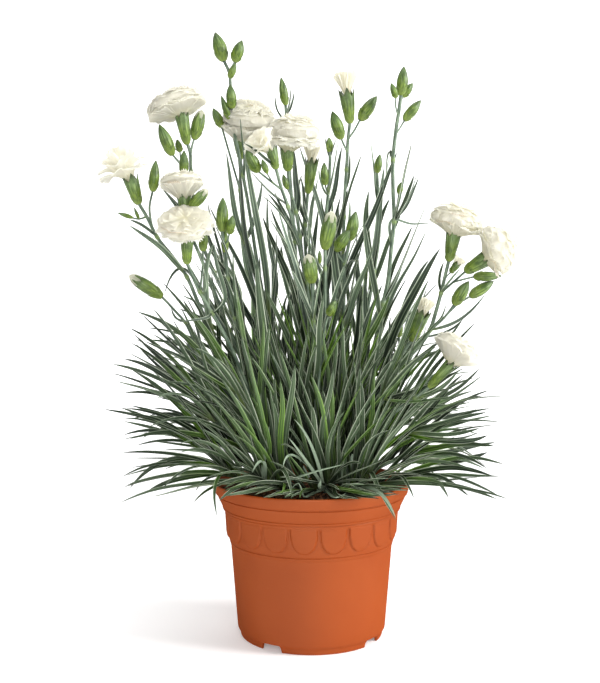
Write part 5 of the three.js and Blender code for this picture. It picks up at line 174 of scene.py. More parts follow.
         buds=[[[60.5,20.0,363.1],[62.5,20.0,382.2],3.89,0],[[57.0,16.0,360.6],[53.4,15.0,370.1],2.35,0],[[62.0,22.9,362.4],[69.1,25.0,371.7],2.88,0],[[63.4,22.9,346.6],[74.8,26.0,360.4],3.57,0],[[58.8,11.0,295.4],[60.0,10.0,303.7],2.18,0]],
         flowers=[],
         leaves=[[[[56.0,16.0,277.3],[61.9,9.0,305.0],[66.9,7.0,331.3]],4.4],[[[56.0,16.0,277.3],[65.1,20.0,295.1],[70.1,24.0,309.6]],2.7],[[[56.0,16.0,277.3],[64.5,14.0,290.6],[70.9,12.0,310.6]],3.0],[[[56.2,15.6,278.6],[66.8,24.0,292.6],[74.0,28.0,309.2]],2.4],[[[54.3,15.1,261.1],[55.1,22.0,278.9],[69.5,22.0,276.2],[82.9,20.0,276.8]],2.2],[[[49.0,13.1,223.2],[58.2,24.0,250.3],[70.3,30.0,275.8]],3.2],[[[49.0,13.1,223.2],[61.1,4.0,250.2],[76.4,0.0,289.8]],3.5],[[[55.2,17.8,315.8],[53.0,24.0,325.1],[51.8,34.0,309.7]],2.2],[[[26.5,6.2,123.1],[18.1,5.7,161.4],[10.9,5.5,199.4]],5.2],[[[26.5,6.2,123.1],[52.9,13.5,167.4],[76.7,20.4,212.3]],4.8],[[[36.6,9.4,166.2],[55.8,-2.5,199.9],[74.0,-13.0,233.8]],5.3],[[[36.6,9.4,166.2],[38.0,21.8,203.9],[38.1,35.8,241.8]],5.4],[[[46.7,12.3,208.2],[63.3,17.0,240.7],[79.6,21.7,273.3]],4.3],[[[46.7,12.3,208.2],[39.9,6.1,243.0],[34.7,1.0,277.5]],5.6]]),
    dict(name="flower_stem_18", r=[1.7,1.1],
         path=[[25.0,-5.0,100.9],[28.2,-8.0,138.8],[43.0,-12.0,162.7],[58.4,-16.0,182.9],[70.5,-18.0,196.1],[76.8,-19.0,206.0],[80.5,-20.0,218.4],[83.5,-21.0,230.1],[85.9,-22.0,241.0],[88.3,-22.0,251.3]],
         nodes=[[76.8,-19.0,205.3],[83.5,-21.0,230.1]],
         branches=[[[[76.5,-19.0,205.5],[83.5,-22.0,212.0],[87.9,-23.0,217.2],[92.2,-24.0,223.7]],0.8],[[[84.8,-22.3,213.5],[95.1,-17.0,222.8],[103.9,-15.0,228.0]],0.7],[[[83.5,-21.0,230.1],[89.5,-24.0,235.9],[94.2,-27.0,240.4],[98.3,-29.0,244.3]],0.8],[[[90.8,-24.8,237.2],[99.2,-19.0,239.1],[106.0,-17.0,240.7]],0.65],[[[85.2,-21.7,237.8],[88.0,-16.0,241.0],[90.8,-14.0,243.6]],0.5]],
         buds=[[[91.7,-23.9,222.9],[100.8,-26.0,237.9],4.19,2],[[103.5,-15.0,227.8],[119.1,-13.0,237.7],3.75,0],[[105.6,-17.0,240.7],[123.9,-15.0,241.0],3.25,0]],
         flowers=[[10,[88.3,-22.0,250.9],[91.4,-22.0,269.3],4.83,[92.6,-22.0,274.4],[0.28,-0.05,0.959],17.1,11.6,6],[11,[98.0,-28.9,244.1],[111.3,-33.0,252.8],5.08,[113.3,-36.0,256.6],[0.911,-0.152,0.384],15.9,15.2,6],[14,[90.6,-14.1,243.3],[95.0,-12.0,248.8],2.62,[96.4,-11.0,250.8],[0.6,0.0,0.8],3.6,5.2,4]],
         leaves=[[[[43.6,-12.1,163.4],[57.9,-26.0,214.1],[81.6,-34.0,259.5]],6.1],[[[44.7,-12.4,164.8],[63.9,-4.0,225.0],[78.3,2.0,251.5]],3.3],[[[76.6,-19.0,205.6],[96.2,-28.0,214.2],[110.1,-36.0,230.4]],2.6],[[[73.7,-18.5,201.1],[88.4,-10.0,204.2],[99.5,-6.0,211.9]],2.2],[[[76.6,-19.0,205.6],[84.5,-14.0,213.6],[88.0,-12.0,222.7]],2.1],[[[83.5,-21.0,230.1],[88.0,-30.0,237.9],[94.2,-35.0,246.2]],2.6],[[[83.5,-21.0,230.1],[83.6,-14.0,241.6],[86.4,-12.0,250.1]],2.0],[[[26.8,-6.8,123.1],[18.6,-17.6,160.5],[12.7,-26.8,197.9]],4.7],[[[26.8,-6.8,123.1],[38.1,-1.9,171.4],[48.1,1.3,219.7]],5.5]]),
    dict(name="flower_stem_19", r=[1.5,1.05],
         path=[[23.0,-15.0,100.8],[26.2,-21.0,134.2],[38.3,-25.0,154.4],[49.5,-29.0,176.3],[56.3,-31.0,189.3],[60.0,-32.0,195.2],[63.7,-33.0,200.4]],
         nodes=[[56.3,-31.0,189.3]],
         branches=[],
         buds=[],
         flowers=[[13,[63.6,-33.0,200.0],[70.2,-34.0,218.3],5.09,[71.7,-34.0,222.1],[0.352,0.0,0.936],5.4,10.2,4]],
         leaves=[[[[56.3,-31.0,189.3],[59.6,-22.0,202.9],[63.8,-18.0,217.6]],1.9],[[[49.3,-28.9,175.8],[52.0,-22.0,186.7],[49.0,-18.0,200.7]],1.9],[[[56.1,-30.9,188.9],[65.6,-40.0,194.5],[71.7,-46.0,212.5]],2.8],[[[53.2,-30.1,183.5],[64.5,-26.0,193.5],[83.0,-22.0,198.4]],2.6],[[[25.2,-19.0,123.1],[30.0,-36.8,159.1],[35.0,-56.4,194.8]],5.8],[[[25.2,-19.0,123.1],[35.5,-12.1,169.8],[45.2,-6.7,216.3]],4.6]]),
    dict(name="flower_stem_20", r=[1.5,1.05],
         path=[[28.0,-20.0,100.4],[22.0,-30.0,127.8],[37.4,-40.0,142.3],[51.6,-51.0,156.5],[63.2,-59.0,166.3],[71.8,-64.0,174.2]],
         nodes=[[63.2,-59.0,166.3]],
         branches=[],
         buds=[],
         flowers=[[12,[71.5,-63.9,173.9],[84.7,-71.0,189.9],3.77,[86.5,-73.0,197.0],[0.548,0.1,0.831],14.2,7.2,6]],
         leaves=[[[[63.2,-59.0,166.3],[71.9,-62.0,181.4],[79.5,-64.0,192.6]],2.5],[[[63.2,-59.0,166.3],[79.4,-52.0,171.7],[91.4,-46.0,181.8]],3.4],[[[51.6,-51.0,156.5],[70.1,-46.0,169.8],[84.1,-44.0,184.7]],3.1]]),
    dict(name="flower_stem_21", r=[1.4,0.8],
         path=[[-25.0,-1.0,100.9],[-37.3,2.0,129.2],[-54.0,0.0,156.6],[-65.8,-2.0,177.0],[-72.8,-4.0,187.8],[-78.6,-6.0,199.9],[-83.6,-8.0,210.6],[-88.7,-9.0,216.6],[-94.5,-10.0,223.2],[-99.0,-10.0,227.8]],
         nodes=[[-83.6,-8.0,210.6],[-72.8,-4.0,187.8]],
         branches=[],
         buds=[[[-98.7,-10.0,227.6],[-119.4,-13.0,241.6],4.43,1]],
         flowers=[],
         leaves=[[[[-72.6,-3.9,187.4],[-81.9,-12.0,197.7],[-91.2,-16.0,213.7]],2.3],[[[-72.6,-3.9,187.4],[-76.8,4.0,204.7],[-84.5,8.0,222.0]],2.3],[[[-83.6,-8.0,210.6],[-89.9,-4.0,213.1],[-93.4,-2.0,219.7]],2.0],[[[-34.7,1.4,123.1],[-39.2,-2.2,165.1],[-44.8,-5.1,206.5]],4.8],[[[-34.7,1.4,123.1],[-62.1,14.5,155.7],[-89.0,27.2,188.6]],4.4],[[[-57.3,-0.6,162.4],[-67.9,9.4,195.5],[-79.4,17.3,227.8]],5.2],[[[-57.3,-0.6,162.4],[-83.7,-16.0,189.8],[-109.8,-30.7,217.6]],4.8]]),
    dict(name="flower_stem_22", r=[1.5,1.05],
         path=[[1.0,29.0,100.7],[-5.6,36.0,138.0],[-7.0,43.0,186.9],[-9.1,48.0,229.2],[-11.3,52.0,264.6],[-13.4,54.0,293.0],[-15.5,56.0,321.4],[-16.9,57.0,346.2],[-18.0,58.0,362.4]],
         nodes=[[-17.3,57.0,353.2],[-11.3,52.0,264.6]],
         branches=[],
         buds=[[[-17.9,58.0,362.1],[-21.2,58.0,381.4],3.02,0]],
         flowers=[],
         leaves=[[[[-17.2,57.2,349.6],[-23.4,60.0,357.1],[-25.5,62.0,369.4]],1.9],[[[-17.5,57.5,354.5],[-14.8,54.0,363.3],[-14.4,53.0,372.9]],1.8],[[[-17.5,57.5,354.5],[-13.4,60.0,362.7],[-12.0,62.0,372.9]],1.6],[[[-11.1,51.8,262.5],[-19.2,60.0,284.1],[-31.5,66.0,300.2]],2.9],[[[-11.1,51.8,262.5],[-4.1,62.0,284.2],[-7.7,68.0,313.2]],3.6],[[[-8.8,47.3,223.5],[-18.4,56.0,244.8],[-21.3,60.0,262.7]],3.6],[[[-3.0,33.2,123.1],[1.5,38.9,165.5],[2.9,45.1,207.2]],4.3],[[[-3.0,33.2,123.1],[-19.8,40.3,161.4],[-36.4,47.4,199.7]],5.1],[[[-6.2,38.8,157.6],[-6.4,52.0,189.7],[-6.6,65.5,221.7]],5.1],[[[-6.2,38.8,157.6],[-9.1,26.5,197.3],[-11.9,15.6,236.8]],5.1],[[[-7.5,44.2,196.8],[-20.2,50.6,239.1],[-34.0,57.1,281.3]],4.8],[[[-7.5,44.2,196.8],[4.2,48.3,226.6],[14.4,52.3,256.4]],5.6]]),
    dict(name="flower_stem_23", r=[1.3,0.8],
         path=[[19.0,-1.0,101.2],[25.9,0.0,136.3],[42.7,2.0,161.1],[53.5,4.0,180.4],[58.9,5.0,191.2],[58.8,5.0,200.6]],
         nodes=[[58.2,5.0,189.8]],
         branches=[],
         buds=[[[58.8,5.0,200.2],[59.5,5.0,211.4],2.52,0]],
         flowers=[],
         leaves=[[[[57.3,4.7,188.0],[53.2,10.0,201.0],[54.0,12.0,213.7]],2.2],[[[58.2,4.9,189.8],[61.6,-2.0,199.7],[64.5,-5.0,217.1]],2.1],[[[42.7,2.0,161.1],[54.9,12.0,175.6],[59.2,16.0,189.0]],3.4],[[[23.3,-0.4,123.1],[46.4,10.1,159.3],[71.2,21.7,195.1]],5.3],[[[23.3,-0.4,123.1],[19.9,-7.9,163.1],[16.4,-15.5,203.1]],5.8]]),
    dict(name="flower_stem_24", r=[1.3,0.7],
         path=[[9.0,-26.0,100.8],[3.1,-42.0,141.3],[4.2,-47.0,173.7],[5.7,-49.0,196.4],[8.5,-50.0,212.7],[10.3,-50.0,217.1]],
         nodes=[[5.4,-49.0,195.2]],
         branches=[],
         buds=[[[10.1,-50.0,216.7],[14.6,-50.0,226.4],2.8,0]],
         flowers=[],
         leaves=[[[[5.5,-48.8,193.9],[-0.3,-56.0,208.1],[-5.9,-60.0,226.7]],3.1],[[[5.5,-48.8,193.9],[11.2,-40.0,208.4],[16.4,-36.0,229.8]],2.8],[[[5.7,-34.8,123.1],[8.9,-38.8,167.7],[12.3,-42.5,212.3]],4.8],[[[5.7,-34.8,123.1],[-4.6,-55.2,154.3],[-15.2,-76.0,185.3]],4.8]]),
]
SHOOTS = [
    dict(name="leaf_shoot_01", r=1.7, n=17, spread=38, length=[78,112], axis=[-0.758,-0.52,0.394],
         path=[[-31.0,-9.0,100.5],[-35.5,-14.0,103.8],[-47.0,-20.0,108.3],[-55.8,-26.0,113.4]],
         leaves=[[[[-55.8,-26.0,113.4],[-84.7,-34.0,126.5],[-121.5,-40.0,128.9]],3.5],[[[-53.3,-24.3,111.9],[-86.4,-30.0,123.9],[-117.3,-36.0,104.9]],4.1],[[[-50.2,-22.2,110.1],[-78.7,-30.0,112.2],[-107.3,-34.0,101.9]],4.1],[[[-49.7,-21.8,109.8],[-67.3,-12.0,110.1],[-83.2,-6.0,106.9]],3.9],[[[-54.8,-25.4,112.8],[-70.9,-44.0,123.1],[-92.6,-58.0,121.3]],2.4],[[[-46.8,-19.9,108.2],[-61.5,-36.0,106.8],[-75.3,-46.0,98.0]],3.0],[[[-52.2,-23.5,111.3],[-65.0,-40.0,112.8],[-73.6,-50.0,105.8]],1.9],[[[-53.0,-24.1,111.8],[-58.7,-64.0,116.2],[-58.2,-72.0,95.0]],2.4],[[[-55.8,-26.0,113.4],[-69.7,-22.0,119.9],[-122.2,-20.0,122.2]],2.2]]),
    dict(name="leaf_shoot_02", r=1.7, n=15, spread=38, length=[78,112], axis=[-0.813,0.242,0.53],
         path=[[-31.0,4.0,100.6],[-37.6,8.0,106.3],[-51.5,12.0,115.2],[-64.6,14.0,122.5]],
         leaves=[[[[-64.6,14.0,122.5],[-101.7,0.0,141.7],[-136.6,-18.0,154.2]],3.4],[[[-62.6,13.7,121.4],[-96.2,10.0,133.4],[-127.8,8.0,142.6]],3.1],[[[-60.9,13.4,120.5],[-95.3,2.0,133.3],[-127.0,-6.0,131.8]],3.1],[[[-64.3,14.0,122.3],[-91.4,28.0,128.6],[-119.7,36.0,130.2]],3.2],[[[-56.7,12.8,118.1],[-80.4,22.0,119.1],[-103.6,30.0,119.8]],3.5],[[[-64.6,14.0,122.5],[-87.4,24.0,136.9],[-113.8,30.0,145.9]],3.8],[[[-59.3,13.2,119.6],[-81.0,-6.0,127.8],[-106.3,-16.0,132.7]],3.1]]),
    dict(name="leaf_shoot_03", r=1.7, n=15, spread=38, length=[78,112], axis=[-0.585,-0.304,0.751],
         path=[[-27.0,-13.0,100.7],[-32.6,-20.0,119.5],[-47.9,-26.0,134.3],[-63.5,-32.0,147.6]],
         leaves=[[[[-63.5,-32.0,147.6],[-96.4,-40.0,165.3],[-123.8,-46.0,175.5]],4.5],[[[-63.2,-31.9,147.3],[-94.7,-28.0,166.5],[-130.3,-26.0,178.6]],3.2],[[[-61.7,-31.3,146.0],[-90.8,-44.0,173.4],[-124.4,-56.0,187.0]],4.0],[[[-63.5,-32.0,147.6],[-82.7,-50.0,162.1],[-102.7,-62.0,172.8]],2.9],[[[-60.2,-30.7,144.7],[-80.2,-44.0,150.5],[-95.7,-56.0,151.6]],2.9]]),
    dict(name="leaf_shoot_04", r=1.7, n=15, spread=38, length=[78,112], axis=[-0.531,0.278,0.8],
         path=[[-25.0,14.0,100.7],[-29.8,20.0,115.2],[-44.5,26.0,135.2],[-59.5,32.0,152.7]],
         leaves=[[[[-59.5,32.0,152.7],[-99.0,36.0,171.9],[-129.6,40.0,187.1]],3.2],[[[-59.2,31.9,152.3],[-94.1,42.0,165.7],[-125.4,50.0,192.8]],4.5],[[[-57.9,31.4,150.8],[-90.9,26.0,171.5],[-122.5,22.0,201.6]],4.4],[[[-59.5,32.0,152.7],[-89.7,48.0,167.9],[-115.1,58.0,186.5]],3.9]]),
    dict(name="leaf_shoot_05", r=1.7, n=15, spread=38, length=[78,112], axis=[-0.361,-0.338,0.869],
         path=[[-20.0,-22.0,100.7],[-27.0,-32.0,128.1],[-38.2,-40.0,149.3],[-47.8,-48.0,167.5]],
         leaves=[[[[-47.8,-48.0,167.5],[-72.6,-56.0,185.8],[-103.1,-62.0,201.7]],3.6],[[[-47.8,-48.0,167.5],[-65.7,-64.0,180.4],[-88.5,-76.0,197.8]],3.3],[[[-46.9,-47.3,165.8],[-65.0,-50.0,185.3],[-96.6,-50.0,207.1]],3.4],[[[-47.8,-48.0,167.5],[-61.2,-66.0,189.1],[-68.7,-76.0,206.2]],2.6]]),
    dict(name="leaf_shoot_06", r=1.7, n=26, spread=38, length=[78,112], axis=[-0.359,0.338,0.87],
         path=[[-13.0,24.0,100.8],[-19.7,34.0,118.5],[-30.4,42.0,144.3],[-40.6,50.0,167.7]],
         leaves=[[[[-40.6,50.0,167.7],[-76.3,58.0,178.5],[-107.1,64.0,199.9]],4.2],[[[-40.6,50.0,167.7],[-60.0,64.0,180.9],[-80.3,72.0,195.7]],3.7]]),
    dict(name="leaf_shoot_07", r=1.7, n=11, spread=38, length=[78,112], axis=[0.88,-0.412,0.237],
         path=[[32.0,-10.0,100.4],[33.3,-14.0,101.1],[46.2,-18.0,104.6],[57.6,-22.0,107.3]],
         leaves=[[[[57.6,-22.0,107.3],[83.0,-28.0,109.2],[108.2,-32.0,111.9]],2.7],[[[56.5,-21.6,107.1],[77.1,-34.0,112.9],[100.0,-44.0,101.4]],3.8],[[[53.7,-20.6,106.4],[75.5,-8.0,109.3],[93.0,2.0,90.4]],5.0],[[[55.2,-21.1,106.7],[71.9,-40.0,112.1],[83.7,-52.0,109.4]],2.7],[[[51.3,-19.8,105.8],[56.9,-44.0,113.6],[63.1,-58.0,103.1]],2.9],[[[56.7,-21.7,107.1],[68.9,-8.0,108.6],[81.4,2.0,106.1]],3.1],[[[39.8,-16.0,102.8],[37.3,-52.0,116.4],[50.6,-74.0,93.0]],3.2],[[[40.0,-16.1,102.9],[42.4,-34.0,117.5],[53.0,-44.0,125.7]],3.2],[[[42.8,-17.0,103.7],[45.8,-40.0,115.4],[59.6,-54.0,120.5]],2.9]]),
    dict(name="leaf_shoot_08", r=1.7, n=11, spread=38, length=[78,112], axis=[0.863,0.28,0.42],
         path=[[30.0,6.0,100.6],[37.3,10.0,105.9],[51.3,14.0,112.1],[63.9,17.0,117.1]],
         leaves=[[[[63.9,17.0,117.1],[98.4,38.0,117.1],[134.8,60.0,120.0]],4.2],[[[62.7,16.7,116.7],[93.9,6.0,125.8],[122.6,-4.0,127.5]],4.3],[[[61.2,16.4,116.0],[92.7,6.0,114.9],[118.7,0.0,122.8]],5.1],[[[59.8,16.0,115.5],[88.9,30.0,110.6],[114.6,42.0,109.9]],5.9],[[[63.9,17.0,117.1],[90.7,34.0,124.1],[119.9,44.0,108.9]],3.0],[[[58.2,15.7,114.9],[79.0,-6.0,117.0],[105.2,-18.0,114.5]],2.8],[[[63.9,17.0,117.1],[71.9,-10.0,117.7],[81.5,-24.0,109.7]],2.8]]),
    dict(name="leaf_shoot_09", r=1.7, n=12, spread=32, length=[78,112], axis=[0.57,-0.366,0.736],
         path=[[29.0,-14.0,100.5],[32.9,-20.0,118.2],[46.7,-27.0,130.6],[60.2,-34.0,140.8]],
         leaves=[[[[60.2,-34.0,140.8],[86.0,-42.0,141.3],[105.2,-48.0,146.0]],2.9],[[[59.2,-33.5,140.0],[89.2,-28.0,134.0],[114.4,-24.0,137.9]],4.3],[[[60.2,-34.0,140.8],[85.4,-46.0,149.5],[108.5,-54.0,156.9]],3.7],[[[59.8,-33.8,140.5],[92.1,-30.0,145.3],[116.8,-28.0,151.6]],3.5],[[[58.0,-32.9,139.1],[83.3,-48.0,138.4],[102.7,-60.0,145.3]],3.2],[[[58.6,-33.2,139.6],[73.2,-54.0,139.4],[87.0,-66.0,143.1]],2.9]]),
    dict(name="leaf_shoot_10", r=1.7, n=12, spread=38, length=[78,112], axis=[0.529,0.315,0.788],
         path=[[25.0,15.0,100.7],[28.3,22.0,116.3],[42.5,28.0,133.5],[56.9,34.0,148.2]],
         leaves=[[[[56.9,34.0,148.2],[91.3,40.0,151.7],[122.8,44.0,171.2]],3.6],[[[55.9,33.6,147.2],[92.5,50.0,153.3],[123.3,60.0,174.7]],3.9],[[[56.9,34.0,148.2],[82.3,24.0,149.5],[110.4,18.0,154.4]],3.8],[[[56.5,33.9,147.9],[91.9,44.0,139.7],[119.1,50.0,145.4]],5.4]]),
    dict(name="leaf_shoot_11", r=1.7, n=11, spread=27, length=[70,96], axis=[0.331,-0.36,0.872],
         path=[[21.0,-22.0,100.6],[23.2,-32.0,128.1],[34.2,-40.0,147.4],[44.9,-48.0,163.7]],
         leaves=[[[[44.9,-48.0,163.7],[69.4,-58.0,172.4],[88.2,-64.0,183.4]],3.4],[[[44.9,-48.0,163.7],[65.9,-62.0,164.2],[89.0,-72.0,169.0]],2.8],[[[44.3,-47.6,162.8],[55.0,-60.0,178.7],[68.1,-68.0,195.4]],2.8],[[[44.9,-48.0,163.7],[62.9,-42.0,180.7],[80.3,-38.0,199.4]],2.6]]),
    dict(name="leaf_shoot_12", r=1.7, n=24, spread=38, length=[78,112], axis=[0.318,0.355,0.879],
         path=[[14.0,25.0,100.7],[19.1,36.0,118.1],[28.6,44.0,144.0],[38.2,52.0,167.5]],
         leaves=[[[[38.2,52.0,167.5],[59.0,62.0,182.5],[78.6,70.0,198.0]],4.0],[[[38.2,52.0,167.5],[65.0,48.0,175.1],[91.7,46.0,188.1]],3.6]]),
    dict(name="leaf_shoot_13", r=1.7, n=34, spread=27, length=[70,116], axis=[0.0,-0.287,0.958],
         path=[[-5.0,-34.0,100.4],[5.0,-35.5,104.2],[15.0,-38.0,109.5]],
         leaves=[[[[7.4,-36.1,105.4],[-0.3,-58.4,135.1],[-11.4,-64.8,154.0]],2.6],[[[7.4,-36.1,105.5],[-4.6,-61.6,128.2],[-15.0,-69.6,143.7]],2.6],[[[9.3,-36.6,106.5],[11.7,-50.4,151.4],[12.3,-48.8,176.4]],3.4],[[[9.3,-36.6,106.5],[6.1,-47.2,138.3],[-0.8,-44.0,181.6]],3.4],[[[10.3,-36.8,107.0],[20.2,-58.4,123.8],[30.3,-64.8,126.2]],2.6],[[[9.9,-36.7,106.8],[24.8,-52.0,139.1],[43.5,-58.4,172.4]],3.7],[[[9.8,-36.7,106.8],[15.1,-40.8,143.7],[24.8,-36.0,172.5]],4.0],[[[10.5,-36.9,107.1],[-7.7,-63.2,116.0],[-21.1,-71.2,119.4]],2.3],[[[9.0,-36.5,106.3],[-10.2,-60.0,129.7],[-18.1,-68.0,125.0]],1.9],[[[-0.5,-34.7,102.1],[-16.4,-60.0,107.9],[-27.3,-66.0,105.4]],2.9],[[[-1.4,-34.5,101.8],[-25.0,-60.0,114.1],[-42.0,-66.0,111.0]],2.9],[[[1.1,-34.9,102.7],[-7.7,-54.0,120.5],[-16.4,-58.0,132.5]],2.6],[[[-2.6,-34.4,101.3],[-12.7,-58.0,118.8],[-23.7,-64.0,127.3]],2.6],[[[-3.7,-34.2,100.9],[-11.4,-60.0,106.6],[-17.5,-65.0,105.2]],2.6],[[[13.9,-37.7,108.9],[14.6,-60.0,106.6],[21.8,-66.0,104.8]],2.6],[[[2.1,-35.1,103.1],[-5.2,-57.0,104.1],[-8.9,-60.0,113.5],[-13.3,-62.0,110.2]],1.7],[[[5.8,-35.7,104.6],[4.9,-50.0,108.4],[5.5,-49.0,113.9]],2.9],[[[8.2,-36.3,105.9],[12.7,-60.0,104.8],[20.7,-62.0,107.7]],1.9],[[[3.5,-35.3,103.6],[-5.2,-58.0,108.7],[-7.7,-64.0,104.3]],1.9],[[[9.7,-36.7,106.7],[10.9,-60.0,112.3],[17.4,-66.0,109.7]],2.1],[[[12.1,-37.3,108.0],[24.5,-58.0,118.8],[46.5,-62.0,129.5]],2.3],[[[6.5,-35.9,105.0],[-10.2,-60.0,132.9],[-20.0,-64.0,137.2]],1.9],[[[10.3,-36.8,107.0],[1.0,-54.0,145.7],[-4.0,-52.0,165.4]],2.6],[[[12.2,-37.3,108.0],[10.8,-60.0,140.3],[20.5,-62.0,159.2]],2.3],[[[10.1,-36.8,106.9],[19.5,-61.0,110.0],[36.4,-67.0,107.5]],2.5],[[[8.4,-36.4,106.0],[17.0,-62.0,105.8],[29.7,-67.0,105.0]],2.2],[[[11.6,-37.1,107.7],[23.2,-60.0,114.8],[41.3,-66.0,115.9]],2.3],[[[2.8,-35.2,103.4],[-5.8,-58.0,107.5],[-13.8,-66.0,105.4]],2.1],[[[0.8,-34.9,102.6],[-15.1,-62.0,107.7],[-28.5,-67.0,105.6]],2.5],[[[8.7,-36.4,106.2],[24.3,-63.0,108.5],[48.7,-67.0,106.8]],2.6],[[[12.5,-37.4,108.2],[21.1,-50.0,132.4],[33.2,-54.0,178.1]],3.9],[[[11.6,-37.1,107.7],[23.5,-52.0,131.5],[52.6,-60.0,163.9]],3.1],[[[-2.1,-34.4,101.5],[-13.4,-46.0,122.9],[-16.5,-46.0,135.6]],2.9],[[[6.5,-35.9,105.0],[-5.2,-46.0,124.1],[-7.7,-46.0,136.9]],2.9],[[[-4.3,-34.1,100.6],[-17.7,-52.0,120.2],[-26.4,-54.0,125.6]],2.6]]),
    dict(name="leaf_shoot_14", r=1.7, n=34, spread=27, length=[70,116], axis=[-0.233,-0.279,0.931],
         path=[[-12.0,-33.0,100.3],[-22.0,-34.0,104.6],[-35.0,-33.0,111.0]],
         leaves=[[[[-31.7,-33.3,109.4],[-28.4,-48.4,133.4],[-27.0,-51.6,147.8]],2.9],[[[-32.2,-33.2,109.6],[-31.5,-50.0,145.1],[-38.8,-53.2,167.5]],3.4],[[[-32.7,-33.2,109.9],[-38.8,-54.8,139.5],[-43.4,-61.2,158.5]],3.1],[[[-33.3,-33.1,110.1],[-44.8,-59.6,111.6],[-57.2,-69.2,104.2]],3.1],[[[-30.2,-33.4,108.6],[-31.0,-66.0,127.7],[-36.7,-75.6,122.7]],2.6],[[[-29.7,-33.4,108.4],[-14.0,-42.0,131.1],[-10.2,-38.8,162.6]],3.7],[[[-32.2,-33.2,109.6],[-23.0,-37.2,143.2],[-19.9,-32.4,179.8]],4.0],[[[-27.7,-33.6,107.4],[-17.5,-62.8,122.2],[-12.6,-72.4,106.1]],2.8],[[[-32.3,-33.2,109.6],[-42.4,-58.0,114.4],[-54.4,-64.0,111.2]],2.6],[[[-26.6,-33.6,106.9],[-1.5,-62.0,119.5],[19.5,-60.0,125.4]],1.9],[[[-31.7,-33.3,109.4],[-47.5,-56.0,119.0],[-66.3,-62.0,117.0]],2.6],[[[-22.1,-34.0,104.6],[-17.0,-58.0,112.5],[-19.4,-65.0,107.0]],1.9],[[[-32.8,-33.2,109.9],[-45.0,-56.0,132.2],[-55.8,-60.0,136.6]],2.3],[[[-29.7,-33.4,108.4],[-27.6,-54.0,139.4],[-33.7,-56.0,159.7]],2.6],[[[-25.1,-33.8,106.1],[-41.2,-58.0,116.3],[-61.8,-64.0,111.8]],2.6],[[[-22.1,-34.0,104.6],[-37.4,-60.0,112.9],[-55.5,-66.0,109.1]],2.5],[[[-21.0,-33.9,104.2],[-31.2,-60.0,111.0],[-45.7,-66.0,107.9]],2.4],[[[-19.7,-33.8,103.6],[-25.0,-60.0,109.8],[-35.9,-66.0,107.3]],2.4],[[[-21.9,-34.0,104.6],[-38.5,-62.0,108.9],[-54.4,-65.0,106.4]],2.6],[[[-17.5,-33.6,102.7],[-22.5,-62.0,107.0],[-31.0,-66.0,105.4]],2.4],[[[-32.8,-33.2,109.9],[-39.3,-44.0,118.7],[-49.2,-48.0,125.8]],2.9],[[[-34.3,-33.1,110.7],[-41.6,-50.0,119.2],[-51.2,-56.0,122.8]],2.6]]),
    dict(name="leaf_shoot_15", r=1.7, n=34, spread=29, length=[70,116], axis=[0.233,-0.279,0.931],
         path=[[19.0,-34.0,100.0],[28.0,-33.0,104.6],[38.2,-30.9,110.8]],
         leaves=[[[[34.2,-31.7,108.4],[47.3,-66.0,141.3],[61.8,-99.5,167.0]],3.6],[[[34.6,-31.6,108.6],[54.6,-68.0,125.6],[72.5,-99.5,139.5]],3.1],[[[33.5,-31.9,107.9],[37.7,-45.2,144.4],[49.8,-48.4,173.2]],3.7],[[[26.6,-33.2,103.9],[38.9,-66.0,109.7],[50.2,-78.0,95.7]],2.3],[[[26.9,-33.1,104.0],[41.6,-62.0,112.0],[60.6,-70.0,112.4]],2.6],[[[25.4,-33.3,103.3],[36.7,-62.0,109.5],[51.4,-70.0,108.7]],2.6],[[[22.9,-33.6,102.0],[30.6,-62.0,108.3],[43.7,-68.0,107.1]],2.3],[[[22.4,-33.6,101.8],[33.0,-62.0,115.2],[48.3,-70.0,118.0]],2.6],[[[19.8,-33.9,100.4],[24.5,-60.0,110.4],[34.0,-66.0,109.1]],2.3],[[[19.0,-34.0,100.0],[19.5,-60.0,112.3],[27.3,-66.0,111.6]],2.1],[[[28.5,-32.9,104.9],[49.2,-60.0,119.1],[72.0,-66.0,117.8]],2.6],[[[29.2,-32.7,105.3],[33.3,-56.0,134.7],[48.8,-62.0,146.8]],2.6],[[[25.1,-33.3,103.1],[33.1,-60.0,111.6],[46.8,-67.0,111.8]],2.5],[[[22.1,-33.7,101.6],[29.3,-62.0,105.8],[41.2,-68.0,105.2]],2.3],[[[19.0,-34.0,100.0],[22.0,-60.0,111.6],[32.8,-66.0,113.5]],2.2],[[[25.8,-33.2,103.5],[41.7,-62.0,109.5],[59.8,-66.0,110.4]],2.6],[[[19.0,-34.0,100.0],[32.9,-64.0,105.6],[53.5,-68.0,108.3]],2.5],[[[21.9,-33.7,101.5],[23.5,-52.0,139.1],[36.9,-56.0,164.7]],2.9],[[[19.0,-34.0,100.0],[16.0,-54.0,133.1],[18.3,-58.0,153.7]],2.6]]),
    dict(name="leaf_shoot_16", r=1.7, n=30, spread=38, length=[78,112], axis=[0.0,0.73,0.683],
         path=[[2.0,33.0,100.5],[2.0,46.0,109.0],[2.0,59.0,123.0],[2.0,71.0,136.0]],
         leaves=[]),
    dict(name="leaf_shoot_17", r=1.7, n=20, spread=38, length=[78,112], axis=[-0.547,0.622,0.561],
         path=[[-24.0,27.0,100.2],[-34.0,38.0,107.0],[-44.0,50.0,119.0],[-53.0,60.0,130.0]],
         leaves=[]),
    dict(name="leaf_shoot_18", r=1.7, n=16, spread=38, length=[78,112], axis=[0.546,0.64,0.541],
         path=[[24.0,27.0,100.2],[34.0,38.0,107.0],[44.0,50.0,118.0],[53.0,61.0,129.0]],
         leaves=[]),
    dict(name="leaf_shoot_19", r=1.7, n=40, spread=28, length=[80,126], axis=[-0.04,-0.199,0.979],
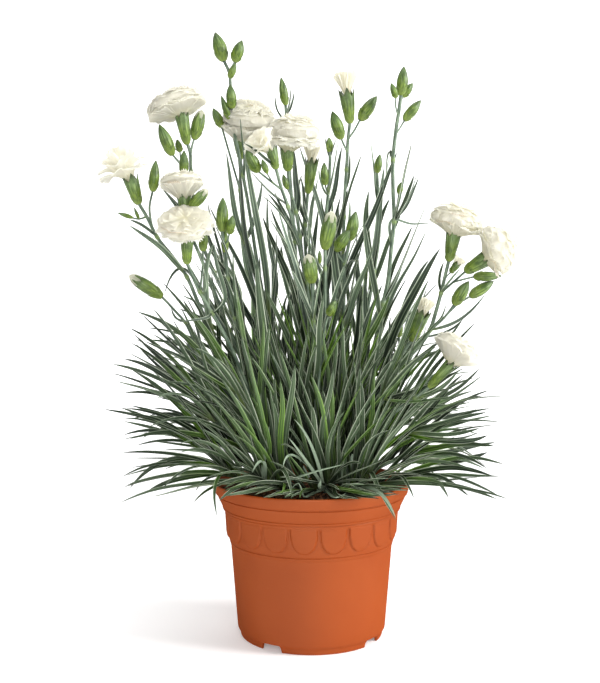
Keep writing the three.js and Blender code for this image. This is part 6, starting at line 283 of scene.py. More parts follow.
         path=[[-9.0,-12.0,101.4],[-9.0,-14.0,110.0],[-10.0,-17.0,126.0]],
         leaves=[[[[-9.1,-14.2,111.2],[-13.6,-22.0,137.0],[-18.0,-26.0,163.7]],3.3],[[[-9.1,-14.2,111.2],[-18.1,-24.0,128.1],[-28.3,-28.0,152.2]],3.3],[[[-9.1,-14.2,111.2],[-7.7,-20.0,140.6],[-5.1,-22.0,168.4]],3.6]]),
    dict(name="leaf_shoot_20", r=1.7, n=40, spread=28, length=[80,126], axis=[0.079,-0.197,0.977],
         path=[[13.0,-16.0,101.2],[13.0,-18.0,110.0],[15.0,-21.0,126.0]],
         leaves=[[[[13.2,-18.4,111.9],[18.2,-26.0,137.6],[25.8,-28.0,163.9]],3.5],[[[13.2,-18.4,111.9],[22.0,-30.0,129.1],[34.5,-34.0,150.4]],3.2]]),
]
GOLDEN = 137.508
REACH = (128.0, 101.0)
SOIL_EDGE, SOIL_CROWN, SOIL_RIM = 97.0, 101.0, 62.0
UP = np.array([0.0, 0.0, 1.0])
FRONT = np.array([0.0, 1.0, 0.0])


def soil_height(x, y):
    return SOIL_CROWN - (SOIL_CROWN - SOIL_EDGE) * (x * x + y * y) / SOIL_RIM ** 2


def unit(v):
    return v / max(np.linalg.norm(v), 1e-9)


def smooth(a, b, x):
    t = np.clip((np.asarray(x, float) - a) / (b - a), 0, 1)
    return t * t * (3 - 2 * t)


def stream(seed):
    state = seed
    while True:
        state = (state * 1664525 + 1013904223) % 4294967296
        yield state / 4294967296


# ------------------------------------------------------------------ mesh building
class Bag:
    """Collects closed skins, in millimetres, and turns them into one object."""

    def __init__(self):
        self.v, self.q, self.t, self.mq, self.mt, self.tint, self.side, self.n = [], [], [], [], [], [], [], 0

    def add(self, v, quads=(), tris=(), mat=0, tint=None, side=None):
        v = np.asarray(v, float).reshape(-1, 3)
        if len(quads):
            self.q.append(np.asarray(quads, int) + self.n)
            self.mq.append(np.full(len(quads), mat))
        if len(tris):
            self.t.append(np.asarray(tris, int) + self.n)
            self.mt.append(np.full(len(tris), mat))
        self.v.append(v)
        self.tint.append(np.zeros((len(v), 4)) if tint is None else np.asarray(tint, float))
        self.side.append(np.zeros(len(v)) if side is None else np.asarray(side, float))
        self.n += len(v)

    def build(self, name, materials, sharp=48.0):
        v = np.vstack(self.v) * 0.001
        faces = [f for block in self.q for f in block.tolist()] + [f for block in self.t for f in block.tolist()]
        mats = np.concatenate(self.mq + self.mt)
        me = bpy.data.meshes.new(name)
        me.from_pydata(v.tolist(), [], faces)
        me.polygons.foreach_set("material_index", mats.astype(np.int32))
        me.polygons.foreach_set("use_smooth", np.ones(len(faces), bool))
        tint = me.attributes.new("tint", "FLOAT_COLOR", "POINT")
        tint.data.foreach_set("color", np.vstack(self.tint).astype(np.float32).ravel())
        side = me.attributes.new("side", "FLOAT", "POINT")
        side.data.foreach_set("value", np.concatenate(self.side).astype(np.float32))
        me.update()
        me.set_sharp_from_angle(angle=math.radians(sharp))
        for m in materials:
            me.materials.append(m)
        ob = bpy.data.objects.new(name, me)
        bpy.context.scene.collection.objects.link(ob)
        return ob


def transport(points, normal):
    """Tangent, normal and side at each point of a line, turning as little as they can."""
    p = np.asarray(points, float)
    t = np.gradient(p, axis=0)
    t /= np.maximum(np.linalg.norm(t, axis=1), 1e-9)[:, None]
    n = np.empty_like(p)
    last = np.asarray(normal, float)
    for i in range(len(p)):
        last = last - t[i] * (last @ t[i])
        if np.linalg.norm(last) < 1e-4:
            last = np.array([1.0, 0.1, 0.0]) - t[i] * t[i][0]
        last = unit(last)
        n[i] = last
    return t, n, np.cross(n, t)


def ring_quads(rows, k):
    i, j = np.meshgrid(np.arange(rows - 1), np.arange(k), indexing="ij")
    j1 = (j + 1) % k
    return np.stack([i * k + j, i * k + j1, (i + 1) * k + j1, (i + 1) * k + j], -1).reshape(-1, 4)


def skin(bag, rings, tip=None, root=None, mat=0, tint=None, side=None):
    """A closed skin over rings (rows, k, 3), with an apex or a flat cap at each end."""
    rows, k = rings.shape[:2]
    v = rings.reshape(-1, 3)
    quads = ring_quads(rows, k)
    j = np.arange(k)
    j1 = (j + 1) % k
    extra, tris = [], []
    tint = np.zeros((rows * k, 4)) if tint is None else tint.reshape(-1, 4)
    side = np.zeros(rows * k) if side is None else side.reshape(-1)
    n = rows * k
    extra.append(rings[0].mean(0) if root is None else root)
    tris.append(np.stack([np.full(k, n), j1, j], -1))
    extra.append(rings[-1].mean(0) if tip is None else tip)
    tris.append(np.stack([np.full(k, n + 1), (rows - 1) * k + j, (rows - 1) * k + j1], -1))
    tint = np.vstack([tint, tint[:k].mean(0)[None], tint[-k:].mean(0)[None]])
    side = np.concatenate([side, [side[:k].mean()], [side[-k:].mean()]])
    bag.add(np.vstack([v, extra]), quads, np.vstack(tris), mat, tint, side)


def spline(points, step=3.5):
    """Centripetal Catmull-Rom line through the points, about one sample a step."""
    p = np.asarray(points, float)
    if len(p) == 2:
        m = max(int(np.linalg.norm(p[1] - p[0]) / step), 2)
        return p[0] + (p[1] - p[0]) * np.linspace(0, 1, m + 1)[:, None]
    q = np.vstack([2 * p[0] - p[1], p, 2 * p[-1] - p[-2]])
    out = []
    for i in range(1, len(q) - 2):
        a, b, c, d = q[i - 1:i + 3]
        t0 = 0.0
        t1 = t0 + max(np.linalg.norm(b - a), 1e-3) ** 0.5
        t2 = t1 + max(np.linalg.norm(c - b), 1e-3) ** 0.5
        t3 = t2 + max(np.linalg.norm(d - c), 1e-3) ** 0.5
        m = max(int(round(np.linalg.norm(c - b) / step)), 1)
        for t in np.linspace(t1, t2, m, endpoint=False):
            a1 = (t1 - t) / (t1 - t0) * a + (t - t0) / (t1 - t0) * b
            a2 = (t2 - t) / (t2 - t1) * b + (t - t1) / (t2 - t1) * c
            a3 = (t3 - t) / (t3 - t2) * c + (t - t2) / (t3 - t2) * d
            b1 = (t2 - t) / (t2 - t0) * a1 + (t - t0) / (t2 - t0) * a2
            b2 = (t3 - t) / (t3 - t1) * a2 + (t - t1) / (t3 - t1) * a3
            out.append((t2 - t) / (t2 - t1) * b1 + (t - t1) / (t2 - t1) * b2)
    out.append(p[-1])
    return np.array(out)


# ------------------------------------------------------------------ plant organs
M_STEM, M_LEAF, M_BUD, M_PETAL = 0, 1, 2, 3
TOP_X = np.array([1.0, 0.55, 0.0, -0.55, -1.0])
LOW_X = np.array([-0.55, 0.0, 0.55])


def leaf(bag, base, middle, tip, width, rng, young=0.0, fold=0.46, stations=13, twist=None, thick=0.5, pale=0.0, line=None, roll=0.35, face=0.7):
    """A narrow channelled blade with a keel and thin edges."""
    base, middle, tip = (np.asarray(p, float) for p in (base, middle, tip))
    c = 2 * middle - 0.5 * (base + tip)
    t = np.linspace(0, 1, stations + 1)[:-1] ** 0.86
    tt = np.append(t, 1.0)[:, None]
    p = (1 - tt) ** 2 * base + 2 * tt * (1 - tt) * c + tt ** 2 * tip
    if line is not None:
        run = np.concatenate([[0], np.cumsum(np.linalg.norm(np.diff(line, axis=0), axis=1))])
        p = np.stack([np.interp(tt[:, 0] * run[-1], run, line[:, k]) for k in range(3)], 1)
    length = np.linalg.norm(np.diff(p, axis=0), axis=1).sum()
    out = (tip - base) * np.array([1, 1, 0])
    out = unit(out) if np.linalg.norm(out) > 1e-6 else out
    tan, nor, sid = transport(p, UP - out - face * FRONT)
    wave = 0.012 * length * np.sin(2 * math.pi * (tt[:, 0] * rng.uniform(0.6, 1.3) + rng.uniform())) * 4 * tt[:, 0] * (1 - tt[:, 0])
    p = p + sid * wave[:, None]
    turn = rng.uniform(-0.6, 0.6) if twist is None else twist
    lay = rng.uniform(0.3, 1.0) * roll * (1 if rng.uniform() < 0.5 else -1)
    a = (lay * (0.35 + 0.65 * smooth(0, 0.3, tt[:, 0])) + turn * tt[:, 0] ** 1.4)[:, None]
    n2, s2 = nor * np.cos(a) + sid * np.sin(a), sid * np.cos(a) - nor * np.sin(a)
    f = np.clip(0.6 + 1.9 * t, 0, 1.0) * (1 - t ** 3.8) ** 0.8
    hw = 0.5 * width * np.maximum(f, 0.08)
    depth = fold * width * (1.0 - 0.55 * t) * np.maximum(f, 0.1)
    th = thick * (0.5 + 0.5 * f) * (1.25 - 0.5 * t)
    pts, tint, side = [], [], []
    for x, low in [(x, 0) for x in TOP_X] + [(x, 1) for x in LOW_X]:
        y = depth * abs(x) ** 1.1 - (th * (1 - 0.55 * abs(x)) if low else 0)
        pts.append(p[:-1] + s2[:-1] * (x * hw)[:, None] + n2[:-1] * y[:, None])
        tint.append(np.stack([np.full_like(t, 0.5 + 0.5 * x), t, np.full_like(t, 0.0), np.full_like(t, young)], -1))
        side.append(np.full_like(t, 0.5 if abs(x) > 0.9 else low))
    rings = np.stack(pts, 1)
    tint = np.stack(tint, 1)
    tint[..., 2] = rng.uniform(0, 1) if not pale else 1.0 + pale
    skin(bag, rings, tip=p[-1], mat=M_LEAF, tint=tint, side=np.stack(side, 1))


def stem(bag, line, r0, r1, swellings, rng, sides=11):
    """A round stem with a swollen ring at each leaf node."""
    p = spline(line, 3.2)
    run = np.concatenate([[0], np.cumsum(np.linalg.norm(np.diff(p, axis=0), axis=1))])
    at = [run[np.argmin(np.linalg.norm(p - np.asarray(s), axis=1))] for s in swellings]
    extra = np.array([x + d for x in at for d in (-2.4, -1.2, 0, 1.2, 2.6, 5)])
    u = np.sort(np.concatenate([run, extra[(extra > 0.5) & (extra < run[-1] - 0.5)]]))
    u = u[np.concatenate([[True], np.diff(u) > 0.05])]
    p = np.stack([np.interp(u, run, p[:, k]) for k in range(3)], 1)
    mask = np.zeros(len(u))
    for x in at:
        mask = np.maximum(mask, np.exp(-((u - x) / 1.5) ** 2))
    radius = (r0 + (r1 - r0) * u / u[-1]) * (1 + 0.35 * mask)
    tan, nor, sid = transport(p, np.array([0.2, 1.0, 0.1]))
    a = 2 * math.pi * np.arange(sides) / sides
    rings = p[:, None] + radius[:, None, None] * (np.cos(a)[None, :, None] * sid[:, None] + np.sin(a)[None, :, None] * nor[:, None])
    tint = np.zeros((len(p), sides, 4))
    tint[..., 0] = (a / (2 * math.pi))[None]
    tint[..., 1] = (u / 100.0)[:, None]
    tint[..., 2] = rng.uniform()
    tint[..., 3] = mask[:, None]
    skin(bag, rings, mat=M_STEM, tint=tint)
    return p


def frame_of(a, b):
    t = unit(b - a)
    n = np.array([0.0, 1.0, 0.0]) if abs(t[1]) < 0.9 else UP
    n = unit(n - t * (n @ t))
    return t, n, np.cross(n, t)


BUD_S = np.array([0, 0.02, 0.06, 0.12, 0.2, 0.3, 0.4, 0.5, 0.6, 0.7, 0.79, 0.87, 0.935, 0.98])


def bud_profile(s, point):
    """Share of the full radius along a bud: narrow at the stalk, fullest below the middle, drawn to a point."""
    low = np.interp(s, [0, 0.03, 0.09, 0.18, 0.3, 0.42], [0.28, 0.44, 0.63, 0.83, 0.96, 1.0])
    return low * (1 - np.clip((s - 0.4) / 0.6, 0, 1) ** point) ** 0.9


def bracts(bag, a, b, radius_at, count, reach, rng, offset=0.0, slim=1.0):
    """Short pointed scales pressed to the base of a bud or calyx."""
    t, n, s = frame_of(a, b)
    length = np.linalg.norm(b - a)
    nu, nv = 7, 7
    for k in range(count):
        mid = offset + 2 * math.pi * k / count
        r = reach * rng.uniform(0.85, 1.12) * (1.0 if k % 2 else 0.82)
        u = np.linspace(0, 1, nu)
        v = np.linspace(-1, 1, nv)
        uu, vv = np.meshgrid(u, v, indexing="ij")
        spread = (1.05 if count < 4 else 0.82) * slim * (1 - uu ** 1.7) ** 0.75 * (0.8 + 0.4 * np.sin(math.pi * np.clip(uu * 1.3, 0, 1)))
        ang = mid + vv * spread
        height = (uu * r - 0.03) * length
        rad = np.interp(np.clip(uu * r, 0, 1), BUD_S, radius_at) + 0.08 + 0.26 * uu * (1 - 0.2 * vv ** 2)
        thick = 0.3 * (1 - 0.6 * np.abs(vv)) * (1 - 0.5 * uu)
        shells = []
        for lift in (thick, -thick * 0.4):
            q = rad + lift
            shells.append(a + t * height[..., None] + (q * np.cos(ang))[..., None] * s + (q * np.sin(ang))[..., None] * n)
        tint = np.zeros((nu, nv, 4))
        tint[..., 0] = vv * 0.5 + 0.5
        tint[..., 1] = uu * 0.4
        tint[..., 2] = rng.uniform()
        tint[..., 3] = 0.7
        shell(bag, shells[0], shells[1], M_BUD, tint)


def shell(bag, front, back, mat, tint, side_front=0.0, side_back=1.0):
    """A closed sheet from two matching grids of points (rows, columns, 3)."""
    nu, nv = front.shape[:2]
    i, j = np.meshgrid(np.arange(nu - 1), np.arange(nv - 1), indexing="ij")
    f = np.stack([i * nv + j, i * nv + j + 1, (i + 1) * nv + j + 1, (i + 1) * nv + j], -1).reshape(-1, 4)
    m = nu * nv
    g = f[:, ::-1] + m
    edge = [i0 * nv for i0 in range(nu)] + [(nu - 1) * nv + j0 for j0 in range(1, nv)] + [i0 * nv + nv - 1 for i0 in range(nu - 2, -1, -1)] + [j0 for j0 in range(nv - 2, 0, -1)]
    edge = np.array(edge)
    nxt = np.roll(edge, -1)
    rim = np.stack([edge, nxt, nxt + m, edge + m], -1)
    v = np.vstack([front.reshape(-1, 3), back.reshape(-1, 3)])
    # faces look away from the other sheet
    a, b, c = front[nu // 2, nv // 2], front[nu // 2 + 1 if nu // 2 + 1 < nu else nu // 2 - 1, nv // 2], front[nu // 2, nv // 2 + 1]
    away = np.cross(c - a, b - a) if nu // 2 + 1 < nu else -np.cross(c - a, b - a)
    if away @ (front[nu // 2, nv // 2] - back[nu // 2, nv // 2]) < 0:
        f, g, rim = f[:, ::-1], g[:, ::-1], rim[:, ::-1]
    quads = np.vstack([f, g, rim])
    bag.add(v, quads, mat=mat, tint=np.vstack([tint.reshape(-1, 4)] * 2), side=np.concatenate([np.full(m, side_front), np.full(m, side_back)]))


def bud(bag, a, b, radius, kind, rng):
    a, b = np.asarray(a, float), np.asarray(b, float)
    t, n, s = frame_of(a, b)
    length = np.linalg.norm(b - a)
    sides = 20
    ang = 2 * math.pi * np.arange(sides) / sides + rng.uniform(0, 1)
    point = {0: 2.1, 1: 2.6, 3: 1.7, 4: 1.8}.get(kind, 2.1)
    top = 0.9 if kind == 1 else 1.0
    S = BUD_S * top
    prof = bud_profile(BUD_S if kind != 1 else BUD_S * 0.8, point) * radius
    if kind == 1:
        prof = bud_profile(BUD_S * 0.84, 2.8) * radius
    groove = smooth(0.5, 0.95, BUD_S)[:, None] * (np.abs(np.cos(2.5 * ang)) ** 6)[None] * 0.16
    ribs = 0.012 * np.cos(15 * ang)[None] * smooth(0.02, 0.2, BUD_S)[:, None]
    q = prof[:, None] * (1 - groove + ribs)
    height = (S * length)[:, None] + np.zeros(sides)[None]
    if kind == 1:  # the teeth have parted: five points with dips between them
        height = height - length * 0.26 * smooth(0.68, 1, BUD_S)[:, None] * (1 - np.abs(np.sin(2.5 * ang))[None] ** 0.8)
    rings = a + t * height[..., None] + (q * np.cos(ang)[None])[..., None] * s + (q * np.sin(ang)[None])[..., None] * n
    tint = np.zeros((len(S), sides, 4))
    tint[..., 0] = (ang / (2 * math.pi) % 1)[None]
    tint[..., 1] = S[:, None]
    tint[..., 2] = rng.uniform()
    tint[..., 3] = {0: 0.15, 1: 0.35, 3: 0.0, 4: 0.6}.get(kind, 0.1)
    apex = b if kind != 1 else a + t * length * 0.84
    skin(bag, rings, tip=apex, mat=M_BUD, tint=tint)
    if kind == 1:  # furled petals between the teeth
        u = np.array([0.6, 0.7, 0.78, 0.85, 0.9, 0.95, 0.98])
        pr = radius * np.array([0.5, 0.78, 0.78, 0.7, 0.57, 0.38, 0.2])
        swirl = 5 * ang[None] + 9.0 * u[:, None]
        qq = pr[:, None] * (1 + 0.10 * np.cos(swirl))
        rr = a + t * (u * length)[:, None, None] + (qq * np.cos(ang)[None])[..., None] * s + (qq * np.sin(ang)[None])[..., None] * n
        tn = np.zeros((len(u), sides, 4))
        tn[..., 0] = (ang / (2 * math.pi) % 1)[None]
        tn[..., 1] = (0.02 + 0.45 * (u - 0.6))[:, None]
        tn[..., 2] = rng.uniform()
        tn[..., 3] = 0.6
        skin(bag, rr, tip=b, mat=M_PETAL, tint=tn)
    if radius > 2.2:
        bracts(bag, a, b, prof, 2, 0.36, rng, ang[0])
        bracts(bag, a, b, prof, 2, 0.27, rng, ang[0] + math.pi / 2)


def calyx(bag, a, m, radius, rng):
    """The green tube that holds the petals: five teeth, open at the top."""
    a, m = np.asarray(a, float), np.asarray(m, float)
    t, n, s = frame_of(a, m)
    length = np.linalg.norm(m - a)
    sides = 40
    ang = 2 * math.pi * np.arange(sides) / sides
    ph = rng.uniform(0, 1.2)
    tooth = 1 - np.abs(((ang + ph) * 5 / (2 * math.pi)) % 1 - 0.5) * 2
    top = 0.8 + 0.32 * tooth ** 1.05
    u = np.array([0, 0.03, 0.08, 0.16, 0.28, 0.42, 0.56, 0.7, 0.82, 0.92, 1.0])
    h = u[:, None] * top[None]
    prof = np.interp(h, [0, 0.04, 0.12, 0.3, 0.6, 0.86, 1.1], [0.24, 0.4, 0.56, 0.76, 0.91, 1.0, 1.12]) * radius
    prof = prof * (1 + 0.014 * np.cos(15 * (ang + ph))[None])
    outer = a + t * (h * length)[..., None] + (prof * np.cos(ang)[None])[..., None] * s + (prof * np.sin(ang)[None])[..., None] * n
    v = u[::-1][:7]
    h2 = v[:, None] * top[None]
    prof2 = np.interp(h2, [0, 0.04, 0.12, 0.3, 0.6, 0.86, 1.1], [0.24, 0.4, 0.56, 0.76, 0.91, 1.0, 1.12]) * radius - 0.34
    inner = a + t * (h2 * length)[..., None] + (prof2 * np.cos(ang)[None])[..., None] * s + (prof2 * np.sin(ang)[None])[..., None] * n
    rings = np.concatenate([outer, inner])
    tint = np.zeros((len(rings), sides, 4))
    tint[..., 0] = (ang / (2 * math.pi))[None]
    tint[:, :, 1] = np.concatenate([h, h2])
    tint[..., 2] = rng.uniform()
    tint[..., 3] = 0.3
    skin(bag, rings, mat=M_BUD, tint=tint)
    pr = np.interp(BUD_S, [0, 0.04, 0.12, 0.3, 0.6, 0.86, 1.1], [0.24, 0.4, 0.56, 0.76, 0.91, 1.0, 1.12]) * radius
    bracts(bag, a, m, pr, 2, 0.34, rng, ph)
    bracts(bag, a, m, pr, 2, 0.26, rng, ph + math.pi / 2)


def petal(bag, start, bend, end, axis, width, rng, ruffle, cup, nu=9, nv=17, thick=0.24, deep=0.0, waist=0.1):
    """A fan-shaped petal along start-bend-end, finely pleated, with a toothed and waved outer edge."""
    u = np.linspace(0, 1, nu) ** 0.85
    v = np.linspace(-1, 1, nv)
    uu, vv = np.meshgrid(u, v, indexing="ij")
    notch = 0.045 * np.where(np.arange(nv) % 2 == 0, 1.0, -0.8) * rng.uniform(0.4, 1.3, nv)
    edge = 1 - 0.13 * v ** 2 + notch
    run = uu * (1 + (edge[None] - 1) * uu ** 2)
    r = run[..., None]
    mid = (1 - r) ** 2 * start + 2 * r * (1 - r) * bend + r ** 2 * end
    tan = 2 * (1 - r) * (bend - start) + 2 * r * (end - bend)
    tan /= np.maximum(np.linalg.norm(tan, axis=-1, keepdims=True), 1e-6)
    across = np.cross(axis, unit((end - start) - axis * ((end - start) @ axis) + 1e-6))
    across = unit(across)
    nor = np.cross(tan, across)
    nor /= np.maximum(np.linalg.norm(nor, axis=-1, keepdims=True), 1e-6)
    w = width * (waist + (1 - waist) * smooth(0.08, 0.98, uu) ** 0.8)
    k = rng.uniform(1.4, 2.4)
    ph = rng.uniform(0, 6.28, 4)
    wave = ruffle * uu ** 2 * (np.sin(k * vv * 1.7 + ph[0]) + 0.5 * np.sin(2.6 * k * vv + ph[1]) + 0.3 * np.sin(4 * uu + ph[2]))
    pleat = 0.011 * width * smooth(0.2, 0.9, uu) * np.where(np.arange(nv) % 2 == 0, 1.0, -1.0)[None] * (0.6 + 0.4 * np.sin(3 * vv + ph[3]))
    lift = wave + pleat + cup * w * vv ** 2 * 0.5
    pos = mid + across * (0.5 * w * vv)[..., None] + nor * lift[..., None]
    du = np.gradient(pos, axis=0)
    dv = np.gradient(pos, axis=1)
    nn = np.cross(du, dv)
    nn /= np.maximum(np.linalg.norm(nn, axis=-1, keepdims=True), 1e-6)
    tint = np.zeros((nu, nv, 4))
    tint[..., 0] = vv * 0.5 + 0.5
    tint[..., 1] = uu
    tint[..., 2] = rng.uniform()
    tint[..., 3] = deep
    shell(bag, pos + nn * thick / 2, pos - nn * thick / 2, 0, tint)


def flower(bag, spec, rng):
    number, base, mouth, calyx_r, middle, facing, radius, depth, kind = spec
    base, mouth, middle = (np.asarray(x, float) for x in (base, mouth, middle))
    up = unit(np.asarray(facing, float))
    t = unit(mouth - base)
    n = np.array([0.0, 1.0, 0.0]) if abs(up[1]) < 0.8 else UP
    e1 = unit(np.cross(n, up))
    e2 = np.cross(up, e1)
    if kind == 4:  # opening: a brush of upright petals
        count = 13 if radius > 5 else 7
        for k in range(count):
            a = math.radians(k * GOLDEN)
            ring = math.sqrt((k + 0.5) / count)
            d = e1 * math.cos(a) + e2 * math.sin(a)
            start = mouth - t * 5 + d * 0.8
            hgt = depth * rng.uniform(0.52, 0.66) * (1.05 - 0.15 * ring)
            end = middle + d * radius * (0.25 + 0.7 * ring) + up * (hgt - 0.1 * depth)
            bend = 0.5 * (start + end) + up * depth * 0.12 + d * (0.05 * radius)
            petal(bag, start, bend, end, up, radius * 1.25, rng, 0.09 * radius, -0.25, nu=8, nv=11, deep=0.5)
        return
    if kind in (2, 3):  # loose heads
        if kind == 2:
            layers = [(7, 1.05, -0.2, 0.14, 0.82, 0.09, 0.0), (6, 0.92, 0.16, 0.2, 0.8, 0.12, 0.1), (5, 0.62, 0.46, 0.26, 0.74, 0.12, 0.25), (4, 0.36, 0.7, 0.3, 0.5, 0.12, 0.4)]
        else:
            layers = [(7, 1.0, 0.1, 0.16, 0.95, 0.06, 0.1), (6, 0.78, 0.3, 0.24, 0.8, 0.08, 0.25), (5, 0.46, 0.42, 0.26, 0.6, 0.09, 0.4)]
        flat = depth / max(radius * 0.5, 1e-6)
        for li, (count, reach, hz, hb, wide, ruf, deep) in enumerate(layers):
            off = rng.uniform(0, 6.28)
            for k in range(count):
                a = off + 2 * math.pi * (k + rng.uniform(-0.2, 0.2)) / count
                d = e1 * math.cos(a) + e2 * math.sin(a)
                rr = radius * reach * rng.uniform(0.93, 1.04)
                zz = radius * (hz + rng.uniform(-0.08, 0.08)) * min(flat, 1.3)
                start = mouth - t * 4 + d * calyx_r * 0.35
                end = middle + d * rr + up * zz
                bend = middle + d * rr * 0.36 + up * radius * (hb + rng.uniform(-0.03, 0.03)) * min(flat, 1.2)
                petal(bag, start, bend, end, up, radius * wide * rng.uniform(0.92, 1.08), rng, radius * ruf * 0.6, rng.uniform(-0.06, 0.08), deep=deep)
        return

    def dome(d, share, k=1.0):
        """A point of the head's dome: share 0 at its crown, 1 at its rim."""
        a = share * math.pi / 2
        full = 1.0 if number in (10, 11) else 0.8
        return middle + k * (radius * math.sin(a) ** (0.25 + 0.75 * full) * d + depth * math.cos(a) ** full * up)

    heart(bag, mouth, middle, up, e1, e2, radius, depth, calyx_r, rng)
    hang = HANG.get(number, 0.1)
    loose = 1.6 if number in (10, 11) else 1.3 if kind == 1 else 1.0
    # the outer rows, seen from below: from the mouth of the calyx out to the rim
    drops = [1.0] if abs(hang) < 0.12 else [1.0, 0.5] if hang < 0.3 else [1.0, 0.62, 0.25]
    broad = 0.86 if hang < 0.3 else 1.05
    for drop in drops:
        off = rng.uniform(0, 6.28)
        for k in range(11):
            a = off + 2 * math.pi * (k + rng.uniform(-0.15, 0.15)) / 11
            d = e1 * math.cos(a) + e2 * math.sin(a)
            rr = radius * rng.uniform(0.94, 1.03)
            start = mouth - t * 3 + d * calyx_r * 0.5
            end = middle + d * rr - up * radius * hang * drop * rng.uniform(0.75, 1.2)
            bend = mouth + (middle - mouth) * 0.42 + d * rr * 0.66
            if hang > 0.3:
                bend = middle + d * rr * 0.9 + up * radius * 0.12
            elif kind == 5:
                bend = middle + d * rr * 0.26 + up * radius * 0.04
            petal(bag, start, bend, end, up, radius * broad * rng.uniform(0.92, 1.08), rng, radius * 0.035 * loose, rng.uniform(-0.08, 0.02), deep=0.0)
    if number in FANS:  # petals that rise in front of the dome and spread like a fan
        for count, high, out in FANS[number]:
            for k in range(count):
                a = math.pi * (k + 0.5 + rng.uniform(-0.3, 0.3)) / count
                front = unit(np.cross(up, np.array([1.0, 0.0, 0.0])))
                front = front if front[1] < 0 else -front
                right = unit(np.cross(up, front))
                d = right * math.cos(a) + front * math.sin(a)
                toward = math.sin(a)
                rise = depth * high * (0.36 + 0.64 * toward ** 0.7) * rng.uniform(0.82, 1.14)
                rr = radius * out * (1 - 0.3 * toward) * (1.03 - 0.09 * high) * rng.uniform(0.95, 1.03)
                start = mouth - t * 3 + d * calyx_r * 0.5
                end = middle + d * rr + up * rise
                bend = mouth + (middle - mouth) * 0.5 + d * rr * 0.75 + up * rise * 0.1
                petal(bag, start, bend, end, up, radius * 0.74 * rng.uniform(0.9, 1.1), rng, radius * 0.07, rng.uniform(-0.1, 0.1), deep=0.0, waist=0.14)
    # the rows that lie on the dome like tiles
    rows = [(11, 0.44, 1.02, 0.86, 0.01, 0.0), (10, 0.26, 0.82, 0.76, 0.02, 0.0), (8, 0.12, 0.58, 0.62, 0.03, 0.1), (7, 0.02, 0.34, 0.42, 0.05, 0.3)]
    if kind in (1, 5) or number in (10, 11):
        rows = [(11, 0.5, 1.02, 0.84, 0.02, 0.0), (11, 0.36, 0.87, 0.76, 0.035, 0.0), (9, 0.22, 0.7, 0.68, 0.045, 0.05),
                (8, 0.1, 0.52, 0.56, 0.05, 0.15), (7, 0.03, 0.33, 0.42, 0.06, 0.35), (4, 0.0, 0.16, 0.26, 0.07, 0.6)]
    for li, (count, s0, s1, wide, lift, deep) in enumerate(rows):
        off = rng.uniform(0, 6.28)
        for k in range(count):
            a = off + 2 * math.pi * (k + rng.uniform(-0.22, 0.22)) / count
            d = e1 * math.cos(a) + e2 * math.sin(a)
            tip_at = s1 + rng.uniform(-0.05, 0.05) * loose
            scale = 0.96 + 0.015 * li
            start = dome(d, s0, scale * 0.93)
            end = dome(d, tip_at, scale) + up * radius * lift * rng.uniform(0.2, 1.6) * loose + d * radius * lift * 0.6
            half = dome(d, 0.5 * (s0 + tip_at), scale)
            bend = 2 * half - 0.5 * (start + end)
            petal(bag, start, bend, end, up, radius * wide * rng.uniform(0.9, 1.1), rng, radius * 0.028 * loose, rng.uniform(-0.22, -0.08), deep=deep, waist=0.35)
    if kind == 1:  # broad petals that stand up out of the head, side by side
        for back, count, high in ((0.34, 8, 1.0), (0.05, 7, 0.86)):
            for k in range(count):
                lean = math.radians(-78 + 156 * (k + 0.5 + rng.uniform(-0.25, 0.25)) / count)
                away = unit(np.array([0.0, 1.0, 0.0]) - up * up[1])
                right = np.cross(away, up)
                d = right * math.sin(lean) + up * math.cos(lean)
                size = math.hypot(radius * math.sin(lean), (depth + 0.16 * radius) * math.cos(lean)) * high * rng.uniform(0.92, 1.06)
                start = middle + up * depth * 0.15 + away * radius * back * 0.5 + right * math.sin(lean) * radius * 0.2
                end = middle + d * size + away * radius * (back + rng.uniform(-0.08, 0.08))
                bend = 0.5 * (start + end) + up * radius * 0.06 - away * radius * rng.uniform(0.02, 0.1)
                petal(bag, start, bend, end, -away, radius * rng.uniform(0.66, 0.84), rng, radius * 0.05, rng.uniform(-0.15, 0.15), deep=0.1, waist=0.3)


HANG = {1: 0.12, 3: 0.08, 4: 0.1, 5: 0.14, 7: 0.42, 10: 0.06, 11: 0.1, 12: -0.02}
FANS = {1: [(9, 1.02, 0.94), (8, 0.72, 1.0), (7, 0.4, 1.02)], 3: [(9, 1.0, 0.98), (8, 0.7, 1.02), (7, 0.4, 1.0)], 12: [(9, 1.0, 0.98), (8, 0.7, 1.0), (7, 0.4, 1.0)],
        5: [(9, 1.05, 0.9), (8, 0.8, 0.96), (8, 0.5, 1.0)]}


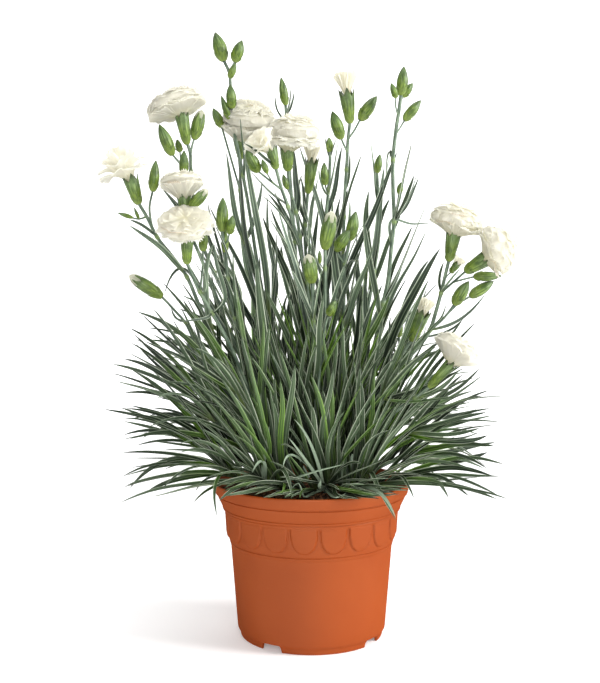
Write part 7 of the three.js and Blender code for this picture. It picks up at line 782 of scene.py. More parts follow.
def heart(bag, mouth, middle, up, e1, e2, radius, depth, calyx_r, rng):
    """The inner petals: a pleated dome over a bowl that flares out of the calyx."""
    sectors = 96
    a = 2 * math.pi * np.arange(sectors) / sectors
    d = np.cos(a)[:, None] * e1 + np.sin(a)[:, None] * e2
    pleat = np.sin(a * 23 + rng.uniform(0, 6)) + 0.7 * np.sin(a * 37 + rng.uniform(0, 6))
    fold = np.sin(a * 5 + rng.uniform(0, 6)) + 0.6 * np.sin(a * 9 + rng.uniform(0, 6))
    rings, share = [], []
    for q in np.linspace(0, 1, 8)[:-1]:  # the underside
        r = calyx_r * 0.62 * (1 - q) + radius * 0.88 * q
        at = mouth + (middle - mouth) * (0.12 + 0.88 * q ** 1.2)
        rings.append(at + d * (r * (1 + 0.012 * q * pleat))[:, None] + up * (radius * 0.012 * q * fold)[:, None])
        share.append(0.1 + 0.7 * q)
    for s in np.linspace(1, 0.06, 12):  # the dome
        ang = s * math.pi / 2
        k = 0.9 * (1 + 0.014 * s * pleat + 0.02 * fold * s)
        rings.append(middle + (k[:, None]) * (radius * math.sin(ang) ** 0.85 * d + depth * max(math.cos(ang), 0.0) ** 0.75 * up))
        share.append(0.35 + 0.5 * s)
    rings = np.array(rings)
    tint = np.zeros((len(rings), sectors, 4))
    tint[..., 0] = (np.abs((a / (2 * math.pi) * 8) % 2 - 1))[None]
    tint[..., 1] = np.array(share)[:, None]
    tint[..., 2] = rng.uniform(0, 0.9)
    tint[..., 3] = 0.1
    skin(bag, rings[:, ::-1] if np.dot(np.cross(e1, e2), up) < 0 else rings, mat=0, tint=tint)


def fill_blades(shoot, seed):
    """The blades that a rule places round a leafy shoot, the same ones as in the solids."""
    gen = stream(seed)
    line = np.array(shoot["path"], float)

    def along(s):
        at = min(s * (len(line) - 1), len(line) - 1.001)
        i = int(math.floor(at))
        return line[i] + (line[i + 1] - line[i]) * (at - i)

    axis = unit(np.array(shoot["axis"], float))
    side = unit(np.cross(axis, UP))
    over = np.cross(side, axis)
    out = []
    for k in range(shoot["n"]):
        u = [next(gen) for _ in range(5)]
        base = along(0.3 + 0.7 * u[0])
        turn = math.radians(k * GOLDEN + 40 * u[1])
        lean = math.radians(shoot["spread"] * (0.3 + 0.7 * u[2]))
        way = axis * math.cos(lean) + side * math.sin(lean) * math.cos(turn) + over * math.sin(lean) * math.sin(turn)
        length = shoot["length"][0] + (shoot["length"][1] - shoot["length"][0]) * u[3]
        flat = math.hypot(way[0], way[1])
        middle = base + way * length * 0.5
        tip = base + way * length
        middle[2] += 0.05 * length * flat
        tip[2] -= (0.04 + 0.16 * u[4]) * length * flat
        tip[2] = max(tip[2], 112 - 10 * u[4])
        middle[2] = max(middle[2], 110)
        reach = 1.0
        for j, limit in ((0, REACH[0] - 12 * u[3]), (1, REACH[1] - 14 * u[2])):
            if abs(tip[j]) > limit:
                reach = min(reach, (math.copysign(limit, tip[j]) - base[j]) / (tip[j] - base[j]))
        for p in (middle, tip):
            for j in (0, 1):
                p[j] = base[j] + (p[j] - base[j]) * reach
        out.append((base, middle, tip, 2.7 + 1.5 * u[1]))
    return out


# ------------------------------------------------------------------ materials
def lin(r, g, b):
    """An sRGB colour in 0 to 255 as linear RGBA."""
    out = [c / 255.0 for c in (r, g, b)]
    return tuple(c / 12.92 if c <= 0.04045 else ((c + 0.055) / 1.055) ** 2.4 for c in out) + (1.0,)


class Look:
    """A material and short ways to wire its nodes."""

    def __init__(self, name):
        self.m = bpy.data.materials.new(name)
        self.m.use_nodes = True
        self.t = self.m.node_tree
        self.t.nodes.clear()
        self.out = self.new("ShaderNodeOutputMaterial")

    def new(self, kind, **settings):
        node = self.t.nodes.new(kind)
        for key, value in settings.items():
            setattr(node, key, value)
        return node

    def put(self, socket, value):
        if isinstance(value, bpy.types.NodeSocket):
            self.t.links.new(value, socket)
        else:
            socket.default_value = value

    def math(self, op, a, b=0.0, c=0.0, clamp=False):
        node = self.new("ShaderNodeMath", operation=op, use_clamp=clamp)
        for socket, value in zip(node.inputs, (a, b, c)):
            self.put(socket, value)
        return node.outputs[0]

    def mix(self, fac, a, b, kind="MIX"):
        node = self.new("ShaderNodeMix", data_type="RGBA", blend_type=kind)
        self.put(node.inputs[0], fac)
        self.put(node.inputs[6], a)
        self.put(node.inputs[7], b)
        return node.outputs[2]

    def span(self, value, a, b, lo=0.0, hi=1.0):
        node = self.new("ShaderNodeMapRange", interpolation_type="SMOOTHSTEP")
        for socket, v in zip(node.inputs, (value, a, b, lo, hi)):
            self.put(socket, v)
        return node.outputs[0]

    def noise(self, vector, scale, detail=2.0, rough=0.5, distort=0.0):
        node = self.new("ShaderNodeTexNoise")
        self.put(node.inputs["Vector"], vector)
        self.put(node.inputs["Scale"], scale)
        self.put(node.inputs["Detail"], detail)
        self.put(node.inputs["Roughness"], rough)
        self.put(node.inputs["Distortion"], distort)
        return node.outputs[0]

    def tint(self):
        a = self.new("ShaderNodeAttribute", attribute_name="tint")
        s = self.new("ShaderNodeSeparateColor")
        self.put(s.inputs[0], a.outputs["Color"])
        return s.outputs[0], s.outputs[1], s.outputs[2], a.outputs["Alpha"]

    def side(self):
        return self.new("ShaderNodeAttribute", attribute_name="side").outputs["Fac"]

    def combine(self, x, y, z):
        node = self.new("ShaderNodeCombineXYZ")
        for socket, v in zip(node.inputs, (x, y, z)):
            self.put(socket, v)
        return node.outputs[0]

    def where(self):
        return self.new("ShaderNodeTexCoord").outputs["Object"]

    def bump(self, height, strength, distance):
        node = self.new("ShaderNodeBump")
        self.put(node.inputs["Strength"], strength)
        self.put(node.inputs["Distance"], distance)
        self.put(node.inputs["Height"], height)
        return node.outputs[0]

    def surface(self, color, rough, normal=None, thin=0.0, thin_color=None, **sockets):
        p = self.new("ShaderNodeBsdfPrincipled")
        self.put(p.inputs["Base Color"], color)
        self.put(p.inputs["Roughness"], rough)
        for key, value in sockets.items():
            self.put(p.inputs[key.replace("_", " ")], value)
        if normal is not None:
            self.put(p.inputs["Normal"], normal)
        last = p.outputs[0]
        if thin:
            tr = self.new("ShaderNodeBsdfTranslucent")
            self.put(tr.inputs["Color"], thin_color if thin_color is not None else color)
            if normal is not None:
                self.put(tr.inputs["Normal"], normal)
            mix = self.new("ShaderNodeMixShader")
            self.put(mix.inputs[0], thin)
            self.put(mix.inputs[1], last)
            self.put(mix.inputs[2], tr.outputs[0])
            last = mix.outputs[0]
        self.put(self.out.inputs["Surface"], last)
        return self.m


def leaf_look():
    k = Look("leaf_glaucous")
    u, v, r, kind = k.tint()
    apart = k.new("ShaderNodeSeparateXYZ")
    k.put(apart.inputs[0], k.where())
    x, y, z = apart.outputs
    away = k.math("SQRT", k.math("ADD", k.math("MULTIPLY", x, x), k.math("MULTIPLY", y, y)))
    outer = k.span(away, 0.062, 0.105)
    fade = k.math("MULTIPLY", outer, k.span(v, 0.3, 0.8))  # the fresh green fades towards the tips of the outer blades
    young = k.math("MULTIPLY", kind, k.math("SUBTRACT", 1.0, k.math("MULTIPLY", fade, 0.85)))
    side = k.side()
    streak = k.noise(k.combine(k.math("MULTIPLY", u, 5.0), k.math("MULTIPLY", v, 2.2), k.math("MULTIPLY", r, 40.0)), 1.6, 3.0, 0.6)
    patch = k.noise(k.combine(k.math("MULTIPLY", u, 0.7), k.math("MULTIPLY", v, 3.0), k.math("MULTIPLY", r, 57.0)), 1.3, 2.0)
    tone = k.math("ADD", k.math("MULTIPLY", k.span(r, 0.25, 1.05), 0.8), k.math("MULTIPLY", k.span(streak, 0.35, 0.65), 0.28), clamp=True)
    col = k.mix(tone, lin(8, 19, 8), lin(103, 126, 90))
    col = k.mix(k.math("MULTIPLY", k.span(patch, 0.5, 0.7), 0.4), col, lin(46, 74, 24))
    fresh = k.mix(streak, lin(52, 94, 8), lin(120, 162, 40))
    old = k.math("MULTIPLY", kind, -1.0, clamp=True)
    col = k.mix(old, col, k.mix(tone, lin(30, 43, 37), lin(134, 150, 137)))
    col = k.mix(k.math("MULTIPLY", young, 1.0, clamp=True), col, fresh)
    mid = k.math("ABSOLUTE", k.math("SUBTRACT", u, 0.5))
    # painted shade: the slopes of the blade's channel are darkened where the fold shades them
    channel_shade = k.math("MULTIPLY", k.span(mid, 0.05, 0.14), k.span(mid, 0.22, 0.34, 1.0, 0.0))
    col = k.mix(k.math("MULTIPLY", channel_shade, 0.6), col, lin(16, 28, 14))
    rib = k.span(mid, 0.015, 0.07, 1.0, 0.0)
    col = k.mix(k.math("MULTIPLY", rib, 0.35), col, k.mix(k.math("MULTIPLY", young, 1.0, clamp=True), lin(136, 154, 118), lin(130, 172, 70)))
    # pale leaf edges, brightened further by a painted highlight along the margins
    edge_and_highlight = k.span(mid, 0.365, 0.465)
    fresher = k.math("MULTIPLY", young, 1.0, clamp=True)
    col = k.mix(k.math("MULTIPLY", edge_and_highlight, 0.72), col, k.mix(fresher, lin(208, 220, 192), lin(150, 188, 90)))
    under = k.span(side, 0.55, 0.95)
    col = k.mix(k.math("MULTIPLY", under, 0.35), col, lin(96, 116, 88))
    base = k.span(v, 0.02, 0.22, 1.0, 0.0)
    # painted shade: the lower part of each blade is darkened, broken up by noise, where the blades shade each other
    col = k.mix(k.math("MULTIPLY", k.span(v, 0.05, 0.4, 1.0, 0.0), k.span(patch, 0.4, 0.55, 0.7, 0.1)), col, lin(13, 20, 8))
    col = k.mix(k.math("MULTIPLY", base, k.span(r, 0.5, 0.8, 0.0, 0.5)), col, lin(136, 156, 76))
    inner = k.math("MULTIPLY", k.span(away, 0.034, 0.072, 1.0, 0.0), k.span(z, 0.14, 0.23, 1.0, 0.0))  # painted shade: blades deep in the middle of the tuft and low down are darkened where the tuft shades them
    col = k.mix(k.math("MULTIPLY", inner, 0.78), col, lin(11, 18, 5))
    col = k.mix(k.math("MULTIPLY", fade, 0.5), col, lin(50, 60, 52))
    col = k.mix(k.span(z, 0.13, 0.2), col, (1.17, 1.15, 1.18, 1.0), "MULTIPLY")  # the upper blades carry more of the pale wax
    tip = k.math("MULTIPLY", k.span(v, 0.95, 0.99), k.span(patch, 0.45, 0.6))
    col = k.mix(k.math("MULTIPLY", tip, 0.8), col, lin(112, 96, 60))
    dry = k.span(r, 0.8, 1.5)
    col = k.mix(dry, col, k.mix(streak, lin(104, 124, 104), lin(168, 184, 158)))
    line = k.noise(k.combine(k.math("MULTIPLY", u, 34.0), k.math("MULTIPLY", v, 3.0), r), 1.0, 1.0)
    return k.surface(col, 0.42, k.bump(line, 0.35, 0.0002), 0.04, k.mix(0.5, col, lin(130, 180, 60)), Specular_IOR_Level=0.2)


def stem_look():
    k = Look("stem_green")
    u, v, r, node = k.tint()
    n = k.noise(k.combine(k.math("MULTIPLY", u, 5.0), k.math("MULTIPLY", v, 6.0), k.math("MULTIPLY", r, 31.0)), 2.2, 3.0)
    col = k.mix(k.span(n, 0.35, 0.68), lin(62, 78, 64), lin(128, 145, 122))
    col = k.mix(k.math("MULTIPLY", node, 0.6), col, lin(134, 156, 84))
    fine = k.noise(k.combine(k.math("MULTIPLY", u, 26.0), k.math("MULTIPLY", v, 8.0), 0.0), 1.0, 1.0)
    return k.surface(col, 0.5, k.bump(fine, 0.25, 0.0002), Specular_IOR_Level=0.25)


def bud_look():
    k = Look("bud_green")
    u, v, r, pale = k.tint()
    side = k.side()
    grain = k.noise(k.combine(k.math("MULTIPLY", u, 22.0), k.math("MULTIPLY", v, 1.6), k.math("MULTIPLY", r, 20.0)), 1.5, 2.0)
    blotch = k.noise(k.combine(k.math("MULTIPLY", u, 5.0), k.math("MULTIPLY", v, 3.0), k.math("MULTIPLY", r, 70.0)), 1.3, 3.0, 0.6)
    rib = k.math("MULTIPLY_ADD", k.math("SINE", k.math("MULTIPLY", u, 2 * math.pi * 15)), 0.5, 0.5)
    fresh = k.mix(k.span(grain, 0.3, 0.7), lin(60, 88, 14), lin(128, 150, 50))
    bloom = k.mix(k.span(grain, 0.3, 0.7), lin(54, 78, 34), lin(114, 138, 86))
    col = k.mix(k.span(v, 0.25, 0.8), fresh, bloom)
    col = k.mix(k.math("MULTIPLY", k.span(blotch, 0.48, 0.62), 0.65), col, lin(36, 58, 18))
    col = k.mix(k.math("MULTIPLY", k.span(v, 0.0, 0.24, 1.0, 0.0), 0.7), col, lin(142, 160, 70))
    col = k.mix(k.math("MULTIPLY", rib, 0.22), col, lin(46, 76, 26))
    col = k.mix(k.math("MULTIPLY", pale, 0.3), col, lin(142, 162, 90))
    # painted highlight: pale streaks where the grain noise runs high
    col = k.mix(k.math("MULTIPLY", k.span(grain, 0.6, 0.8), 0.5), col, lin(164, 182, 124))
    col = k.mix(k.math("MULTIPLY", k.span(v, 0.84, 1.02), 0.8), col, lin(44, 54, 26))
    return k.surface(col, 0.4, k.bump(rib, 0.35, 0.0002), 0.06, lin(160, 200, 60), Specular_IOR_Level=0.4)


def petal_look():
    k = Look("petal_ivory")
    u, v, r, deep = k.tint()
    vein = k.noise(k.combine(k.math("MULTIPLY", u, 13.0), k.math("MULTIPLY", v, 1.0), k.math("MULTIPLY", r, 50.0)), 1.0, 2.0)
    spot = k.noise(k.combine(k.math("MULTIPLY", u, 2.0), k.math("MULTIPLY", v, 2.0), k.math("MULTIPLY", r, 90.0)), 1.7, 2.0)
    col = k.mix(k.span(v, 0.05, 0.5), lin(245, 243, 224), lin(250, 249, 244))
    col = k.mix(k.math("MULTIPLY", k.span(vein, 0.35, 0.7), 0.36), col, lin(229, 227, 209))
    col = k.mix(k.math("MULTIPLY", deep, 0.4), col, lin(249, 244, 220))
    col = k.mix(k.math("MULTIPLY", k.span(spot, 0.62, 0.8), 0.25), col, lin(240, 226, 196))
    brown = k.math("MULTIPLY", k.span(r, 0.955, 0.995), k.span(v, 0.88, 1.0))
    col = k.mix(k.math("MULTIPLY", brown, 0.6), col, lin(176, 132, 66))
    return k.surface(col, 0.65, k.bump(vein, 0.2, 0.0003), 0.78, k.mix(0.6, col, lin(253, 252, 247)), Specular_IOR_Level=0.1)


def pot_look():
    k = Look("terracotta_plastic")
    where = k.where()
    cloud = k.noise(where, 22.0, 3.0)
    fine = k.noise(where, 900.0, 2.0)
    scuff = k.noise(where, 160.0, 4.0, 0.65)
    col = k.mix(k.span(cloud, 0.3, 0.7), lin(141, 58, 14), lin(147, 63, 18))
    col = k.mix(k.math("MULTIPLY", k.span(scuff, 0.6, 0.8), 0.12), col, lin(172, 84, 42))
    skin_bump = k.bump(fine, 0.12, 0.0002)
    k.surface(col, 0.6, skin_bump, Specular_IOR_Level=0.0)
    body = k.out.inputs["Surface"].links[0].from_socket
    gloss = k.new("ShaderNodeBsdfGlossy")
    k.put(gloss.inputs["Color"], lin(255, 226, 198))
    k.put(gloss.inputs["Roughness"], k.span(scuff, 0.2, 0.8, 0.4, 0.48))
    k.put(gloss.inputs["Normal"], skin_bump)
    both = k.new("ShaderNodeMixShader")
    for socket, value in zip(both.inputs, (0.035, body, gloss.outputs[0])):
        k.put(socket, value)
    k.put(k.out.inputs["Surface"], both.outputs[0])
    return k.m


def soil_look():
    k = Look("peat_soil")
    where = k.where()
    _, _, r, _ = k.tint()
    big = k.noise(where, 180.0, 4.0, 0.7)
    small = k.noise(where, 900.0, 3.0, 0.7)
    col = k.mix(k.span(big, 0.3, 0.7), lin(40, 28, 20), lin(92, 62, 42))
    col = k.mix(k.math("MULTIPLY", r, 0.75), col, lin(126, 84, 56))
    height = k.math("ADD", big, k.math("MULTIPLY", small, 0.4))
    return k.surface(col, 0.92, k.bump(height, 0.8, 0.0012), Specular_IOR_Level=0.2)


def fibre_look():
    k = Look("soil_fibre")
    _, _, r, _ = k.tint()
    n = k.noise(k.where(), 400.0, 2.0)
    col = k.mix(n, k.mix(r, lin(104, 66, 40), lin(176, 130, 86)), lin(70, 46, 30))
    return k.surface(col, 0.85, Specular_IOR_Level=0.2)


LEAF, STEM, BUD_GREEN, PETAL = leaf_look(), stem_look(), bud_look(), petal_look()
TERRACOTTA, PEAT, FIBRE = pot_look(), soil_look(), fibre_look()


# ------------------------------------------------------------------ pot and soil
def rounded(points, fillets):
    """The outline with its corners rounded. Each fillet is a radius in mm, 0 for a sharp corner."""
    out = []
    for i, (p, r) in enumerate(zip(points, fillets)):
        p = np.array(p, float)
        if r == 0 or i in (0, len(points) - 1):
            out.append(p)
            continue
        a, b = np.array(points[i - 1], float), np.array(points[i + 1], float)
        ra = min(r, 0.45 * np.linalg.norm(a - p))
        rb = min(r, 0.45 * np.linalg.norm(b - p))
        s, e = p + unit(a - p) * ra, p + unit(b - p) * rb
        for t in np.linspace(0, 1, 3):
            out.append((1 - t) ** 2 * s + 2 * t * (1 - t) * p + t * t * e)
    return out


def denser(points, gap):
    out = [np.array(points[0], float)]
    for a, b in zip(points, points[1:]):
        a, b = np.array(a, float), np.array(b, float)
        m = max(int(math.ceil(np.linalg.norm(b - a) / gap((a + b) / 2))), 1)
        out += [a + (b - a) * t for t in np.linspace(0, 1, m + 1)[1:]]
    return np.array(out)


POT_OUTER = [
    (46.0, 0.3), (46.3, 0.0), (47.3, 0.0), (47.75, 0.5), (48.3, 3.4), (49.75, 5.6), (54.2, 61.9), (54.55, 62.5), (54.95, 63.95), (54.6, 64.2), (54.7, 64.6), (55.25, 64.85), (56.6, 70.0),
    (57.35, 82.4), (58.5, 84.9), (58.3, 85.25), (58.45, 85.6), (59.3, 85.8), (59.95, 87.15), (59.55, 87.4), (59.8, 87.85),
    (63.4, 95.5), (62.95, 95.85), (63.05, 96.4), (64.6, 96.9), (65.65, 103.2), (65.2, 104.0), (64.3, 104.0),
    (63.3, 98.1), (56.0, 83.0), (55.2, 70.4), (52.8, 62.4), (48.4, 7.2), (0.6, 7.0),
]
POT_FILLET = [0, 0.2, 0.3, 0.4, 0.5, 0.7, 0.3, 0.8, 0.1, 0.1, 0.1, 0.12, 1.0, 0.9, 0.12, 0.1, 0.1, 0.15, 0.15, 0.1, 0.1, 0.15, 0.1, 0.1, 0.25, 0.6, 0.35, 0.5, 1, 1, 1, 1, 1.5, 0]
TONGUE_PITCH, TONGUE_AT, TONGUE_HALF, TONGUE_TOP, TONGUE_DROP = 360.0 / 19, 13.7, 8.3, 84.6, 17.3
NOTCHES, NOTCH_HALF, NOTCH_TALL = (-124.0, -33.3, 55.3, 146.0), 8.1, 4.6
SECTORS = 540


def pot_piece():
    outline = [(0.6, 5.4), (45.6, 5.4), (45.9, 5.1)] + POT_OUTER
    fil = [0, 0.3, 0.3] + POT_FILLET
    line = rounded(outline, fil)
    p = denser(line, lambda m: 0.7 if (m[0] > 55.4 + 0.06 * (m[1] - 66.0) and 66.0 < m[1] < 85.0) else (1.2 if m[1] < 6 and m[0] > 45 else 9.0))
    keep = np.concatenate([[True], np.linalg.norm(np.diff(p, axis=0), axis=1) > 0.02])
    p = p[keep]
    ang = 2 * math.pi * np.arange(SECTORS) / SECTORS
    rr = np.repeat(p[:, :1], SECTORS, 1)
    zz = np.repeat(p[:, 1:], SECTORS, 1)
    deg = np.degrees(ang)[None]
    # the tongues stand a little proud of the band
    off = (deg - TONGUE_AT + TONGUE_PITCH / 2) % TONGUE_PITCH - TONGUE_PITCH / 2
    across = np.abs(np.radians(off)) * rr
    down = np.clip((TONGUE_TOP - zz) / TONGUE_DROP, 0, 1.3)
    half = TONGUE_HALF * np.sqrt(np.clip(1 - down ** 3.0, 0, 1))
    inside = np.where(down < 1, half - across, -2.0)
    inside = np.minimum(inside, (1 - down) * TONGUE_DROP * 1.2)
    band = (rr > 55.0) & (zz > 66.0) & (zz < 84.9) & (np.arange(len(p))[:, None] < np.argmax(p[:, 1]))
    proud = 0.75 * smooth(-0.3, 0.3, inside) - 0.35 * smooth(0.9, 0.0, np.abs(inside + 0.7))
    rr = rr + np.where(band, proud * smooth(84.3, 82.2, zz), 0)
    # the notches in the foot
    for at in NOTCHES:
        away = np.abs((deg - at + 180) % 360 - 180) * math.pi / 180 * 48.0
        top = NOTCH_TALL * (1 - smooth(NOTCH_HALF - 1.3, NOTCH_HALF - 0.2, away))
        foot = (rr > 45.5) & (zz < 5.0)
        zz = np.where(foot, np.maximum(zz, top + 0.12 * zz), zz)
    pts = np.stack([rr * np.sin(ang)[None], -rr * np.cos(ang)[None], zz], -1)
    bag = Bag()
    # rows run from the floor's underside, out, up and down the inside
    skin(bag, pts[:, ::-1], root=np.array([0, 0, 5.4]), tip=np.array([0, 0, 7.0]), mat=0)
    ob = bag.build("pot_look", [TERRACOTTA], 32.0)
    cuts = []
    for i in range(8):
        a = 2 * math.pi * (i + 0.5) / 8
        hole = Bag()
        c = 2 * math.pi * np.arange(40) / 40
        rings = np.stack([np.stack([38 * math.cos(a) + 3.2 * np.cos(c), 38 * math.sin(a) + 3.2 * np.sin(c), np.full(40, z)], -1) for z in (3.0, 9.5)])
        skin(hole, rings)
        cuts.append(hole.build(f"hole_{i}", [TERRACOTTA]))
    bpy.context.view_layer.update()
    for c in cuts:
        m = ob.modifiers.new(c.name, "BOOLEAN")
        m.operation, m.solver, m.object = "DIFFERENCE", "MANIFOLD", c
    dg = bpy.context.evaluated_depsgraph_get()
    me = bpy.data.meshes.new_from_object(ob.evaluated_get(dg), depsgraph=dg)
    ob.modifiers.clear()
    ob.data = me
    for c in cuts:
        bpy.data.objects.remove(c, do_unlink=True)
    return ob


def soil_piece():
    rng = np.random.default_rng(77)
    bag = Bag()
    sectors = 200
    a = 2 * math.pi * np.arange(sectors) / sectors
    radii = np.linspace(61.4, 0.8, 62)
    grain = rng.normal(size=(62, sectors))
    for _ in range(2):
        grain = (grain + np.roll(grain, 1, 1) + np.roll(grain, -1, 1) + np.roll(grain, 1, 0)) / 4
    rings = [np.stack([r * np.sin(a), -r * np.cos(a), np.full(sectors, z)], -1) for r, z in ((47.9, 7.6), (52.1, 63.9), (54.5, 70.5), (56.7, 87.4), (61.2, 95.0))]
    for i, r in enumerate(radii):
        lump = 0.9 * np.sin(r * 0.31 + 3 * np.sin(a * 2)) * np.cos(a * 5 + r * 0.2) * min(1, r / 10)
        z = soil_height(r, 0) - 0.6 + np.clip(grain[i] * 1.1 + lump * 0.5, -1.6, 1.4) * (0.4 if i == 0 else 1)
        rings.append(np.stack([r * np.sin(a), -r * np.cos(a), z], -1))
    rings = np.array(rings)
    skin(bag, rings[:, ::-1], root=np.array([0, 0, 7.6]), tip=np.array([0, 0, float(rings[-1][:, 2].mean())]), mat=0)
    # crumbs of peat and a few fibres
    gold = np.array([[x, y, z] for x, y, z in (
        (0, 1, 1.618), (0, -1, 1.618), (0, 1, -1.618), (0, -1, -1.618), (1, 1.618, 0), (-1, 1.618, 0), (1, -1.618, 0), (-1, -1.618, 0),
        (1.618, 0, 1), (1.618, 0, -1), (-1.618, 0, 1), (-1.618, 0, -1))], float)
    gold /= np.linalg.norm(gold[0])
    faces = [(i, j, k) for i in range(12) for j in range(i + 1, 12) for k in range(j + 1, 12)
             if max(np.linalg.norm(gold[i] - gold[j]), np.linalg.norm(gold[j] - gold[k]), np.linalg.norm(gold[i] - gold[k])) < 1.1]
    faces = [f if np.dot(np.cross(gold[f[1]] - gold[f[0]], gold[f[2]] - gold[f[0]]), gold[f[0]]) > 0 else (f[0], f[2], f[1]) for f in faces]
    for _ in range(1500):
        r = 60.2 * math.sqrt(rng.uniform())
        t = rng.uniform(0, 2 * math.pi)
        s = rng.uniform(0.35, 1.5) ** 1.4
        x, y = r * math.cos(t), r * math.sin(t)
        lump = gold * rng.uniform(0.7, 1.25, (12, 1)) * np.array([1, rng.uniform(0.6, 1), rng.uniform(0.5, 0.9)]) * s
        turn = rng.uniform(0, 6.28)
        lump = lump @ np.array([[math.cos(turn), math.sin(turn), 0], [-math.sin(turn), math.cos(turn), 0], [0, 0, 1]])
        c = np.array([x, y, min(soil_height(x, y) - 0.3 + s * 0.15, 102.2 - s)])
        limit = 60.9 - s
        if r > limit:
            c[:2] *= limit / r
        tint = np.zeros((12, 4))
        tint[:, 2] = rng.uniform() ** 2
        bag.add(lump + c, tris=faces, mat=0, tint=tint)
    for _ in range(260):
        r = 54 * math.sqrt(rng.uniform())
        t, w = rng.uniform(0, 2 * math.pi, 2)
        length = rng.uniform(4, 13)
        c = np.array([r * math.cos(t), r * math.sin(t), soil_height(r, 0) + rng.uniform(0.1, 0.8)])
        d = np.array([math.cos(w), math.sin(w), rng.uniform(-0.05, 0.18)])
        line = np.array([c + d * length * s + np.array([-d[1], d[0], 0]) * math.sin(s * 3.1) * length * 0.12 for s in np.linspace(-0.5, 0.5, 6)])
        if np.hypot(line[:, 0], line[:, 1]).max() > 60 or line[:, 2].max() > 103:
            continue
        tn, nn, ss = transport(line, UP)
        k = 2 * math.pi * np.arange(5) / 5
        q = rng.uniform(0.12, 0.38)
        rings = line[:, None] + q * (np.cos(k)[None, :, None] * ss[:, None] + np.sin(k)[None, :, None] * nn[:, None])
        tint = np.zeros((6, 5, 4))
        tint[..., 2] = rng.uniform()
        skin(bag, rings, mat=1, tint=tint)
    return bag.build("soil_look", [PEAT, FIBRE], 60.0)


# ------------------------------------------------------------------ keeping blades off the rim and out of the soil
def clear_of_pot(v):
    """Moves points that would stand in the rim, the wall or the soil to the nearest free place."""
    r = np.hypot(v[:, 0], v[:, 1])
    z = v[:, 2]
    r_new, z_new = r.copy(), z.copy()
    # the lip: its top is the way out for points near it, its outer face for the others
    lip = (r > 62.6) & (r < 66.6) & (z < 104.7) & (z > 96.0)
    up, out, inn = 104.7 - z, 66.6 - r, r - 62.6
    go_up = lip & (up <= out) & (up <= inn)
    go_out = lip & ~go_up & (out <= inn)
    go_in = lip & ~go_up & ~go_out
    z_new[go_up] = 104.7
    r_new[go_out] = 66.6
    r_new[go_in] = 62.6
    wall = (z <= 96.0) & (r > 57.5) & (r < 65.9)
    r_new[wall] = np.maximum(r[wall], np.interp(z[wall], [60, 70, 84, 97], [55.2, 58.0, 59.2, 65.8]))
    low = (r <= 62.6) & (z < SOIL_CROWN - 4 * (r / SOIL_RIM) ** 2 + 0.3) & ~wall
    z_new[low] = (SOIL_CROWN - 4 * (r / SOIL_RIM) ** 2 + 0.3)[low]
    s = r_new / np.maximum(r, 1e-6)
    return np.stack([v[:, 0] * s, v[:, 1] * s, z_new], 1)


# ------------------------------------------------------------------ the plant
LO = np.array(CAD_BOX[0]) * 1000
HI = np.array(CAD_BOX[1]) * 1000


def finished(bag, name, materials, node, soil_free=True, sharp=48.0):
    if soil_free:
        bag.v = [clear_of_pot(v) for v in bag.v]
    bag.v = [np.clip(v, LO + 0.02, HI - 0.02) for v in bag.v]
    ob = bag.build(name, materials, sharp)
    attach(ob, "root")
    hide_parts(node)
    return ob


CENTRAL = (12, 13, 14, 18, 19)  # the shoots in the middle of the front, which have more young blades
PALE = {(12, 0), (12, 1), (12, 8), (12, 15), (12, 16), (12, 17), (13, 0), (13, 4), (13, 9), (14, 3)}  # blades seen from their pale underside


def plant():
    for i, s in enumerate(STEMS):
        rng = np.random.default_rng(100 + i)
        bag = Bag()
        swell = [np.array(p) for p in s["nodes"]]
        stem(bag, s["path"], s["r"][0], s["r"][1], swell, rng)
        for path, r in s["branches"]:
            stem(bag, path, r, r * 0.92, [np.array(path[0])] if len(path) > 2 else [], rng, 9)
        for a, b, r, kind in s["buds"]:
            bud(bag, a, b, r, kind, rng)
        for f in s["flowers"]:
            calyx(bag, f[1], f[2], f[3], rng)
        for pts, w in s["leaves"]:
            place_leaf(bag, pts, w, rng, young=-rng.uniform(0.2, 1.0) if pts[0][2] > 170 or rng.uniform() < 0.6 else 0.4 * float(rng.uniform() < 0.3), roll=0.5, face=1.3, fold=0.3)
        finished(bag, s["name"] + "_look", [STEM, LEAF, BUD_GREEN, PETAL], s["name"])
        for f in s["flowers"]:
            head = Bag()
            flower(head, f, np.random.default_rng(500 + f[0]))
            finished(head, f"flower_{f[0]:02d}_look", [PETAL], f"flower_{f[0]:02d}", False, 70.0)
    for i, s in enumerate(SHOOTS):
        rng = np.random.default_rng(300 + i)
        bag = Bag()
        stem(bag, s["path"], s["r"], s["r"] * 0.6, [], rng, 8)
        for k, (pts, w) in enumerate(s["leaves"]):
            pale = 0.8 if (i, k) in PALE else 0.0
            place_leaf(bag, pts, w, rng, young=float(rng.uniform() < 0.2) * rng.uniform(0.3, 0.9) * (pale == 0), pale=pale)
        for base, middle, tip, w in fill_blades(s, 1000 + i):
            leaf(bag, base, middle, tip, w, rng, roll=0.4, face=1.0, fold=0.4, young=float(rng.uniform() < (0.45 if i in CENTRAL else 0.28)) * rng.uniform(0.3, 1.0))
        finished(bag, s["name"] + "_look", [STEM, LEAF], s["name"])


def place_leaf(bag, pts, w, rng, young=0.0, pale=0.0, roll=0.35, face=0.9, fold=0.42):
    if len(pts) == 3:
        leaf(bag, *pts, w, rng, young=young, pale=pale, roll=roll, face=face, fold=fold)
    else:
        p = spline(pts, 2.0)
        leaf(bag, p[0], p[len(p) // 2], p[-1], w, rng, young=young, pale=pale, line=p, stations=17, roll=roll, face=face, fold=fold)


pot = pot_piece()
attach(pot, "root")
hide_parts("pot")
soil = soil_piece()
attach(soil, "root")
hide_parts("soil")
plant()


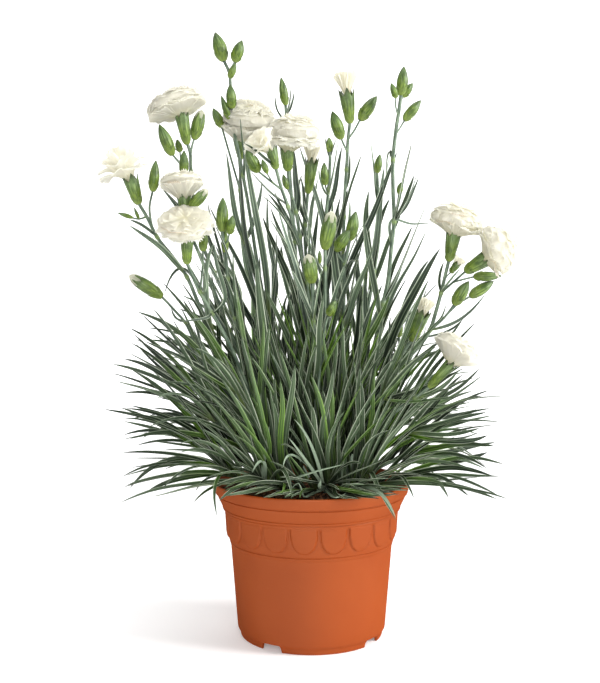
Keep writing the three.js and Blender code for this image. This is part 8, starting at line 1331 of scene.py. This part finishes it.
# ------------------------------------------------------------------ floor, light and camera
def stage():
    me = bpy.data.meshes.new("floor")
    # a floor that rises into a backdrop behind the plant
    prof = [(-3.0, 0.0), (1.2, 0.0)] + [(1.2 + 0.8 * math.sin(a), 0.8 - 0.8 * math.cos(a)) for a in np.linspace(0, math.pi / 2, 14)[1:]] + [(2.0, 4.0)]
    v = [(x, y, z) for y, z in prof for x in (-5.0, 5.0)]
    f = [(2 * i, 2 * i + 1, 2 * i + 3, 2 * i + 2) for i in range(len(prof) - 1)]
    me.from_pydata(v, [], f)
    me.polygons.foreach_set("use_smooth", np.ones(len(f), bool))
    floor = bpy.data.objects.new("floor", me)
    bpy.context.scene.collection.objects.link(floor)
    k = Look("studio_floor")
    n = k.noise(k.where(), 3.0, 2.0)
    apart = k.new("ShaderNodeSeparateXYZ")
    k.put(apart.inputs[0], k.where())
    lit = k.span(apart.outputs[1], 0.3, 1.5, 0.22, 0.75)  # a lit table that brightens into the backdrop
    me.materials.append(k.surface(k.mix(n, (0.86, 0.86, 0.86, 1), (0.88, 0.88, 0.88, 1)), 0.8, Specular_IOR_Level=0.1,
                                  Emission_Color=(1, 1, 1, 1), Emission_Strength=lit))

    def area(name, at, to, size, watts, color=(1, 1, 1)):
        light = bpy.data.lights.new(name, "AREA")
        light.shape, light.size, light.size_y = "RECTANGLE", size[0], size[1]
        light.energy, light.color = watts, color
        ob = bpy.data.objects.new(name, light)
        bpy.context.scene.collection.objects.link(ob)
        ob.location = at
        d = np.array(to) - np.array(at)
        ob.rotation_euler = Vector(d.tolist()).to_track_quat("-Z", "Y").to_euler()
        ob.visible_camera = False

    area("key", (1.6, -0.38, 0.9), (0, 0, 0.2), (0.7, 1.0), 44)
    area("front", (-0.1, -1.9, 0.75), (0, 0, 0.2), (1.5, 1.2), 26)
    area("top", (-0.1, -0.2, 1.8), (0, 0, 0.2), (0.9, 0.9), 13)

    world = bpy.data.worlds.new("studio")
    world.use_nodes = True
    world.node_tree.nodes["Background"].inputs[0].default_value = (1, 1, 1, 1)
    world.node_tree.nodes["Background"].inputs[1].default_value = 0.16
    bpy.context.scene.world = world

    cam = bpy.data.cameras.new("camera")
    cam.sensor_fit = "AUTO"
    cam.sensor_width = 36.0
    cam.lens = 36.0 * 1100.0 / 683.0
    cam.clip_start, cam.clip_end = 0.01, 20.0
    cam.dof.use_dof = False
    ob = bpy.data.objects.new("camera", cam)
    bpy.context.scene.collection.objects.link(ob)
    ob.location = (-0.0077, -0.733, 0.2462)
    ob.rotation_euler = (math.radians(90 - 3.823), 0, 0)
    bpy.context.scene.camera = ob
    view = bpy.context.scene.view_settings
    view.view_transform = "Standard"
    view.look = "None"
    view.exposure, view.gamma = 0.0, 1.0


stage()
